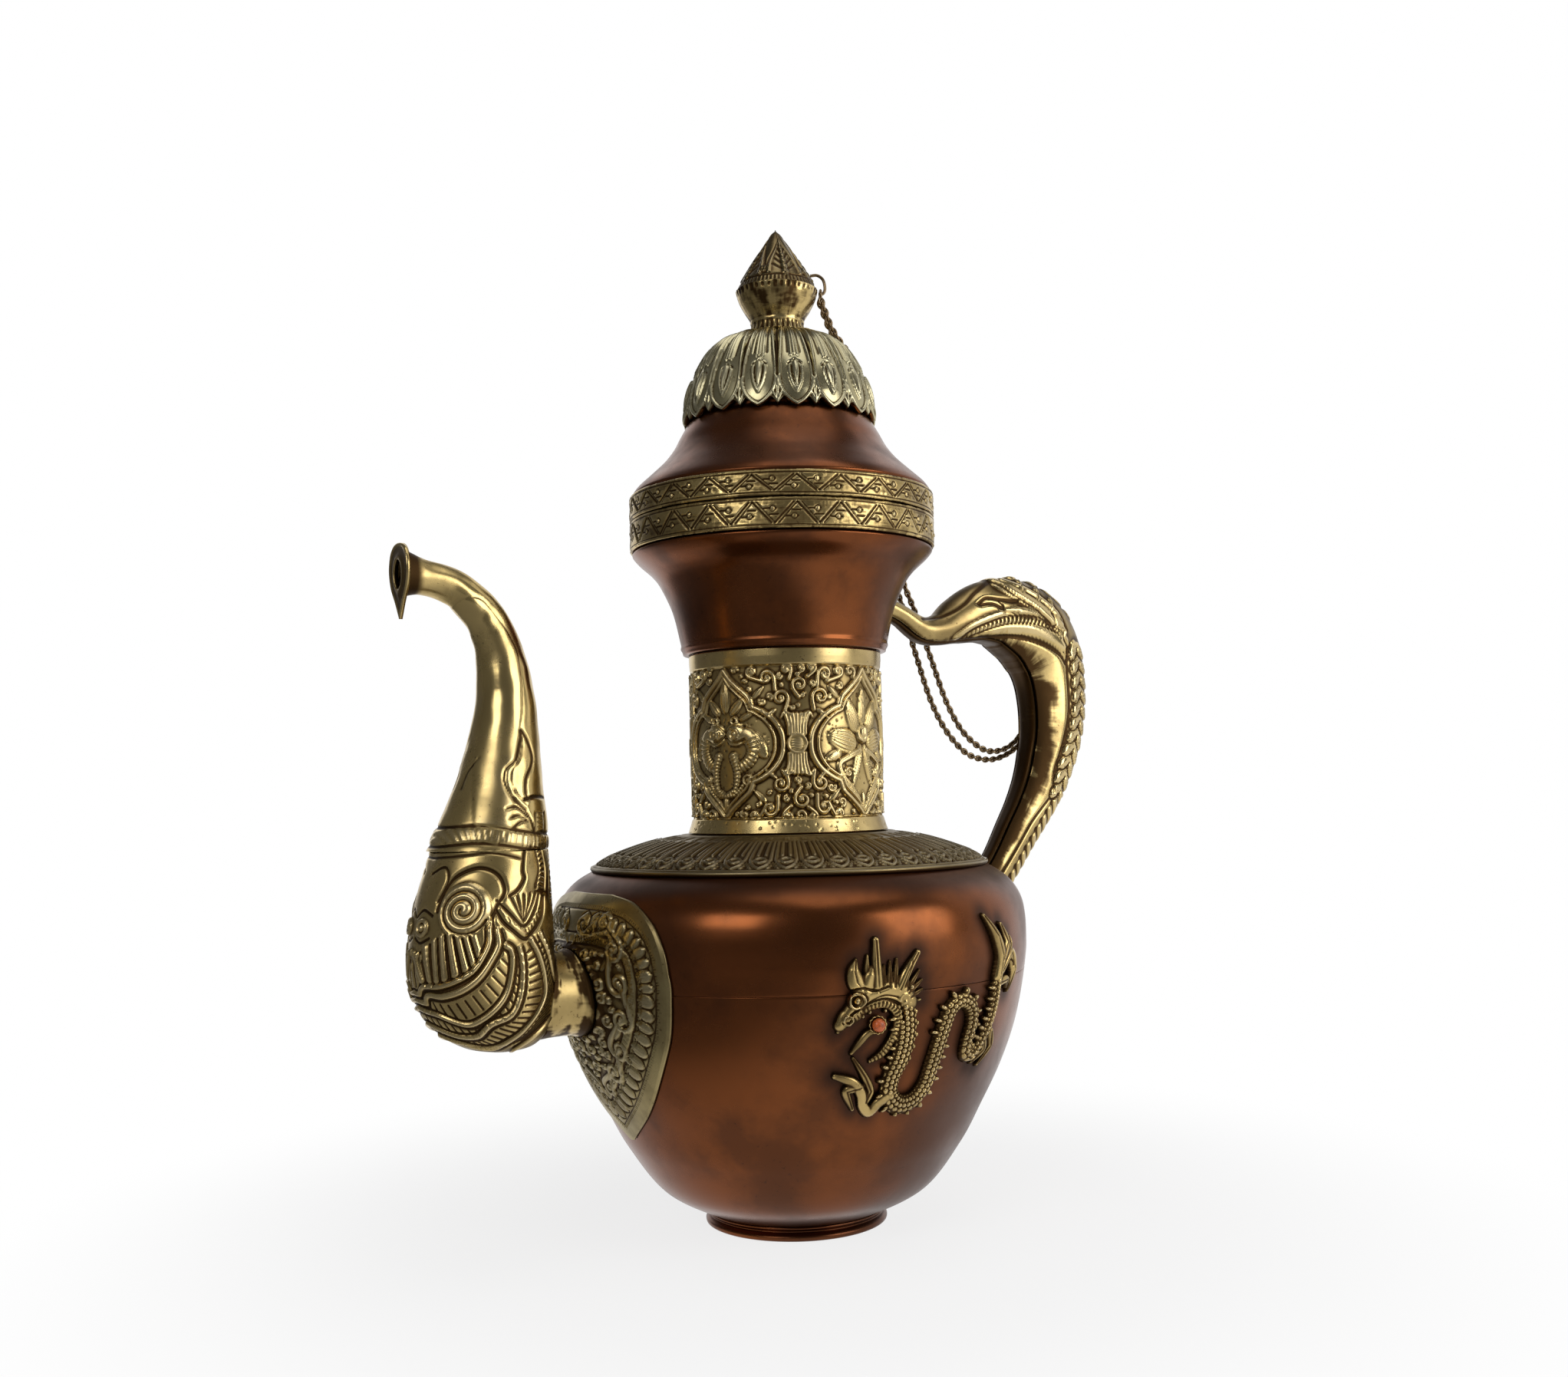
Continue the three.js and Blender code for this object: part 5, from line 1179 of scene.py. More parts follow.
class PITCHER_OT_bulb(Operator):
    """Chase the makara head that carries the spout, and the short tube behind it"""
    bl_idname = "pitcher.bulb"
    bl_label = "Makara head"

    def execute(self, context):
        line = even(curve(BULB_RINGS, 12), 220)
        turn, arc = mirrored_arc(416, 21.5)
        sheet, forms = Chased(arc[None], line[:, :1]), Chased(arc[None], line[:, :1])
        draw_makara(sheet)
        for form in HEAD_FORMS:
            forms.ridge(form, 6, 0.8)
        broad = softened(forms.rise, 9, 9)
        rise = sheet.beaten + broad
        normal = outward(line[:, [2, 0]])
        radius, height = line[:, 2:] + normal[:, :1] * rise, line[:, :1] + normal[:, 1:] * rise
        inner = line[::-12].copy()
        inner[:, 2] -= SPOUT_WALL
        inner[:, 0] = np.maximum(inner[:, 0], BULB_RINGS[0][0] + SPOUT_WALL)
        inner[0, 0] = BULB_JOINT
        ends = [np.full((1, len(turn)), value) for value in (0.2, 0.2)]
        flat = np.ones((1, len(turn)))
        radius = np.vstack([ends[0], radius, inner[:, 2:] * flat, ends[1]])
        height = np.vstack([line[0, 0] * flat, height, inner[:, :1] * flat, inner[-1, 0] * flat])
        reach = np.concatenate([line[:1, 1], line[:, 1], inner[:, 1], inner[-1:, 1]])[:, None]
        rings = np.stack([radius * np.cos(turn) - reach, radius * np.sin(turn), height], -1)
        shade = np.full(radius.shape, 0.4)
        # The head's tone darkens towards its bottom.
        darker_below = np.clip((96 - line[:, :1]) / 22, 0, 1) * 0.16
        shade[1:len(line) + 1] = np.clip(shading(sheet.beaten, 3, 0.6, 0.1) - darker_below, 0, 1)
        fit(ring_body("makara_head", rings, True, shade), "spout_brass", "spout_bulb")
        self.tube()
        return {"FINISHED"}

    def tube(self):
        """The solder-stained tube between the shield and the head."""
        columns, rows = 128, 24
        turn = around(columns)
        t = np.linspace(0, 1, rows)[:, None]
        waist = SPOUT_COLLAR_RADIUS - 0.5 * np.sin(math.pi * t) + 0.5 * np.exp(-((t - 0.12) / 0.06) ** 2)
        y, z = waist * np.cos(turn), SPOUT_HEIGHT + waist * np.sin(turn)
        near = np.sqrt((belly_radius(z) + SEAT + 3.4) ** 2 - y**2)
        rings = np.asarray(BULB_RINGS, float)
        reach, radius = (np.interp(z, rings[:, 0], rings[:, k]) for k in (1, 2))
        far = reach - np.sqrt(np.maximum((radius + SEAT) ** 2 - y**2, 1))
        outer = np.stack([-(near + (far - near) * t), y, z], -1)
        shrink = (SPOUT_BORE + 1) / SPOUT_COLLAR_RADIUS
        inner = outer[[-1, 0]] * [1, shrink, 1] + [0, 0, 0]
        inner[..., 2] = SPOUT_HEIGHT + (inner[..., 2] - SPOUT_HEIGHT) * shrink
        blots = 6 * blotches(5, (rows, columns), 2, 5)
        solder = 1.7 * np.exp(-((t - 0.08) / 0.2) ** 2) + 0.8 * np.exp(-((t - 1) / 0.1) ** 2)
        shade = np.full((rows + 2, columns), 0.4)
        shade[:rows] = np.clip(0.5 - 0.22 * (solder + blots).clip(0, 1.6), 0.05, 1)
        fit(ring_body("spout_tube", np.vstack([outer, inner]), True, shade), "spout_brass",
            "spout_collar")


def stations(points, sizes, dense):
    """A smooth centre line in the XZ plane, its direction and two half sizes along it."""
    path, size = curve(points, dense), curve(sizes, dense)
    along = np.gradient(path, axis=0)
    return path, along / np.linalg.norm(along, axis=1, keepdims=True), size


def set_section(path, along, across, y):
    """Rings whose points lie across the centre line and along Y."""
    return np.stack([path[:, :1] + across * along[:, 1:], y, path[:, 1:] - across * along[:, :1]], -1)


def trimmed(rings, clear):
    """The same rings, with each column stopped where it meets a neighbour; clear is positive outside it."""
    rings, away = rings.copy(), clear(rings)
    middle = len(rings) // 2
    for step, rows in ((1, range(middle, len(rings) - 1)), (-1, range(middle, 0, -1))):
        stopped = np.zeros(rings.shape[1], bool)
        for row in rows:
            then = row + step
            rings[then, stopped] = rings[row, stopped]
            hit = ~stopped & (away[then] <= 0)
            t = away[row, hit] / np.maximum(away[row, hit] - away[then, hit], 1e-9)
            rings[then, hit] = rings[row, hit] + t[:, None] * (rings[then, hit] - rings[row, hit])
            stopped |= hit
    return rings


TRUNK_CUTS = (
    ([[-106.1, 172.5], [-106.4, 169.7], [-108.9, 163.4], [-112.3, 160.3], [-113.1, 155.9], [-111.1, 151.5],
    [-106.9, 147.4]], 1.2, 0.6), ([[-106.1, 172.5], [-104, 169.7], [-102.4, 165.2], [-103.1, 161.5],
    [-105.6, 157.7], [-106.4, 153.9], [-105.8, 150.8]], 1.2, 0.6), ([[-106, 168.6], [-107.6, 163.6],
    [-110.6, 160.1], [-111.2, 156], [-109.6, 152.4], [-106.6, 149.6]], 0.8, 0.35), ([[-113.4, 148.2],
    [-110, 148.6], [-106.6, 145.6]], 1.0, 0.6), ([[-113, 145.2], [-109.8, 146], [-106.6, 144.4]], 0.9, 0.5),
    ([[-112, 142.2], [-109.6, 143.9], [-107.3, 144.2]], 0.9, 0.5), ([[-106.8, 147], [-104.6, 143],
    [-104.2, 137]], 1.0, 0.6), ([[-99, 146.6], [-100.1, 136.5]], 0.8, 0.5), ([[-103, 146.6], [-103.6, 141]],
    0.8, 0.5), ([[-107, 150.8], [-103, 151.6], [-97.3, 151.3]], 1.1, 0.8), ([[-118.5, 164.4],
    [-121.4, 159.8], [-123.6, 154.3]], 0.45, 0.35), ([[-122.5, 204.9], [-118.7, 197.6], [-117.9, 190.2],
    [-119.1, 179.6], [-122.7, 165.4], [-127.5, 154.9], [-131.7, 141.7]], 0.7, 0.35))


class PITCHER_OT_trunk(Operator):
    """Raise the makara's trunk, the pouring tube, and solder its drop-shaped lip on"""
    bl_idname = "pitcher.trunk"
    bl_label = "Trunk and lip"

    def execute(self, context):
        path, along, size = stations([
            [-114.2, BULB_JOINT - 5], [-110.9, 144], [-109.3, 154], [-108.1, 163], [-107.1, 172],
            [-106.5, 182], [-107.2, 192], [-108.9, 200], [-111.8, 207.2], [-116, 212.4], [-123.5, 217.8],
            [-133.4, 220.6], [-SPOUT_REACH, 221.4]], [[19.4, 19.4], [16.6, 16.6], [14.2, 14.2], [12.4, 12.4],
            [10.8, 10.8], [9.4, 9.4], [8.2, 8.2], [7.2, 7.2], [6.5, 6.4], [6.1, 6], [5.7, 5.6], [5.6, 5.3],
            [8, 6.6]], 26)
        turn = around(176)

        def clear(rings):
            above, behind = rings[..., 2] - BULB_JOINT, rings[..., 0] + SPOUT_REACH - LIP_WALL
            return np.minimum(above, behind) - SEAT

        plain = set_section(path, along, size[:, :1] * np.cos(turn), size[:, 1:] * np.sin(turn))
        sheet = Chased(plain[..., 0], plain[..., 2])
        self.chase(sheet)
        rise = sheet.beaten + 1.6 * softened(blotches(11, sheet.rise.shape, 7, 7), 5, 5)
        outer = set_section(
            path, along, (size[:, :1] + rise) * np.cos(turn), (size[:, 1:] + rise) * np.sin(turn))
        thin = size - SPOUT_WALL
        inner = set_section(path, along, thin[:, :1] * np.cos(turn), thin[:, 1:] * np.sin(turn))
        outer, inner = trimmed(outer, clear), trimmed(inner, clear)[::-8]
        shade = np.full((len(outer) + len(inner), len(turn)), 0.35)
        solder = np.clip((-outer[..., 0] - SPOUT_REACH + 7.5) / 3, 0, 1)
        shade[:len(outer)] = np.clip(shading(sheet.beaten, 3, 0.6) - 0.3 * solder, 0, 1)
        fit(ring_body("makara_trunk", np.vstack([outer, inner]), True, shade), "spout_brass",
            "spout_trunk")
        self.lip()
        return {"FINISHED"}

    def chase(self, sheet):
        """Leaf flame, fronds, hatched collar band, seam and a short crack on both flanks."""
        sheet.cut_all(TRUNK_CUTS)
        ridge = [[-119.1, 208.8], [-111.4, 197.8], [-110.4, 182.8], [-113.5, 167.2], [-118, 142.4]]
        sheet.ridge(curve(ridge, 6), 5.5, 0.5)
        sheet.rungs([[-101.1, 146.6], [-102.1, 136.5]], 1.2, 1.4, 0.4)
        band = curve(
            [[-135, 138.8], [-129, 140], [-122.6, 140.4], [-114, 139.4], [-104, 137.6], [-92, 137]], 6)
        sheet.ridge(band, 2.4, 0.45)
        sheet.rungs(band, 1.7, 1.5, 0.5)
        for shift in (-2.6, 2.6):
            sheet.cut(band + [0, shift], 1.1, 0.6)

    def lip(self):
        """The flat drop with a raised rim round its hole."""
        quarter = curve([
            [0, -14], [3.2, -9], [6.6, -4.4], [8.1, 0], [8, 3.4], [6.4, 6.9], [3.4, 8.9], [0, 9.4]], 12)
        outline = even(np.vstack([quarter, quarter[::-1] * [-1, 1]]), 160)[:-1]
        facing = np.arctan2(outline[:, 1] + 0.2, outline[:, 0])
        hole = np.column_stack([3.4 * np.cos(facing), 4.6 * np.sin(facing) - 0.2])
        share = np.array([0, 0, 0.1, 0.22, 0.32, 0.5, 0.7, 0.86, 0.93, 1, 1, 0.5, 0])
        depth = np.array([0.5, 0.1, 0, 0.12, 0.4, 0.5, 0.5, 0.42, 0.2, 0.35, LIP_WALL, LIP_WALL, LIP_WALL])
        flat = hole + share[:, None, None] * (outline - hole)
        rings = np.stack([
            depth[:, None] - SPOUT_REACH + 0 * flat[..., 0], -flat[..., 0], 221.2 + flat[..., 1]], -1)
        shade = np.full(rings.shape[:2], 0.42)
        shade[3:7] = 0.3
        shade[8:10] = 0.7
        fit(ring_body("spout_lip_plate", rings, True, shade), "handle_brass", "spout_lip")


SHIELD_EDGE = [
    [0.7, 36.5], [17, 47], [29, 58.7], [39.6, 74], [43.6, 88], [43.8, 95.6], [42, 103.6], [37, 111.3],
    [27, 117.2], [14, 119.6]]


SHIELD_SCROLLS = (
    (17.6, 111, 3.6, 1, (9, 106)), (22.6, 102.6, 4.2, -1, (17, 112)), (24.4, 92, 4.4, 1, (22, 102)),
    (23.2, 80.4, 4.4, -1, (25, 91)), (18.6, 70.2, 4.2, 1, (22, 79)), (11.6, 62, 3.6, -1, (17, 69)),
    (4.6, 55.6, 3.0, 1, (10, 61)), (7, 110.2, 3.4, -1, (14, 112)))


def draw_shield(sheet):
    """Plain hatched border, a row of ribbed shells, an inner hatched band and rolling scrolls."""
    edge = np.vstack([[[0, 36]], curve(SHIELD_EDGE, 8), [[0, 119.8]]])
    spots, away, run, length = sheet.near(edge, 26)
    far, along = np.full(sheet.rise.shape, 99.0), np.zeros(sheet.rise.shape)
    far[spots], along[spots] = away, run
    rim = Chased(along, far)
    rim.ridge([[0, 14.2], [length, 14.2]], 1.6, 0.35)
    for out in (5.0, 12.4, 16.0):
        rim.cut([[0, out], [length, out]], 0.8, 0.4)
    for step in np.arange(1, length, 1.1):
        rim.cut([[step, 3.7], [step, 4.7]], 0.45, 0.3)
        rim.cut([[step, 13.4], [step + 0.4, 15]], 0.45, 0.35)
    for step in np.arange(8, length - 3, 5.4):
        rim.boss(step, 8.8, 2.9, 3.3, 0.6, math.pi, 0.1, 5)
        shell = curve([[0, 5.4], [2.3, 6.8], [2.7, 10]], 5)
        for side in (-1, 1):
            rim.placed(step, 0, side).cut(shell, 0.7, 0.5)
            rim.cut(spiral(step + 1.5 * side, 10.9, 1.2, 1.2, side, 1.2), 0.55, 0.4)
    banded = far < 16.5
    sheet.rise = np.where(banded, np.maximum(sheet.rise, rim.rise), sheet.rise)
    sheet.cuts = np.where(banded, rim.cuts, sheet.cuts)
    for x, z, radius, hand, root in SHIELD_SCROLLS:
        sheet.ridge(tendril(root, (x, z), radius, 1.4, hand), 1.25, 0.85, 0.3)
        sheet.cut(tendril(root, (x, z), radius - 1.2, 1.3, hand), 0.7, 0.4)
        sheet.boss(x, z, 1.1, 1.1, 1.0)
        sheet.boss(x + 3.6 * hand, z - 4.8, 1.5, 3.0, 0.7, hand * 2.4, 0.5, 3)
    kept = sheet.rise.copy()
    chance = np.random.default_rng(12)
    for count, small, large in ((400, 1.8, 2.4), (900, 0.9, 1.5)):
        fill_ground(sheet, chance, count, lambda x, z: True, small, large, ((0, 40), (48, 118)))
    sheet.rise = np.where(far < 17.5, kept, sheet.rise)


class PITCHER_OT_shield(Operator):
    """Chase the shield that the spout stands on"""
    bl_idname = "pitcher.shield"
    bl_label = "Spout shield"

    def execute(self, context):
        edge = even(curve(SHIELD_EDGE, 14), 290)
        columns = 200
        share = np.linspace(-1, 1, columns)
        arc, z = edge[:, :1] * share, edge[:, 1:] + 0 * share
        sheet = Chased(np.abs(arc), z)
        draw_shield(sheet)
        away = np.hypot(arc, z - SPOUT_HEIGHT)
        swell = 2.4 * np.exp(-((away / 24) ** 2)) * np.clip(1 - np.abs(arc) / (edge[:, :1] + 1), 0, 1)
        ground = belly_radius(z) + SEAT
        fade = np.clip((SPOUT_COLLAR_RADIUS + 1.5 - away) / 1.5, 0, 1)
        thick = BRASS_WALL + 0.2 - 0.35 * (np.abs(share) > 0.985)
        front = ground + thick + swell + sheet.beaten * (1 - fade)
        solder = np.exp(-((away - SPOUT_COLLAR_RADIUS - 0.8) / 1.1) ** 2)
        front = front + 0.9 * solder
        back_share = np.linspace(1, -1, 9)
        back = belly_radius(edge[:, 1:]) + SEAT + 0.15 + 0 * back_share
        turn = np.hstack([arc / front, edge[:, :1] * back_share / back])
        radius = np.hstack([front, back])
        height = np.hstack([z, edge[:, 1:] + 0 * back_share])
        rings = np.stack([-radius * np.cos(turn), -radius * np.sin(turn), height], -1)
        shade = np.clip(shading(sheet.beaten, 3, 0.5, 0.05, False) - 0.5 * solder, 0, 1)
        shade = np.hstack([shade, np.full(back.shape, 0.3)])
        fit(ring_body("spout_shield", rings, False, shade), "shield_brass", "spout_plate")
        return {"FINISHED"}


# Handle

HANDLE_LINE = [
    [36, 221.5], [44, 219.6], [51.5, 216.6], [61, 211.6], [69.3, 211.8], [78, 215], [87.5, 217.8],
    [95.5, 218.6], [101, 218], [107.5, 215.9], [113.4, 213], [118.8, 208.6], [123, 202.4], [125.6, 193.5],
    [126.4, 182.6], [125.3, 171], [122.3, 161], [118, 151.4], [112.2, 142], [105.8, 133], [99.2, 123.4],
    [92, 114.6], [84, 107.4], [75, 101.8]]
HANDLE_SIZES = [
    [4.6, 4.8], [4.3, 4.9], [4.3, 5.2], [5.3, 6], [6.4, 7], [9.6, 8.4], [12.2, 9.4], [14.2, 10],
    [15.8, 10.4], [17.4, 10.6], [18.6, 10.4], [19.4, 10.1], [19, 9.6], [17.8, 9.2], [16.5, 9], [15.1, 8.8],
    [13.8, 8.4], [12, 8], [10.4, 7.5], [9.4, 7], [8.6, 6.6], [8.1, 6.3], [7.7, 6.1], [7.5, 6]]
OPEN_ANGLE = math.radians(140)
BROW = [[95, 230], [104, 225], [112, 221], [120, 216], [124, 211]]


def clear_of_pot(rings):
    reach, z = np.hypot(rings[..., 0], rings[..., 1]), rings[..., 2]
    funnel = np.where(z > 196, reach - height_to_radius(FUNNEL_LINE, z), 9.0)
    return np.minimum(reach - belly_radius(z), funnel) - SEAT


BEAST_RIDGES = (
    (BROW, 3.0, 1.0), ([[97.4, 231.2], [107.6, 227.9], [115.8, 223.6], [123, 218.4], [126, 212.2]], 1.3,
    1.2), ([[73.9, 205.4], [80, 208.2], [88, 212], [97, 213.2], [108, 213.2], [118, 210.6], [125, 208]], 3.2,
    0.6), ([[74, 208], [80, 212], [88, 215.6], [98, 218.4], [108, 218.6], [114, 217]], 2.0, 0.7))
BEAST_CUTS = (
    ([[58.8, 215], [69.4, 216.9], [77.3, 221], [83.3, 225.9], [91.4, 230.9]], 1.4, 0.35), ([[92.4, 231],
    [98.3, 226.6], [104.3, 223.1], [111.5, 219.5], [118.6, 214.3]], 1.3, 0.8), ([[99, 233], [107.6, 229.6],
    [116.6, 225.2], [124.4, 219.8], [128, 213]], 1.2, 0.7), ([[83.2, 221.3], [87.2, 223.8], [93.2, 223.3],
    [99.2, 222.8], [102.3, 224.1]], 1.4, 0.8), ([[84.1, 221], [89.1, 221.6], [93.6, 219.9], [95.1, 218.4],
    [101.1, 218.4]], 1.4, 0.8), ([[91.2, 223.6], [94.1, 221], [93.1, 219.4]], 1.0, 0.6), ([[111.5, 219.1],
    [116.6, 216.2], [119.7, 213.5], [120.3, 216.7], [118.8, 219]], 1.2, 0.8), ([[73.9, 206.1], [78.9, 210.5],
    [85.9, 213.8], [95, 216.8], [104.2, 217.6], [112.4, 216.8], [118.6, 214.3], [123.9, 212.1]], 1.3, 0.9),
    ([[79.9, 209], [86.8, 211.5], [94.9, 213.7], [103.1, 214.4], [111.3, 214], [119.6, 211.9],
    [124.9, 210.5]], 1.0, 0.75), ([[72.9, 204.6], [78.8, 204.8], [83.7, 207.2], [94.8, 209.1], [102.9, 209],
    [113.2, 207], [122.5, 203.3], [126.2, 199.5]], 1.4, 0.9), ([[123, 218.4], [126, 213.8], [124.9, 209.7],
    [127.2, 205.9], [127, 199], [127.9, 186.8], [127.6, 178.9], [125.2, 170.1], [122.9, 163.8],
    [120.1, 156.7], [119.8, 148.8]], 1.4, 0.9), ([[117.7, 146.5], [109.1, 138.1], [102.7, 129.7],
    [97.4, 123], [93, 117.6]], 1.2, 0.7), ([[106.8, 167], [103.5, 158.5], [97, 144.6], [90.6, 132.5],
    [85.4, 127.3]], 0.45, 0.3))


def draw_beast(sheet):
    """The gilled, toothed head that swallows the handle, its feathered neck and the tail's rope edge."""
    for line, half, high in BEAST_RIDGES:
        sheet.ridge(curve(line, 6), half, high)
    sheet.cut_all(BEAST_CUTS)
    teeth = [
        [77, 207.8], [82.9, 211.2], [90.3, 213.9], [99, 215.9], [107.8, 215.8], [116, 213.6], [124.2, 211.2]]
    sheet.rungs(curve(teeth, 6), 1.1, 1.9, 0.7, 0.3)
    sheet.rungs(curve([[92.4, 231], [98.3, 226.6], [104.3, 223.1], [111.5, 219.5]], 6), 0.9, 1.3, 0.5)
    spine = even(curve([
        [133.4, 207], [134.6, 199], [135.2, 191], [135.2, 182], [133.4, 173.4], [130.4, 165.4], [127, 157.6],
        [124.6, 150.6]], 8), 10)
    for (x, z), (dx, dz) in zip(spine, np.gradient(spine, axis=0)):
        down = math.atan2(dx, dz)
        for side, shift in ((-1, 0), (1, 1.6)):
            turn, out = down - side * 0.5, np.array([-dz, dx]) / math.hypot(dx, dz)
            px, pz = np.array([x, z]) + 2.7 * side * out + np.array([dx, dz]) * (0.3 + 0.1 * shift)
            facing = np.array([math.sin(turn), math.cos(turn)])
            across = np.array([facing[1], -facing[0]])
            rim = [np.array([px, pz]) + 4.4 * math.cos(a) * facing + 2.5 * math.sin(a) * across
                   for a in np.linspace(-2.0, 2.0, 13)]
            sheet.boss(px, pz, 2.6, 4.6, 0.9, turn, 0.2)
            sheet.cut(rim, 1.1, 1.0)
            for lean in (-1.1, 0, 1.1):
                root = np.array([px, pz]) - 3 * facing + 0.4 * lean * across
                sheet.cut([root, root + 6 * facing + 0.8 * lean * across], 0.6, 0.45)
    rope = curve(
        [[126.2, 147.6], [120.6, 141], [115.4, 134.4], [109.4, 126.6], [104.2, 119.6], [99.4, 113.2]], 8)
    sheet.ridge(rope, 3.4, 0.9)
    sheet.rungs(rope, 3.2, 4.3, 0.8, 0.7)
    for x, z in ((113, 226.2), (105.6, 229), (120, 222.4)):
        sheet.boss(x, z, 2.4, 3.6, 1.4, 0.3, 0.4, 3)


class PITCHER_OT_handle(Operator):
    """Chase the hollow handle with its beast head, and close it with the inner strip"""
    bl_idname = "pitcher.handle"
    bl_label = "Handle"

    def execute(self, context):
        path, along, size = stations(HANDLE_LINE, HANDLE_SIZES, 26)
        turn = np.linspace(-OPEN_ANGLE, OPEN_ANGLE, 120)
        deep, wide = size[:, :1], size[:, 1:]
        plain = set_section(path, along, -deep * np.cos(turn), wide * np.sin(turn))
        sheet = Chased(plain[..., 0], plain[..., 2])
        draw_beast(sheet)
        run = run_along(plain[:, 60])
        spine = Chased(plain[..., 1], run[:, None])
        self.keel(spine, plain[:, 60], run)
        rise = np.maximum(sheet.rise, spine.rise) - np.maximum(sheet.cuts, spine.cuts)
        rise = rise * np.clip((OPEN_ANGLE - np.abs(turn)) / 0.25, 0, 1)
        n, y = np.cos(turn) / deep, np.sin(turn) / wide
        length = np.hypot(n, y)
        rise = rise - 0.5 * np.clip(np.cos(turn), 0, 1)
        outer = set_section(
            path, along, -deep * np.cos(turn) - rise * n / length, wide * np.sin(turn) + rise * y / length)
        outer[..., 0] = np.minimum(outer[..., 0], FRAME_BOX[1][0] / MM)
        back = turn[::-8]
        inner = set_section(
            path, along, -(deep - HANDLE_WALL) * np.cos(back), (wide - HANDLE_WALL) * np.sin(back))
        rings = trimmed(np.concatenate([outer, inner], 1), clear_of_pot)
        shade = self.tarnish_and_shade(shading(rise, 3, 0.5, 0.3, False), path, turn)
        shade = np.hstack([shade, np.full(inner.shape[:2], 0.3)])
        fit(ring_body("beast_handle", rings, False, shade), "handle_brass", "handle_shell")
        self.strip(path, along, size)
        return {"FINISHED"}

    def keel(self, spine, line, run):
        """Keel and crest knobs along the back of the handle."""
        def at(x, z):
            return run[np.argmin(np.hypot(line[:, 0] - x, line[:, 2] - z))]
        spine.ridge([[0, at(134.9, 225.4)], [0, at(127, 144)]], 1.1, 1.0)
        spine.rungs([[0, at(134.9, 225.4)], [0, at(100, 112)]], 1.6, 3.4, 0.6, 0.5)
        for x, z in ((106.5, 233.1), (115.8, 231.6), (124.3, 229.7), (129.5, 226.3), (135.9, 221.8)):
            spine.boss(0, at(x, z), 2.3, 2.6, 1.3)
            spine.ring(0, at(x, z), 3.4, 0.5, 0.6)

    def tarnish_and_shade(self, shade, path, turn):
        """Darkens the side of the flanks that faces the pot: painted shade and dark reflection, with some
        tarnish.
        """
        keys = np.array([
            [50, 217, 0.9], [62, 211, 0.75], [72, 213, 0.6], [84, 217, 0.5], [98, 218.4, 0.45],
            [110, 214.6, 0.45], [121, 206, 0.35], [125.8, 190, 0.25], [126, 176, 0.2], [120, 157, 0.15],
            [100, 124, 0.2], [78, 104, 0.2]])
        rows = [np.argmin(np.hypot(path[:, 0] - x, path[:, 1] - z)) for x, z, _ in keys]
        limit = np.interp(np.arange(len(path)), rows, keys[:, 2])[:, None]
        # Painted shade and dark reflection on the pot side, broken up by tarnish patches.
        cloud = 5 * blotches(9, shade.shape, 9, 7, False)
        dark = np.clip((-np.cos(turn) - limit + 0.4 * cloud) / 0.6, 0, 1)
        return np.clip(shade * (1 - 0.75 * dark) - 0.1 * dark + 0.16 * cloud * dark, 0, 1)

    def strip(self, path, along, size):
        deep, wide = -math.cos(OPEN_ANGLE), math.sin(OPEN_ANGLE)
        back = deep * size[:, :1] + 0.25
        half = wide * (size[:, 1:] - HANDLE_WALL) - SEAT
        corners = even([
            [0, -1], [0.55, -0.85], [0.9, -0.5], [0.9, 0.5], [0.55, 0.85], [0, 1], [-1, 1], [-1, -1],
            [0, -1]], 32)[:-1]
        rings = set_section(path, along, back + corners[:, 0], half * corners[:, 1])
        # The inner strip, which faces the pot, is painted nearly black: painted shade and dark reflection,
        # with some tarnish.
        cloud = 4 * blotches(10, rings.shape[:2], 9, 3)
        shade = np.clip(0.16 + 0.12 * cloud, 0.02, 0.5)
        fit(ring_body("handle_strip", trimmed(rings, clear_of_pot), False, shade), "handle_brass",
            "handle_inner_strip")


# Dragon

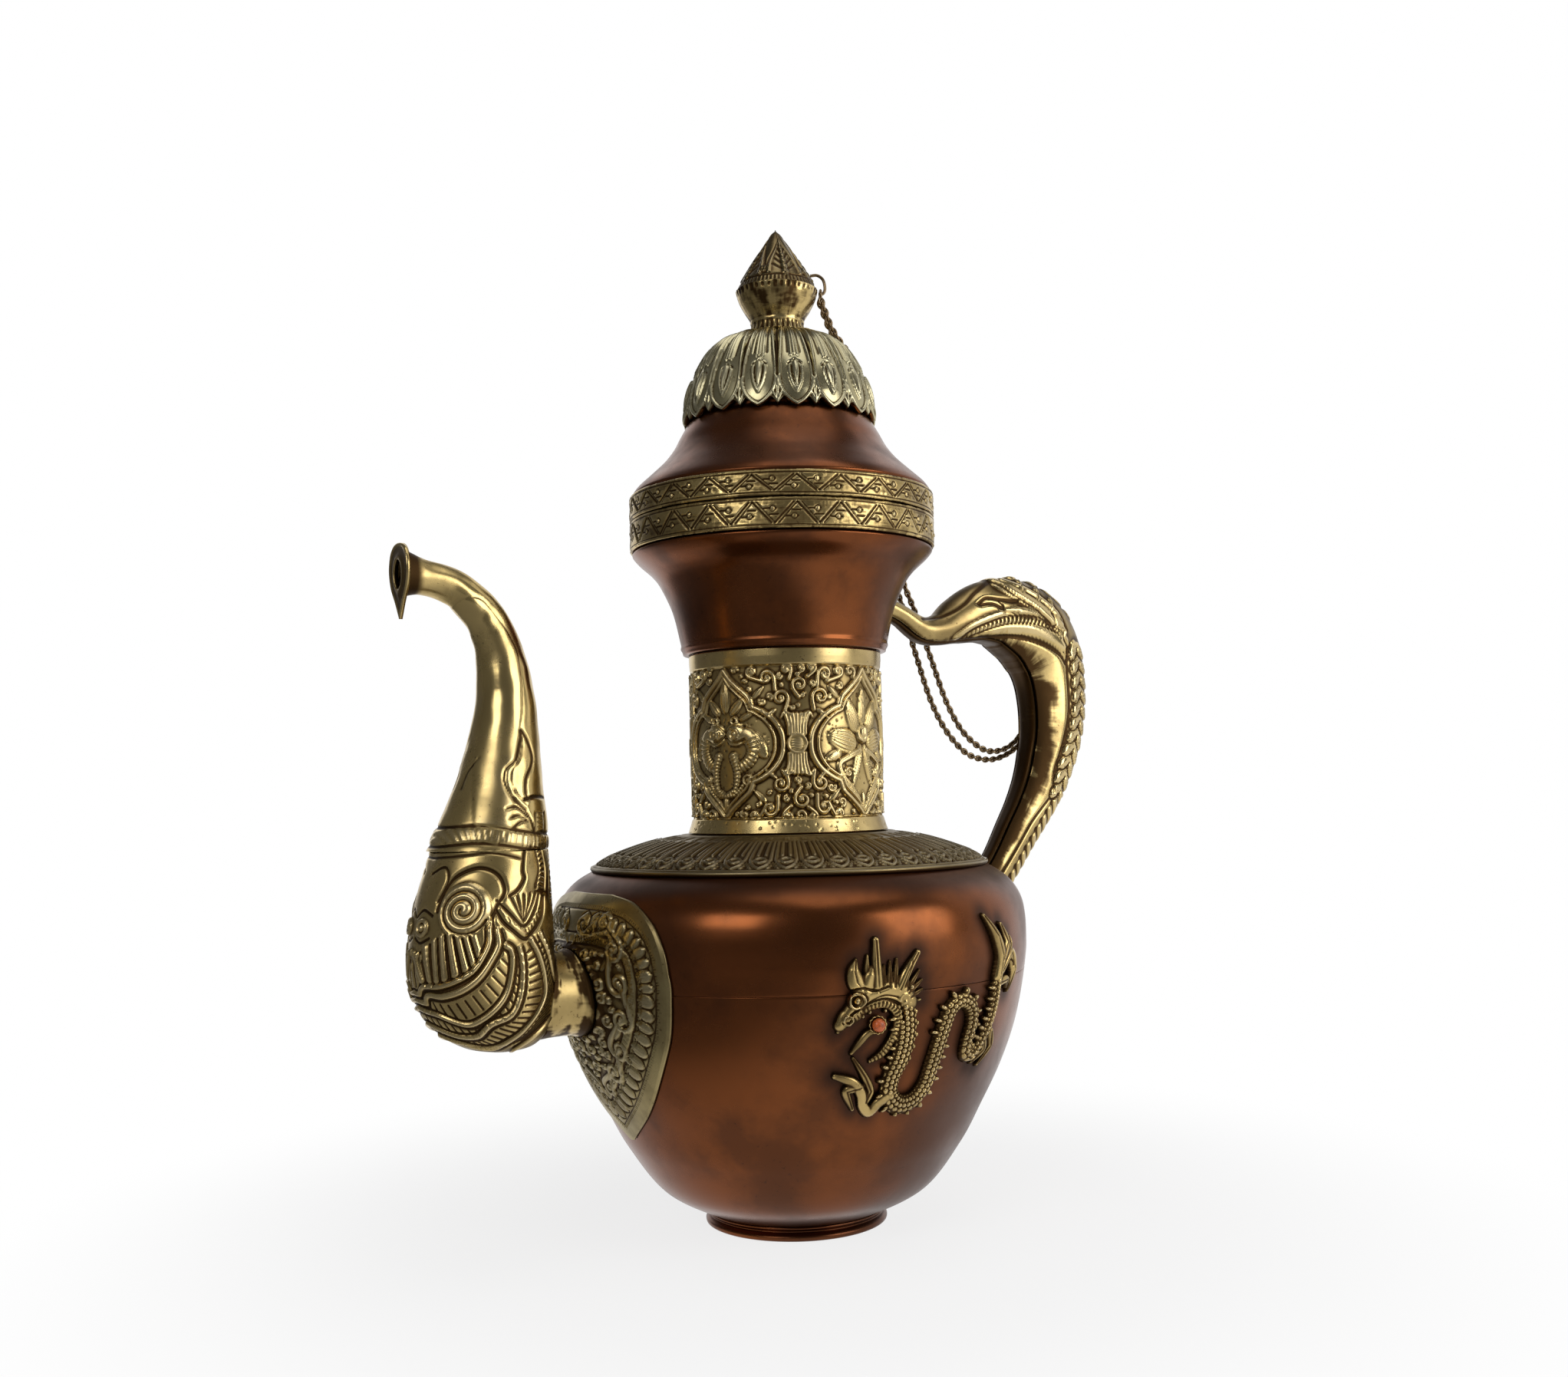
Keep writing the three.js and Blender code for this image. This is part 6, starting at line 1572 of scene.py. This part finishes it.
DRAGON_BODY = [
    [261.4, 86.9, 3.6], [262.6, 77, 3.6], [262.1, 68.6, 3.3], [260.4, 61.6, 3.1], [260.6, 56, 3.1],
    [263.6, 52.2, 3], [267.7, 52.8, 3], [270.4, 57.6, 2.9], [271.2, 64, 2.8], [272, 70.4, 2.7],
    [273.4, 78.4, 2.6], [274.9, 82.6, 2.5], [277.9, 84.4, 2.4], [281.1, 81.6, 2.3], [282, 76.4, 2.2],
    [281.4, 71.6, 2.2], [281.6, 67, 2.2], [284, 65.6, 2.2], [286.2, 69.4, 2.3], [288.2, 74.3, 2.2],
    [289.4, 79.9, 2], [289.8, 86, 1.8], [290, 92, 1.6]]
DRAGON_LIMBS = (
    [[262.4, 85.6, 3.2], [260.4, 88.6, 3.6], [257, 89.4, 3.4], [254, 88.4, 3.0], [251.4, 87, 2.8],
    [249.8, 84.6, 2.3], [248.4, 81.8, 2.0], [247.2, 79.2, 1.4], [246.8, 77.8, 0.7]], [[249.6, 80.8, 0.9],
    [251.6, 83.2, 1.1], [254, 85.2, 1.3], [257, 85.8, 1.4], [259.6, 83.6, 1.4], [260.3, 79, 1.4],
    [259.2, 74.2, 1.3], [257.2, 70, 1.2], [254.6, 67.8, 0.7]], [[255.6, 77.8, 0.9], [253.4, 76.6, 1.2],
    [251.8, 74, 1.1], [250, 70.7, 0.6]], [[252.4, 89.6, 2.0], [250.6, 93, 2.5], [250, 96.6, 1.8],
    [250.6, 99.8, 0.5]], [[252.6, 89.4, 2.6], [253.2, 93, 2.2], [253.8, 96.4, 1.4]], [[250.4, 83.6, 2.6],
    [248.6, 82, 2.6], [247.2, 79.8, 1.8]], [[255.4, 89.8, 1.8], [255, 97, 1.6], [255, 105.6, 1.0]],
    [[254, 91, 1.2], [253, 96, 1.1], [253.1, 101, 0.4]], [[260.2, 90, 1.8], [262, 95.4, 1.5],
    [264.8, 101, 0.9]], [[256.4, 91, 1.3], [256.8, 97.6, 0.4]], [[257.8, 91, 1.3], [258.2, 98.8, 0.4]],
    [[259, 91, 1.3], [259.8, 99.4, 0.4]], [[261.4, 91, 1.3], [263.2, 98.4, 0.4]], [[262, 89.6, 1.3],
    [265.2, 95.4, 0.4]], [[262.2, 88.6, 1.3], [266, 92.4, 0.4]], [[262.6, 87.2, 1.3], [266.2, 89.4, 0.4]],
    [[262.6, 85.4, 1.2], [265.8, 86.2, 0.4]], [[260.6, 55.9, 2.1], [257.9, 53.6, 1.9], [255.9, 50.8, 1.8],
    [254, 53, 1.7], [253, 57.4, 1.7], [250.6, 61.2, 1.6], [246.4, 63.4, 0.9]], [[254.4, 54.2, 1.3],
    [255.4, 57.8, 1.3], [253.6, 62.6, 1.2], [250.5, 69, 0.5]], [[252.8, 59.2, 1.3], [249.4, 58.2, 1.5],
    [251.4, 52.1, 0.7]], [[290, 90, 2.0], [290.8, 97, 2.1], [289, 103.4, 1.7], [285.2, 110.4, 0.7]],
    [[290.6, 95, 1.7], [293.4, 101, 1.5], [291.6, 107, 0.7]], [[291, 93, 1.6], [294.8, 100, 1.5],
    [294.6, 103.4, 0.6]], [[291, 92, 1.7], [295, 97.4, 2.0], [297.2, 91.8, 1.8], [296.4, 84.6, 0.6]],
    [[291.4, 88, 1.3], [294.2, 88.6, 1.4], [295.4, 86, 0.6]], [[287, 70.6, 1.6], [288.4, 66.4, 1.4],
    [285.4, 62.8, 0.6]], [[290.2, 72, 1.4], [291.8, 67, 1.2], [288.6, 61.4, 0.6]])
CORAL = {"angle": 255.5, "z": 79.4, "radius": 2.1}
DEGREE_RUN = 1.42


def on_belly(arc, z, out):
    """Points in space from a distance round the belly, a height and a distance off it."""
    angle = arc / DEGREE_RUN * (math.pi / 180)
    radius = np.minimum(belly_radius(z) + out, -FRAME_BOX[0][1] / MM / np.abs(np.sin(angle)))
    return np.stack([radius * np.cos(angle), radius * np.sin(angle), z + 0 * angle], -1)
DRAGON_BEADS = (
    (249.0, 81.6, 1.0, 2.7), (262.9, 90.6, 0.9, 3.2), (264.6, 82.6, 0.9, 1.9), (265.2, 79, 0.9, 1.9),
    (265.3, 75.2, 0.9, 1.8), (265, 71.4, 0.9, 1.7), (264.4, 67.6, 0.8, 1.6), (252.2, 82.2, 0.7, 1.9),
    (253.7, 83.4, 0.7, 1.9), (257.2, 83.6, 0.7, 1.9))
DRAGON_CUTS = (
    ([[249.4, 90.2], [251.8, 91.2], [254.6, 90.2], [257.4, 91.2]], 0.9, 0.9), ([[249.2, 82.8], [251.4, 85.0],
    [254, 86.9], [257.2, 87.4], [260.4, 85.2], [261.4, 80.6]], 0.9, 1.1), ([[253.8, 87.2], [256.6, 88.6],
    [259.6, 87.8]], 0.8, 0.6), ([[247.6, 80.6], [249.6, 80.2]], 0.7, 0.6))


def draw_dragon(sheet):
    """Scaled body, horned head with mane and open jaws, clawed legs and feathered tail."""
    for path in DRAGON_LIMBS:
        line = np.multiply(path, [DEGREE_RUN, 1, 1.15])
        sheet.limb(line, 0.5)
        if 1.2 < path[0][2] < 2.05:
            sheet.cut(line[:, :2], 0.6, 0.4)
    body = np.multiply(DRAGON_BODY, [DEGREE_RUN, 1, 1.1])
    sheet.limb(body, 0.75, 1.75)
    spine = even(curve(body, 10), 74)
    along = np.gradient(spine[:, :2], axis=0)
    along /= np.linalg.norm(along, axis=1, keepdims=True)
    for k in range(3, 72):
        side = 1 if k < 36 else -1
        out = side * np.array([along[k, 1], -along[k, 0]])
        x, z = spine[k, :2] + out * (spine[k, 2] + 0.3)
        if k % 2:
            sheet.boss(x, z, 1.15, 1.5, 2.2, math.atan2(out[0], out[1]), 0.3)
    for angle, z, radius, high in DRAGON_BEADS:
        sheet.boss(angle * DEGREE_RUN, z, radius, radius, high)
    eye = (250.7 * DEGREE_RUN, 87.2)
    sheet.ring(*eye, 2.3, 0.7, 3.3)
    sheet.boss(*eye, 1.5, 1.5, 3.8)
    sheet.ring(248.8 * DEGREE_RUN, 81.4, 1.4, 0.6, 3.2)
    sheet.cut(spiral(*eye, 3.2, 1.0, 1), 0.7, 0.7)
    for path, half, depth in DRAGON_CUTS:
        sheet.cut(curve(np.multiply(path, [DEGREE_RUN, 1]), 6), half, depth)
    lip = np.multiply(DRAGON_LIMBS[1], [DEGREE_RUN, 1, 1])[:, :2]
    sheet.rungs(curve(lip, 6), 0.7, 1.2, 0.4)
    sheet.cut(spiral(294.6 * DEGREE_RUN, 93, 2.4, 1.4, 1), 0.8, 0.6)


def casting(name, sheet):
    """A closed mesh of everything that stands out of a sheet laid on the belly."""
    keep = sheet.rise > 0.08
    out = np.where(keep, SEAT + np.maximum(sheet.beaten, 0.1), -0.1)
    points = on_belly(sheet.across, sheet.along, out).reshape(-1, 3)
    back = on_belly(sheet.across, sheet.along, np.full(out.shape, -0.4)).reshape(-1, 3)
    rows, columns = keep.shape
    r, c = np.meshgrid(np.arange(rows - 1), np.arange(columns - 1), indexing="ij")
    quads = (r * columns + c)[..., None] + np.array([0, 1, columns + 1, columns])
    quads = quads.reshape(-1, 4)
    quads = quads[keep.ravel()[quads].any(1)]
    behind = quads[:, ::-1] + np.where(keep.ravel()[quads[:, ::-1]], len(points), 0)
    shade = np.clip(shading(sheet.beaten, 2, 0.6, 2.8, False), 0, 0.85).ravel()
    used, quads = np.unique(np.vstack([quads, behind]), return_inverse=True)
    return forge(
        name, np.vstack([points, back])[used], quads.reshape(-1, 4),
        NO_FANS, np.concatenate([shade, shade * 0])[used])


class PITCHER_OT_dragon(Operator):
    """Lay the scaled dragon on the belly, with the coral in its claw"""
    bl_idname = "pitcher.dragon"
    bl_label = "Dragon and coral"

    def execute(self, context):
        sheet = Chased(np.arange(244, 301, 0.17)[None] * DEGREE_RUN, np.arange(48.5, 113.5, 0.24)[:, None])
        draw_dragon(sheet)
        fit(casting("dragon_relief", sheet), "dragon_brass", "dragon")
        radius, low = CORAL["radius"], SEAT + 0.25
        cup = curve([[0.05, 0], [radius + 0.5, 0], [radius + 0.75, 1], [radius + 0.75, 1.7]], 6)
        inside = [[0.05, 0.7], [radius + 0.1, 0.7], [radius + SEAT, 1.2], [radius + SEAT, 1.7]]
        rise = 0.16 * np.cos(np.arange(96) * (FULL_TURN / 8))[None] * np.clip(cup[:, 1:] - 0.6, 0, 1)
        bead_line = curve([
            [0.05, 0], [radius - 0.5, 0], [radius - 0.15, 0.6], [radius, 1.4], [radius * 0.86, 2.3],
            [radius * 0.5, 2.9], [0.05, 3.1]], 8)
        fit(self.planted(spun("coral_claw_cup", cup, 96, inside, rise), low), "dragon_brass",
            "coral_cup")
        fit(self.planted(spun("coral_bead_dome", bead_line, 96), low + 0.7 + SEAT), "coral", "coral_bead")
        return {"FINISHED"}

    def planted(self, obj, height):
        """Turns a piece so that it stands on the belly."""
        place = polar(CORAL["angle"], float(belly_radius(CORAL["z"])) + height, CORAL["z"])
        turn = Matrix.Rotation(math.radians(CORAL["angle"]), 4, "Z") @ Matrix.Rotation(math.pi / 2, 4, "Y")
        obj.data.transform(Matrix.Translation(Vector(place) * MM) @ turn)
        return obj


# Lid

FLUTE = 0.5
BELL_TOP = DOME_TOP - BRASS_WALL - SEAT - 0.8
BELL_FLARE = curve([
    [MOUTH_RADIUS + 0.4, LID_BAND_TOP + 0.8], [51, 258.9], [46, 263.4], [41.4, 267.8], [38, 272.2],
    [35.6, 276.6], [DOME_RADIUS - 1.3, DOME_EDGE - 0.3]])
CONE_LINE = curve([
    [CREASE_RADIUS - 0.1, CREASE_HEIGHT + SEAT], [13.3, 332], [9.8, 337.6], [7.8, 340.6], [4.6, 345.6],
    [2, 349.6], [0.05, TIP_HEIGHT]])


class PITCHER_OT_bell(Operator):
    """Raise the copper bell of the lid"""
    bl_idname = "pitcher.bell"
    bl_label = "Lid bell"

    def execute(self, context):
        low = MOUTH_TOP + LID_GAP + 0.2
        under = inset(DOME_LINE, BRASS_WALL + FLUTE + 1.2)[6::8]
        line = np.vstack([
            [[MOUTH_RADIUS - 0.1, low], [MOUTH_RADIUS - 0.1, LID_BAND_TOP + SEAT]], BELL_FLARE, under,
            [[3, BELL_TOP]]])
        line = even(line, 170)
        fit(spun("bell", line, 224, shell_line(line, COPPER_WALL)), "lid_copper", "lid_bell",
            "lid")
        return {"FINISHED"}


def dome_petal(sheet, half):
    """One petal of the cap, with its outline, ribs and drop, and half a small leaf on each side."""
    for flank in sheet.halves():
        flank.ridge(curve([
            [0.4 * half, 46], [0.62 * half, 36], [0.8 * half, 22], [0.92 * half, 12], [0.8 * half, 6],
            [0.4 * half, 2.2], [0, 0.4]], 6), 0.62, 0.85)
        flank.groove(curve([[0.26 * half, 46], [0.36 * half, 30], [0.4 * half, 20]], 6), 0.5, 0.35)
        flank.ridge(curve([[0, 17.4], [2.1, 14.6], [2.3, 12], [1.5, 8], [0, 4.8]], 6), 0.5, 0.75)
        flank.ridge([[0.9, 46], [1.15, 30], [1.3, 18.6]], 0.45, 0.6)
        flank.groove(curve([[half, 46], [half, 16], [0.98 * half, 11]], 6), 0.75, 0.75)
        leaf = [[half, 9.6], [0.8 * half, 6.4], [0.78 * half, 4.6], [half, 1.6]]
        flank.ridge(curve(leaf, 6), 0.5, 0.6)
        flank.ridge([[half, 9.4], [half, 1.8]], 0.5, 0.75)
    sheet.ridge([[0, 46], [0, 30], [0, 19.2]], 0.5, 0.75)
    sheet.boss(0, 11.2, 1.9, 5.4, 1.15, math.pi, 0.75)
    sheet.groove([[-2.2, 15.2], [0, 17], [2.2, 15.2]], 0.7, 0.8)


class PITCHER_OT_dome(Operator):
    """Chase the petalled cap of the lid"""
    bl_idname = "pitcher.dome"
    bl_label = "Petalled cap"

    def execute(self, context):
        petals = context.scene.pitcher_sizes.petals
        columns, rows = 40, 130
        line = even(DOME_LINE, rows)
        half = math.pi * DOME_RADIUS / petals
        across = np.linspace(-1, 1, columns, endpoint=False) * half
        tip = np.abs(across) / half
        notch = 3.0 * np.minimum(1, tip * 1.5) ** 1.3 - 2.4 * np.clip((tip - 0.72) / 0.28, 0, 1)
        run = run_along(line)[:, None]
        run = run + notch[None] * np.clip(1 - run / 9, 0, 1)
        sheet = Chased(np.broadcast_to(across[None], run.shape), run)
        dome_petal(sheet, half)
        swell = 0.5 * np.cos(across / half * math.pi / 2)[None] * np.clip(run / 6, 0, 1)
        beaten = sheet.rise * np.clip((line[:, :1] - 9) / 14, 0.15, 1) + swell
        rise = np.tile(beaten - 0.7, (1, petals))
        run = np.tile(run, (1, petals))
        shade = np.tile(shading(beaten, 2, 0.35, -0.2), (1, petals))
        arc = run_along(line)
        radius, height = (np.interp(run, arc, line[:, k]) for k in (0, 1))
        normal = outward(line)
        radius = radius + np.interp(run, arc, normal[:, 0]) * rise
        height = height + np.interp(run, arc, normal[:, 1]) * rise
        facets = columns * petals
        inner = inset(line, BRASS_WALL + 0.9)[::10][::-1]
        lift = np.zeros((len(inner), facets))
        lift[-1] = np.interp(run[0], arc, line[:, 1]) - line[0, 1]
        radius = np.vstack([radius, inner[:, :1] + 0 * lift])
        height = np.vstack([height, inner[:, 1:] + lift])
        turn = (np.arange(facets) - columns / 2) * (FULL_TURN / facets)
        rings = np.stack([radius * np.cos(turn), radius * np.sin(turn), height], -1)
        shade = np.vstack([shade, np.full(lift.shape, 0.3)])
        fit(ring_body("petal_cap", rings, True, shade), "silvery_brass", "lid_dome", "lid")
        return {"FINISHED"}


class PITCHER_OT_finial(Operator):
    """Turn the finial's brass cup and copper tip"""
    bl_idname = "pitcher.finial"
    bl_label = "Finial"

    def execute(self, context):
        line = even(curve([
            [10, DOME_TOP + SEAT + 0.4], [9.4, 317], [9.7, 319], [11.9, 322.6], [13.6, 325.9],
            [CREASE_RADIUS, CREASE_HEIGHT]]), 60)
        facets = 160
        across = np.arange(facets)[None]
        rise = -0.35 * (across % 5 < 2) * np.exp(-((line[:, 1:] - 315.6) / 1.3) ** 2)
        rise = rise + 0.25 * np.exp(-((line[:, 1:] - 318) / 0.5) ** 2)
        rise = rise - 0.3 * (across % 4 < 2) * np.exp(-((line[:, 1:] - 328.4) / 0.9) ** 2)
        inner = inset(line, 1)[8:-4:8]
        inner = np.vstack([
            [[2.9, DOME_TOP + SEAT], [2.9, DOME_TOP + 2], [7, DOME_TOP + 2]],
            inner, [[CREASE_RADIUS - 1.2, CREASE_HEIGHT]]])
        streaks = blotches(8, rise.shape, 9, 2)
        cup = spun("finial_bulb", line, facets, inner, rise, shading(rise, 2, 0.25) - 0.12 + 0.9 * streaks)
        fit(cup, "chased_brass", "finial_cup", "lid")
        cone = even(CONE_LINE, 90)
        inner = inset(cone, 1)
        inner = inner[(inner[:, 0] > 1.2) & (inner[:, 1] > CREASE_HEIGHT + SEAT)][::8]
        inner = np.vstack([[CREASE_RADIUS - 1.3, CREASE_HEIGHT + SEAT], inner, [0.4, inner[-1, 1] + 0.6]])
        rise = self.leaves(cone)
        tip = spun("finial_tip", cone, rise.shape[1], inner, rise, shading(rise, 2, 0.5))
        fit(tip, "cone_bronze", "finial_cone", "lid")
        return {"FINISHED"}

    def leaves(self, cone):
        """Five veined leaves with beads between their feet, fading towards the tip."""
        columns, period = 44, 14
        across = np.linspace(-0.5, 0.5, columns, endpoint=False) * period
        sheet = Chased(across[None], run_along(cone)[:, None])
        sheet.ridge([[0, 3], [0, 24]], 1.0, 0.7)
        sheet.rungs([[-7, 1.4], [7, 1.4]], 0.9, 1.1, 0.5)
        sheet.cut([[-7, 2.8], [7, 2.8]], 0.8, 0.5)
        edge = curve([[5.4, 4], [5.2, 9], [3.4, 15], [0, 22]], 6)
        for flank in sheet.halves():
            flank.ridge(edge, 0.8, 0.5)
            flank.cut(edge * [1.22, 1], 1.1, 0.6)
            flank.boss(7, 6, 1.7, 1.7, 0.8)
            for k in range(5):
                flank.cut([[0, 4.6 + 2.8 * k], [4 - 0.6 * k, 7.8 + 2.8 * k]], 0.8, 0.45)
        fade = np.clip(cone[:, :1] / 8, 0, 1)
        return np.tile(sheet.beaten * fade - 0.35, (1, 5))


class PITCHER_OT_fittings(Operator):
    """Finish the inner pieces that keep their frame shapes"""
    bl_idname = "pitcher.fittings"
    bl_label = "Hidden fittings"

    def execute(self, context):
        for node, metal in (
                ("neck_tube", "inner_copper"), ("finial_rivet", "hidden_fitting"),
                ("finial_washer", "hidden_fitting")):
            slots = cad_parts[node].data.materials
            slots.clear()
            slots.append(finish(metal))
        return {"FINISHED"}


# Stage

class PITCHER_OT_stage(Operator):
    """Lay the white floor and backdrop and set the soft lamps"""
    bl_idname = "pitcher.stage"
    bl_label = "Floor, backdrop and lamps"

    def execute(self, context):
        scene = context.scene
        scene.view_settings.view_transform = "Standard"
        paper = tuple(scene.pitcher_finishes.paper)
        world = bpy.data.worlds.new("studio")
        scene.world = world
        world.use_nodes = True
        tree = world.node_tree
        path = tree.nodes.new("ShaderNodeLightPath").outputs
        seen = arithmetic(tree, "ADD", path["Is Camera Ray"], path["Is Transmission Ray"])
        grey = blend_colour(tree, (0.13, 0.13, 0.13), (1, 1, 1), seen)
        feed(tree, tree.nodes["Background"], {0: grey})
        floor = paper_sheet("floor", [[-3, -3, 0], [3, -3, 0], [3, 3, 0], [-3, 3, 0]], paper, 0.8)
        floor.location.z = -0.0002
        arc = np.linspace(math.radians(-30), math.radians(144), 24)
        rings = [[[2.6 * math.cos(a), 2.6 * math.sin(a), z] for a in arc] for z in (-0.01, 3.0)]
        wall = paper_sheet("backdrop", rings[0] + rings[1], paper, 1.0, len(arc))
        for name, place, size, power in (
                ("window_lamp", (-1.1, -0.6, 0.75), 0.6, 3.6), ("side_lamp", (0.6, -1.12, 0.5), 0.8, 7.4),
                ("top_lamp", (0.1, -0.35, 1.5), 1.0, 4.4)):
            data = bpy.data.lights.new(name, "AREA")
            data.size = size
            data.energy = power
            lamp = bpy.data.objects.new(name, data)
            lamp.location = place
            aim = Vector((0, 0, 0.15)) - lamp.location
            lamp.rotation_euler = aim.to_track_quat("-Z", "Y").to_euler()
            scene.collection.objects.link(lamp)
        return {"FINISHED"}


def paper_sheet(name, points, paper, glow, columns=0):
    """Floor or backdrop: white paper that also shows its own white to the camera and to reflections, except
    the part towards -X in front of the pitcher, which reflections see dark grey: a painted dark reflection.
    """
    mesh = bpy.data.meshes.new(name)
    if columns:
        faces = [[i, i + 1, i + 1 + columns, i + columns] for i in range(columns - 1)]
    else:
        faces = [[0, 1, 2, 3]]
    mesh.from_pydata(points, [], faces)
    material, tree, shader, place = blank(f"{name}_paper")
    path = tree.nodes.new("ShaderNodeLightPath").outputs
    away = add_node(tree, "VectorMath", {0: place}, "Value", operation="LENGTH")
    front = tree.nodes.new("ShaderNodeVectorMath")
    front.operation = "DOT_PRODUCT"
    front.inputs[1].default_value = (-0.993, -0.122, 0)
    feed(tree, front, {0: place})
    # Painted dark reflection: seen by glossy rays, the part towards -X turns dark grey and stops glowing.
    glossy = path["Is Glossy Ray"]
    mirrored = times(tree, glossy, between(tree, front.outputs["Value"], 0.03, 0.2, 1.0, 0.05))
    shade = arithmetic(tree, "SUBTRACT", glossy, mirrored)
    base = blend_colour(tree, paper, (0.3, 0.3, 0.3), shade)
    feed(tree, shader, {"Base Color": base, "Roughness": 0.9, "Specular IOR Level": 0.0})
    seen = arithmetic(tree, "ADD", path["Is Camera Ray"], mirrored)
    seen = arithmetic(tree, "ADD", seen, path["Is Transmission Ray"])
    seen = times(tree, seen, between(tree, away, 0.1, 0.3, glow, 1.0))
    shine = add_node(tree, "Emission", {})
    mix = add_node(tree, "MixShader", {0: seen, 1: shader.outputs[0], 2: shine})
    feed(tree, tree.nodes["Material Output"], {"Surface": mix})
    mesh.materials.append(material)
    obj = bpy.data.objects.new(name, mesh)
    bpy.context.scene.collection.objects.link(obj)
    return obj


STEPS = (
    PITCHER_OT_camera, PITCHER_OT_chain, PITCHER_OT_eyes, PITCHER_OT_belly, PITCHER_OT_shoulder,
    PITCHER_OT_sleeve, PITCHER_OT_funnel, PITCHER_OT_bands, PITCHER_OT_shield, PITCHER_OT_bulb,
    PITCHER_OT_trunk, PITCHER_OT_handle, PITCHER_OT_dragon, PITCHER_OT_bell, PITCHER_OT_dome,
    PITCHER_OT_finial, PITCHER_OT_fittings, PITCHER_OT_stage)


class PITCHER_PT_parts(Panel):
    """Lists the pitcher's sizes, colours and pieces"""
    bl_idname = "PITCHER_PT_parts"
    bl_label = "Ritual pitcher"
    bl_space_type = "VIEW_3D"
    bl_region_type = "UI"
    bl_category = "Pitcher"

    def draw(self, context):
        layout = self.layout
        for settings in (context.scene.pitcher_sizes, context.scene.pitcher_finishes):
            box = layout.box()
            for name in settings.__annotations__:
                box.prop(settings, name)
        for step in STEPS:
            layout.operator(step.bl_idname)


CLASSES = (PitcherSizes, PitcherFinishes, *STEPS, PITCHER_PT_parts)


def register():
    for cls in CLASSES:
        bpy.utils.register_class(cls)
    bpy.types.Scene.pitcher_sizes = PointerProperty(type=PitcherSizes)
    bpy.types.Scene.pitcher_finishes = PointerProperty(type=PitcherFinishes)


def unregister():
    del bpy.types.Scene.pitcher_finishes
    del bpy.types.Scene.pitcher_sizes
    for cls in reversed(CLASSES):
        bpy.utils.unregister_class(cls)


def main():
    register()
    for step in STEPS:
        category, action = step.bl_idname.split(".")
        getattr(getattr(bpy.ops, category), action)()


if __name__ == "__main__":
    main()
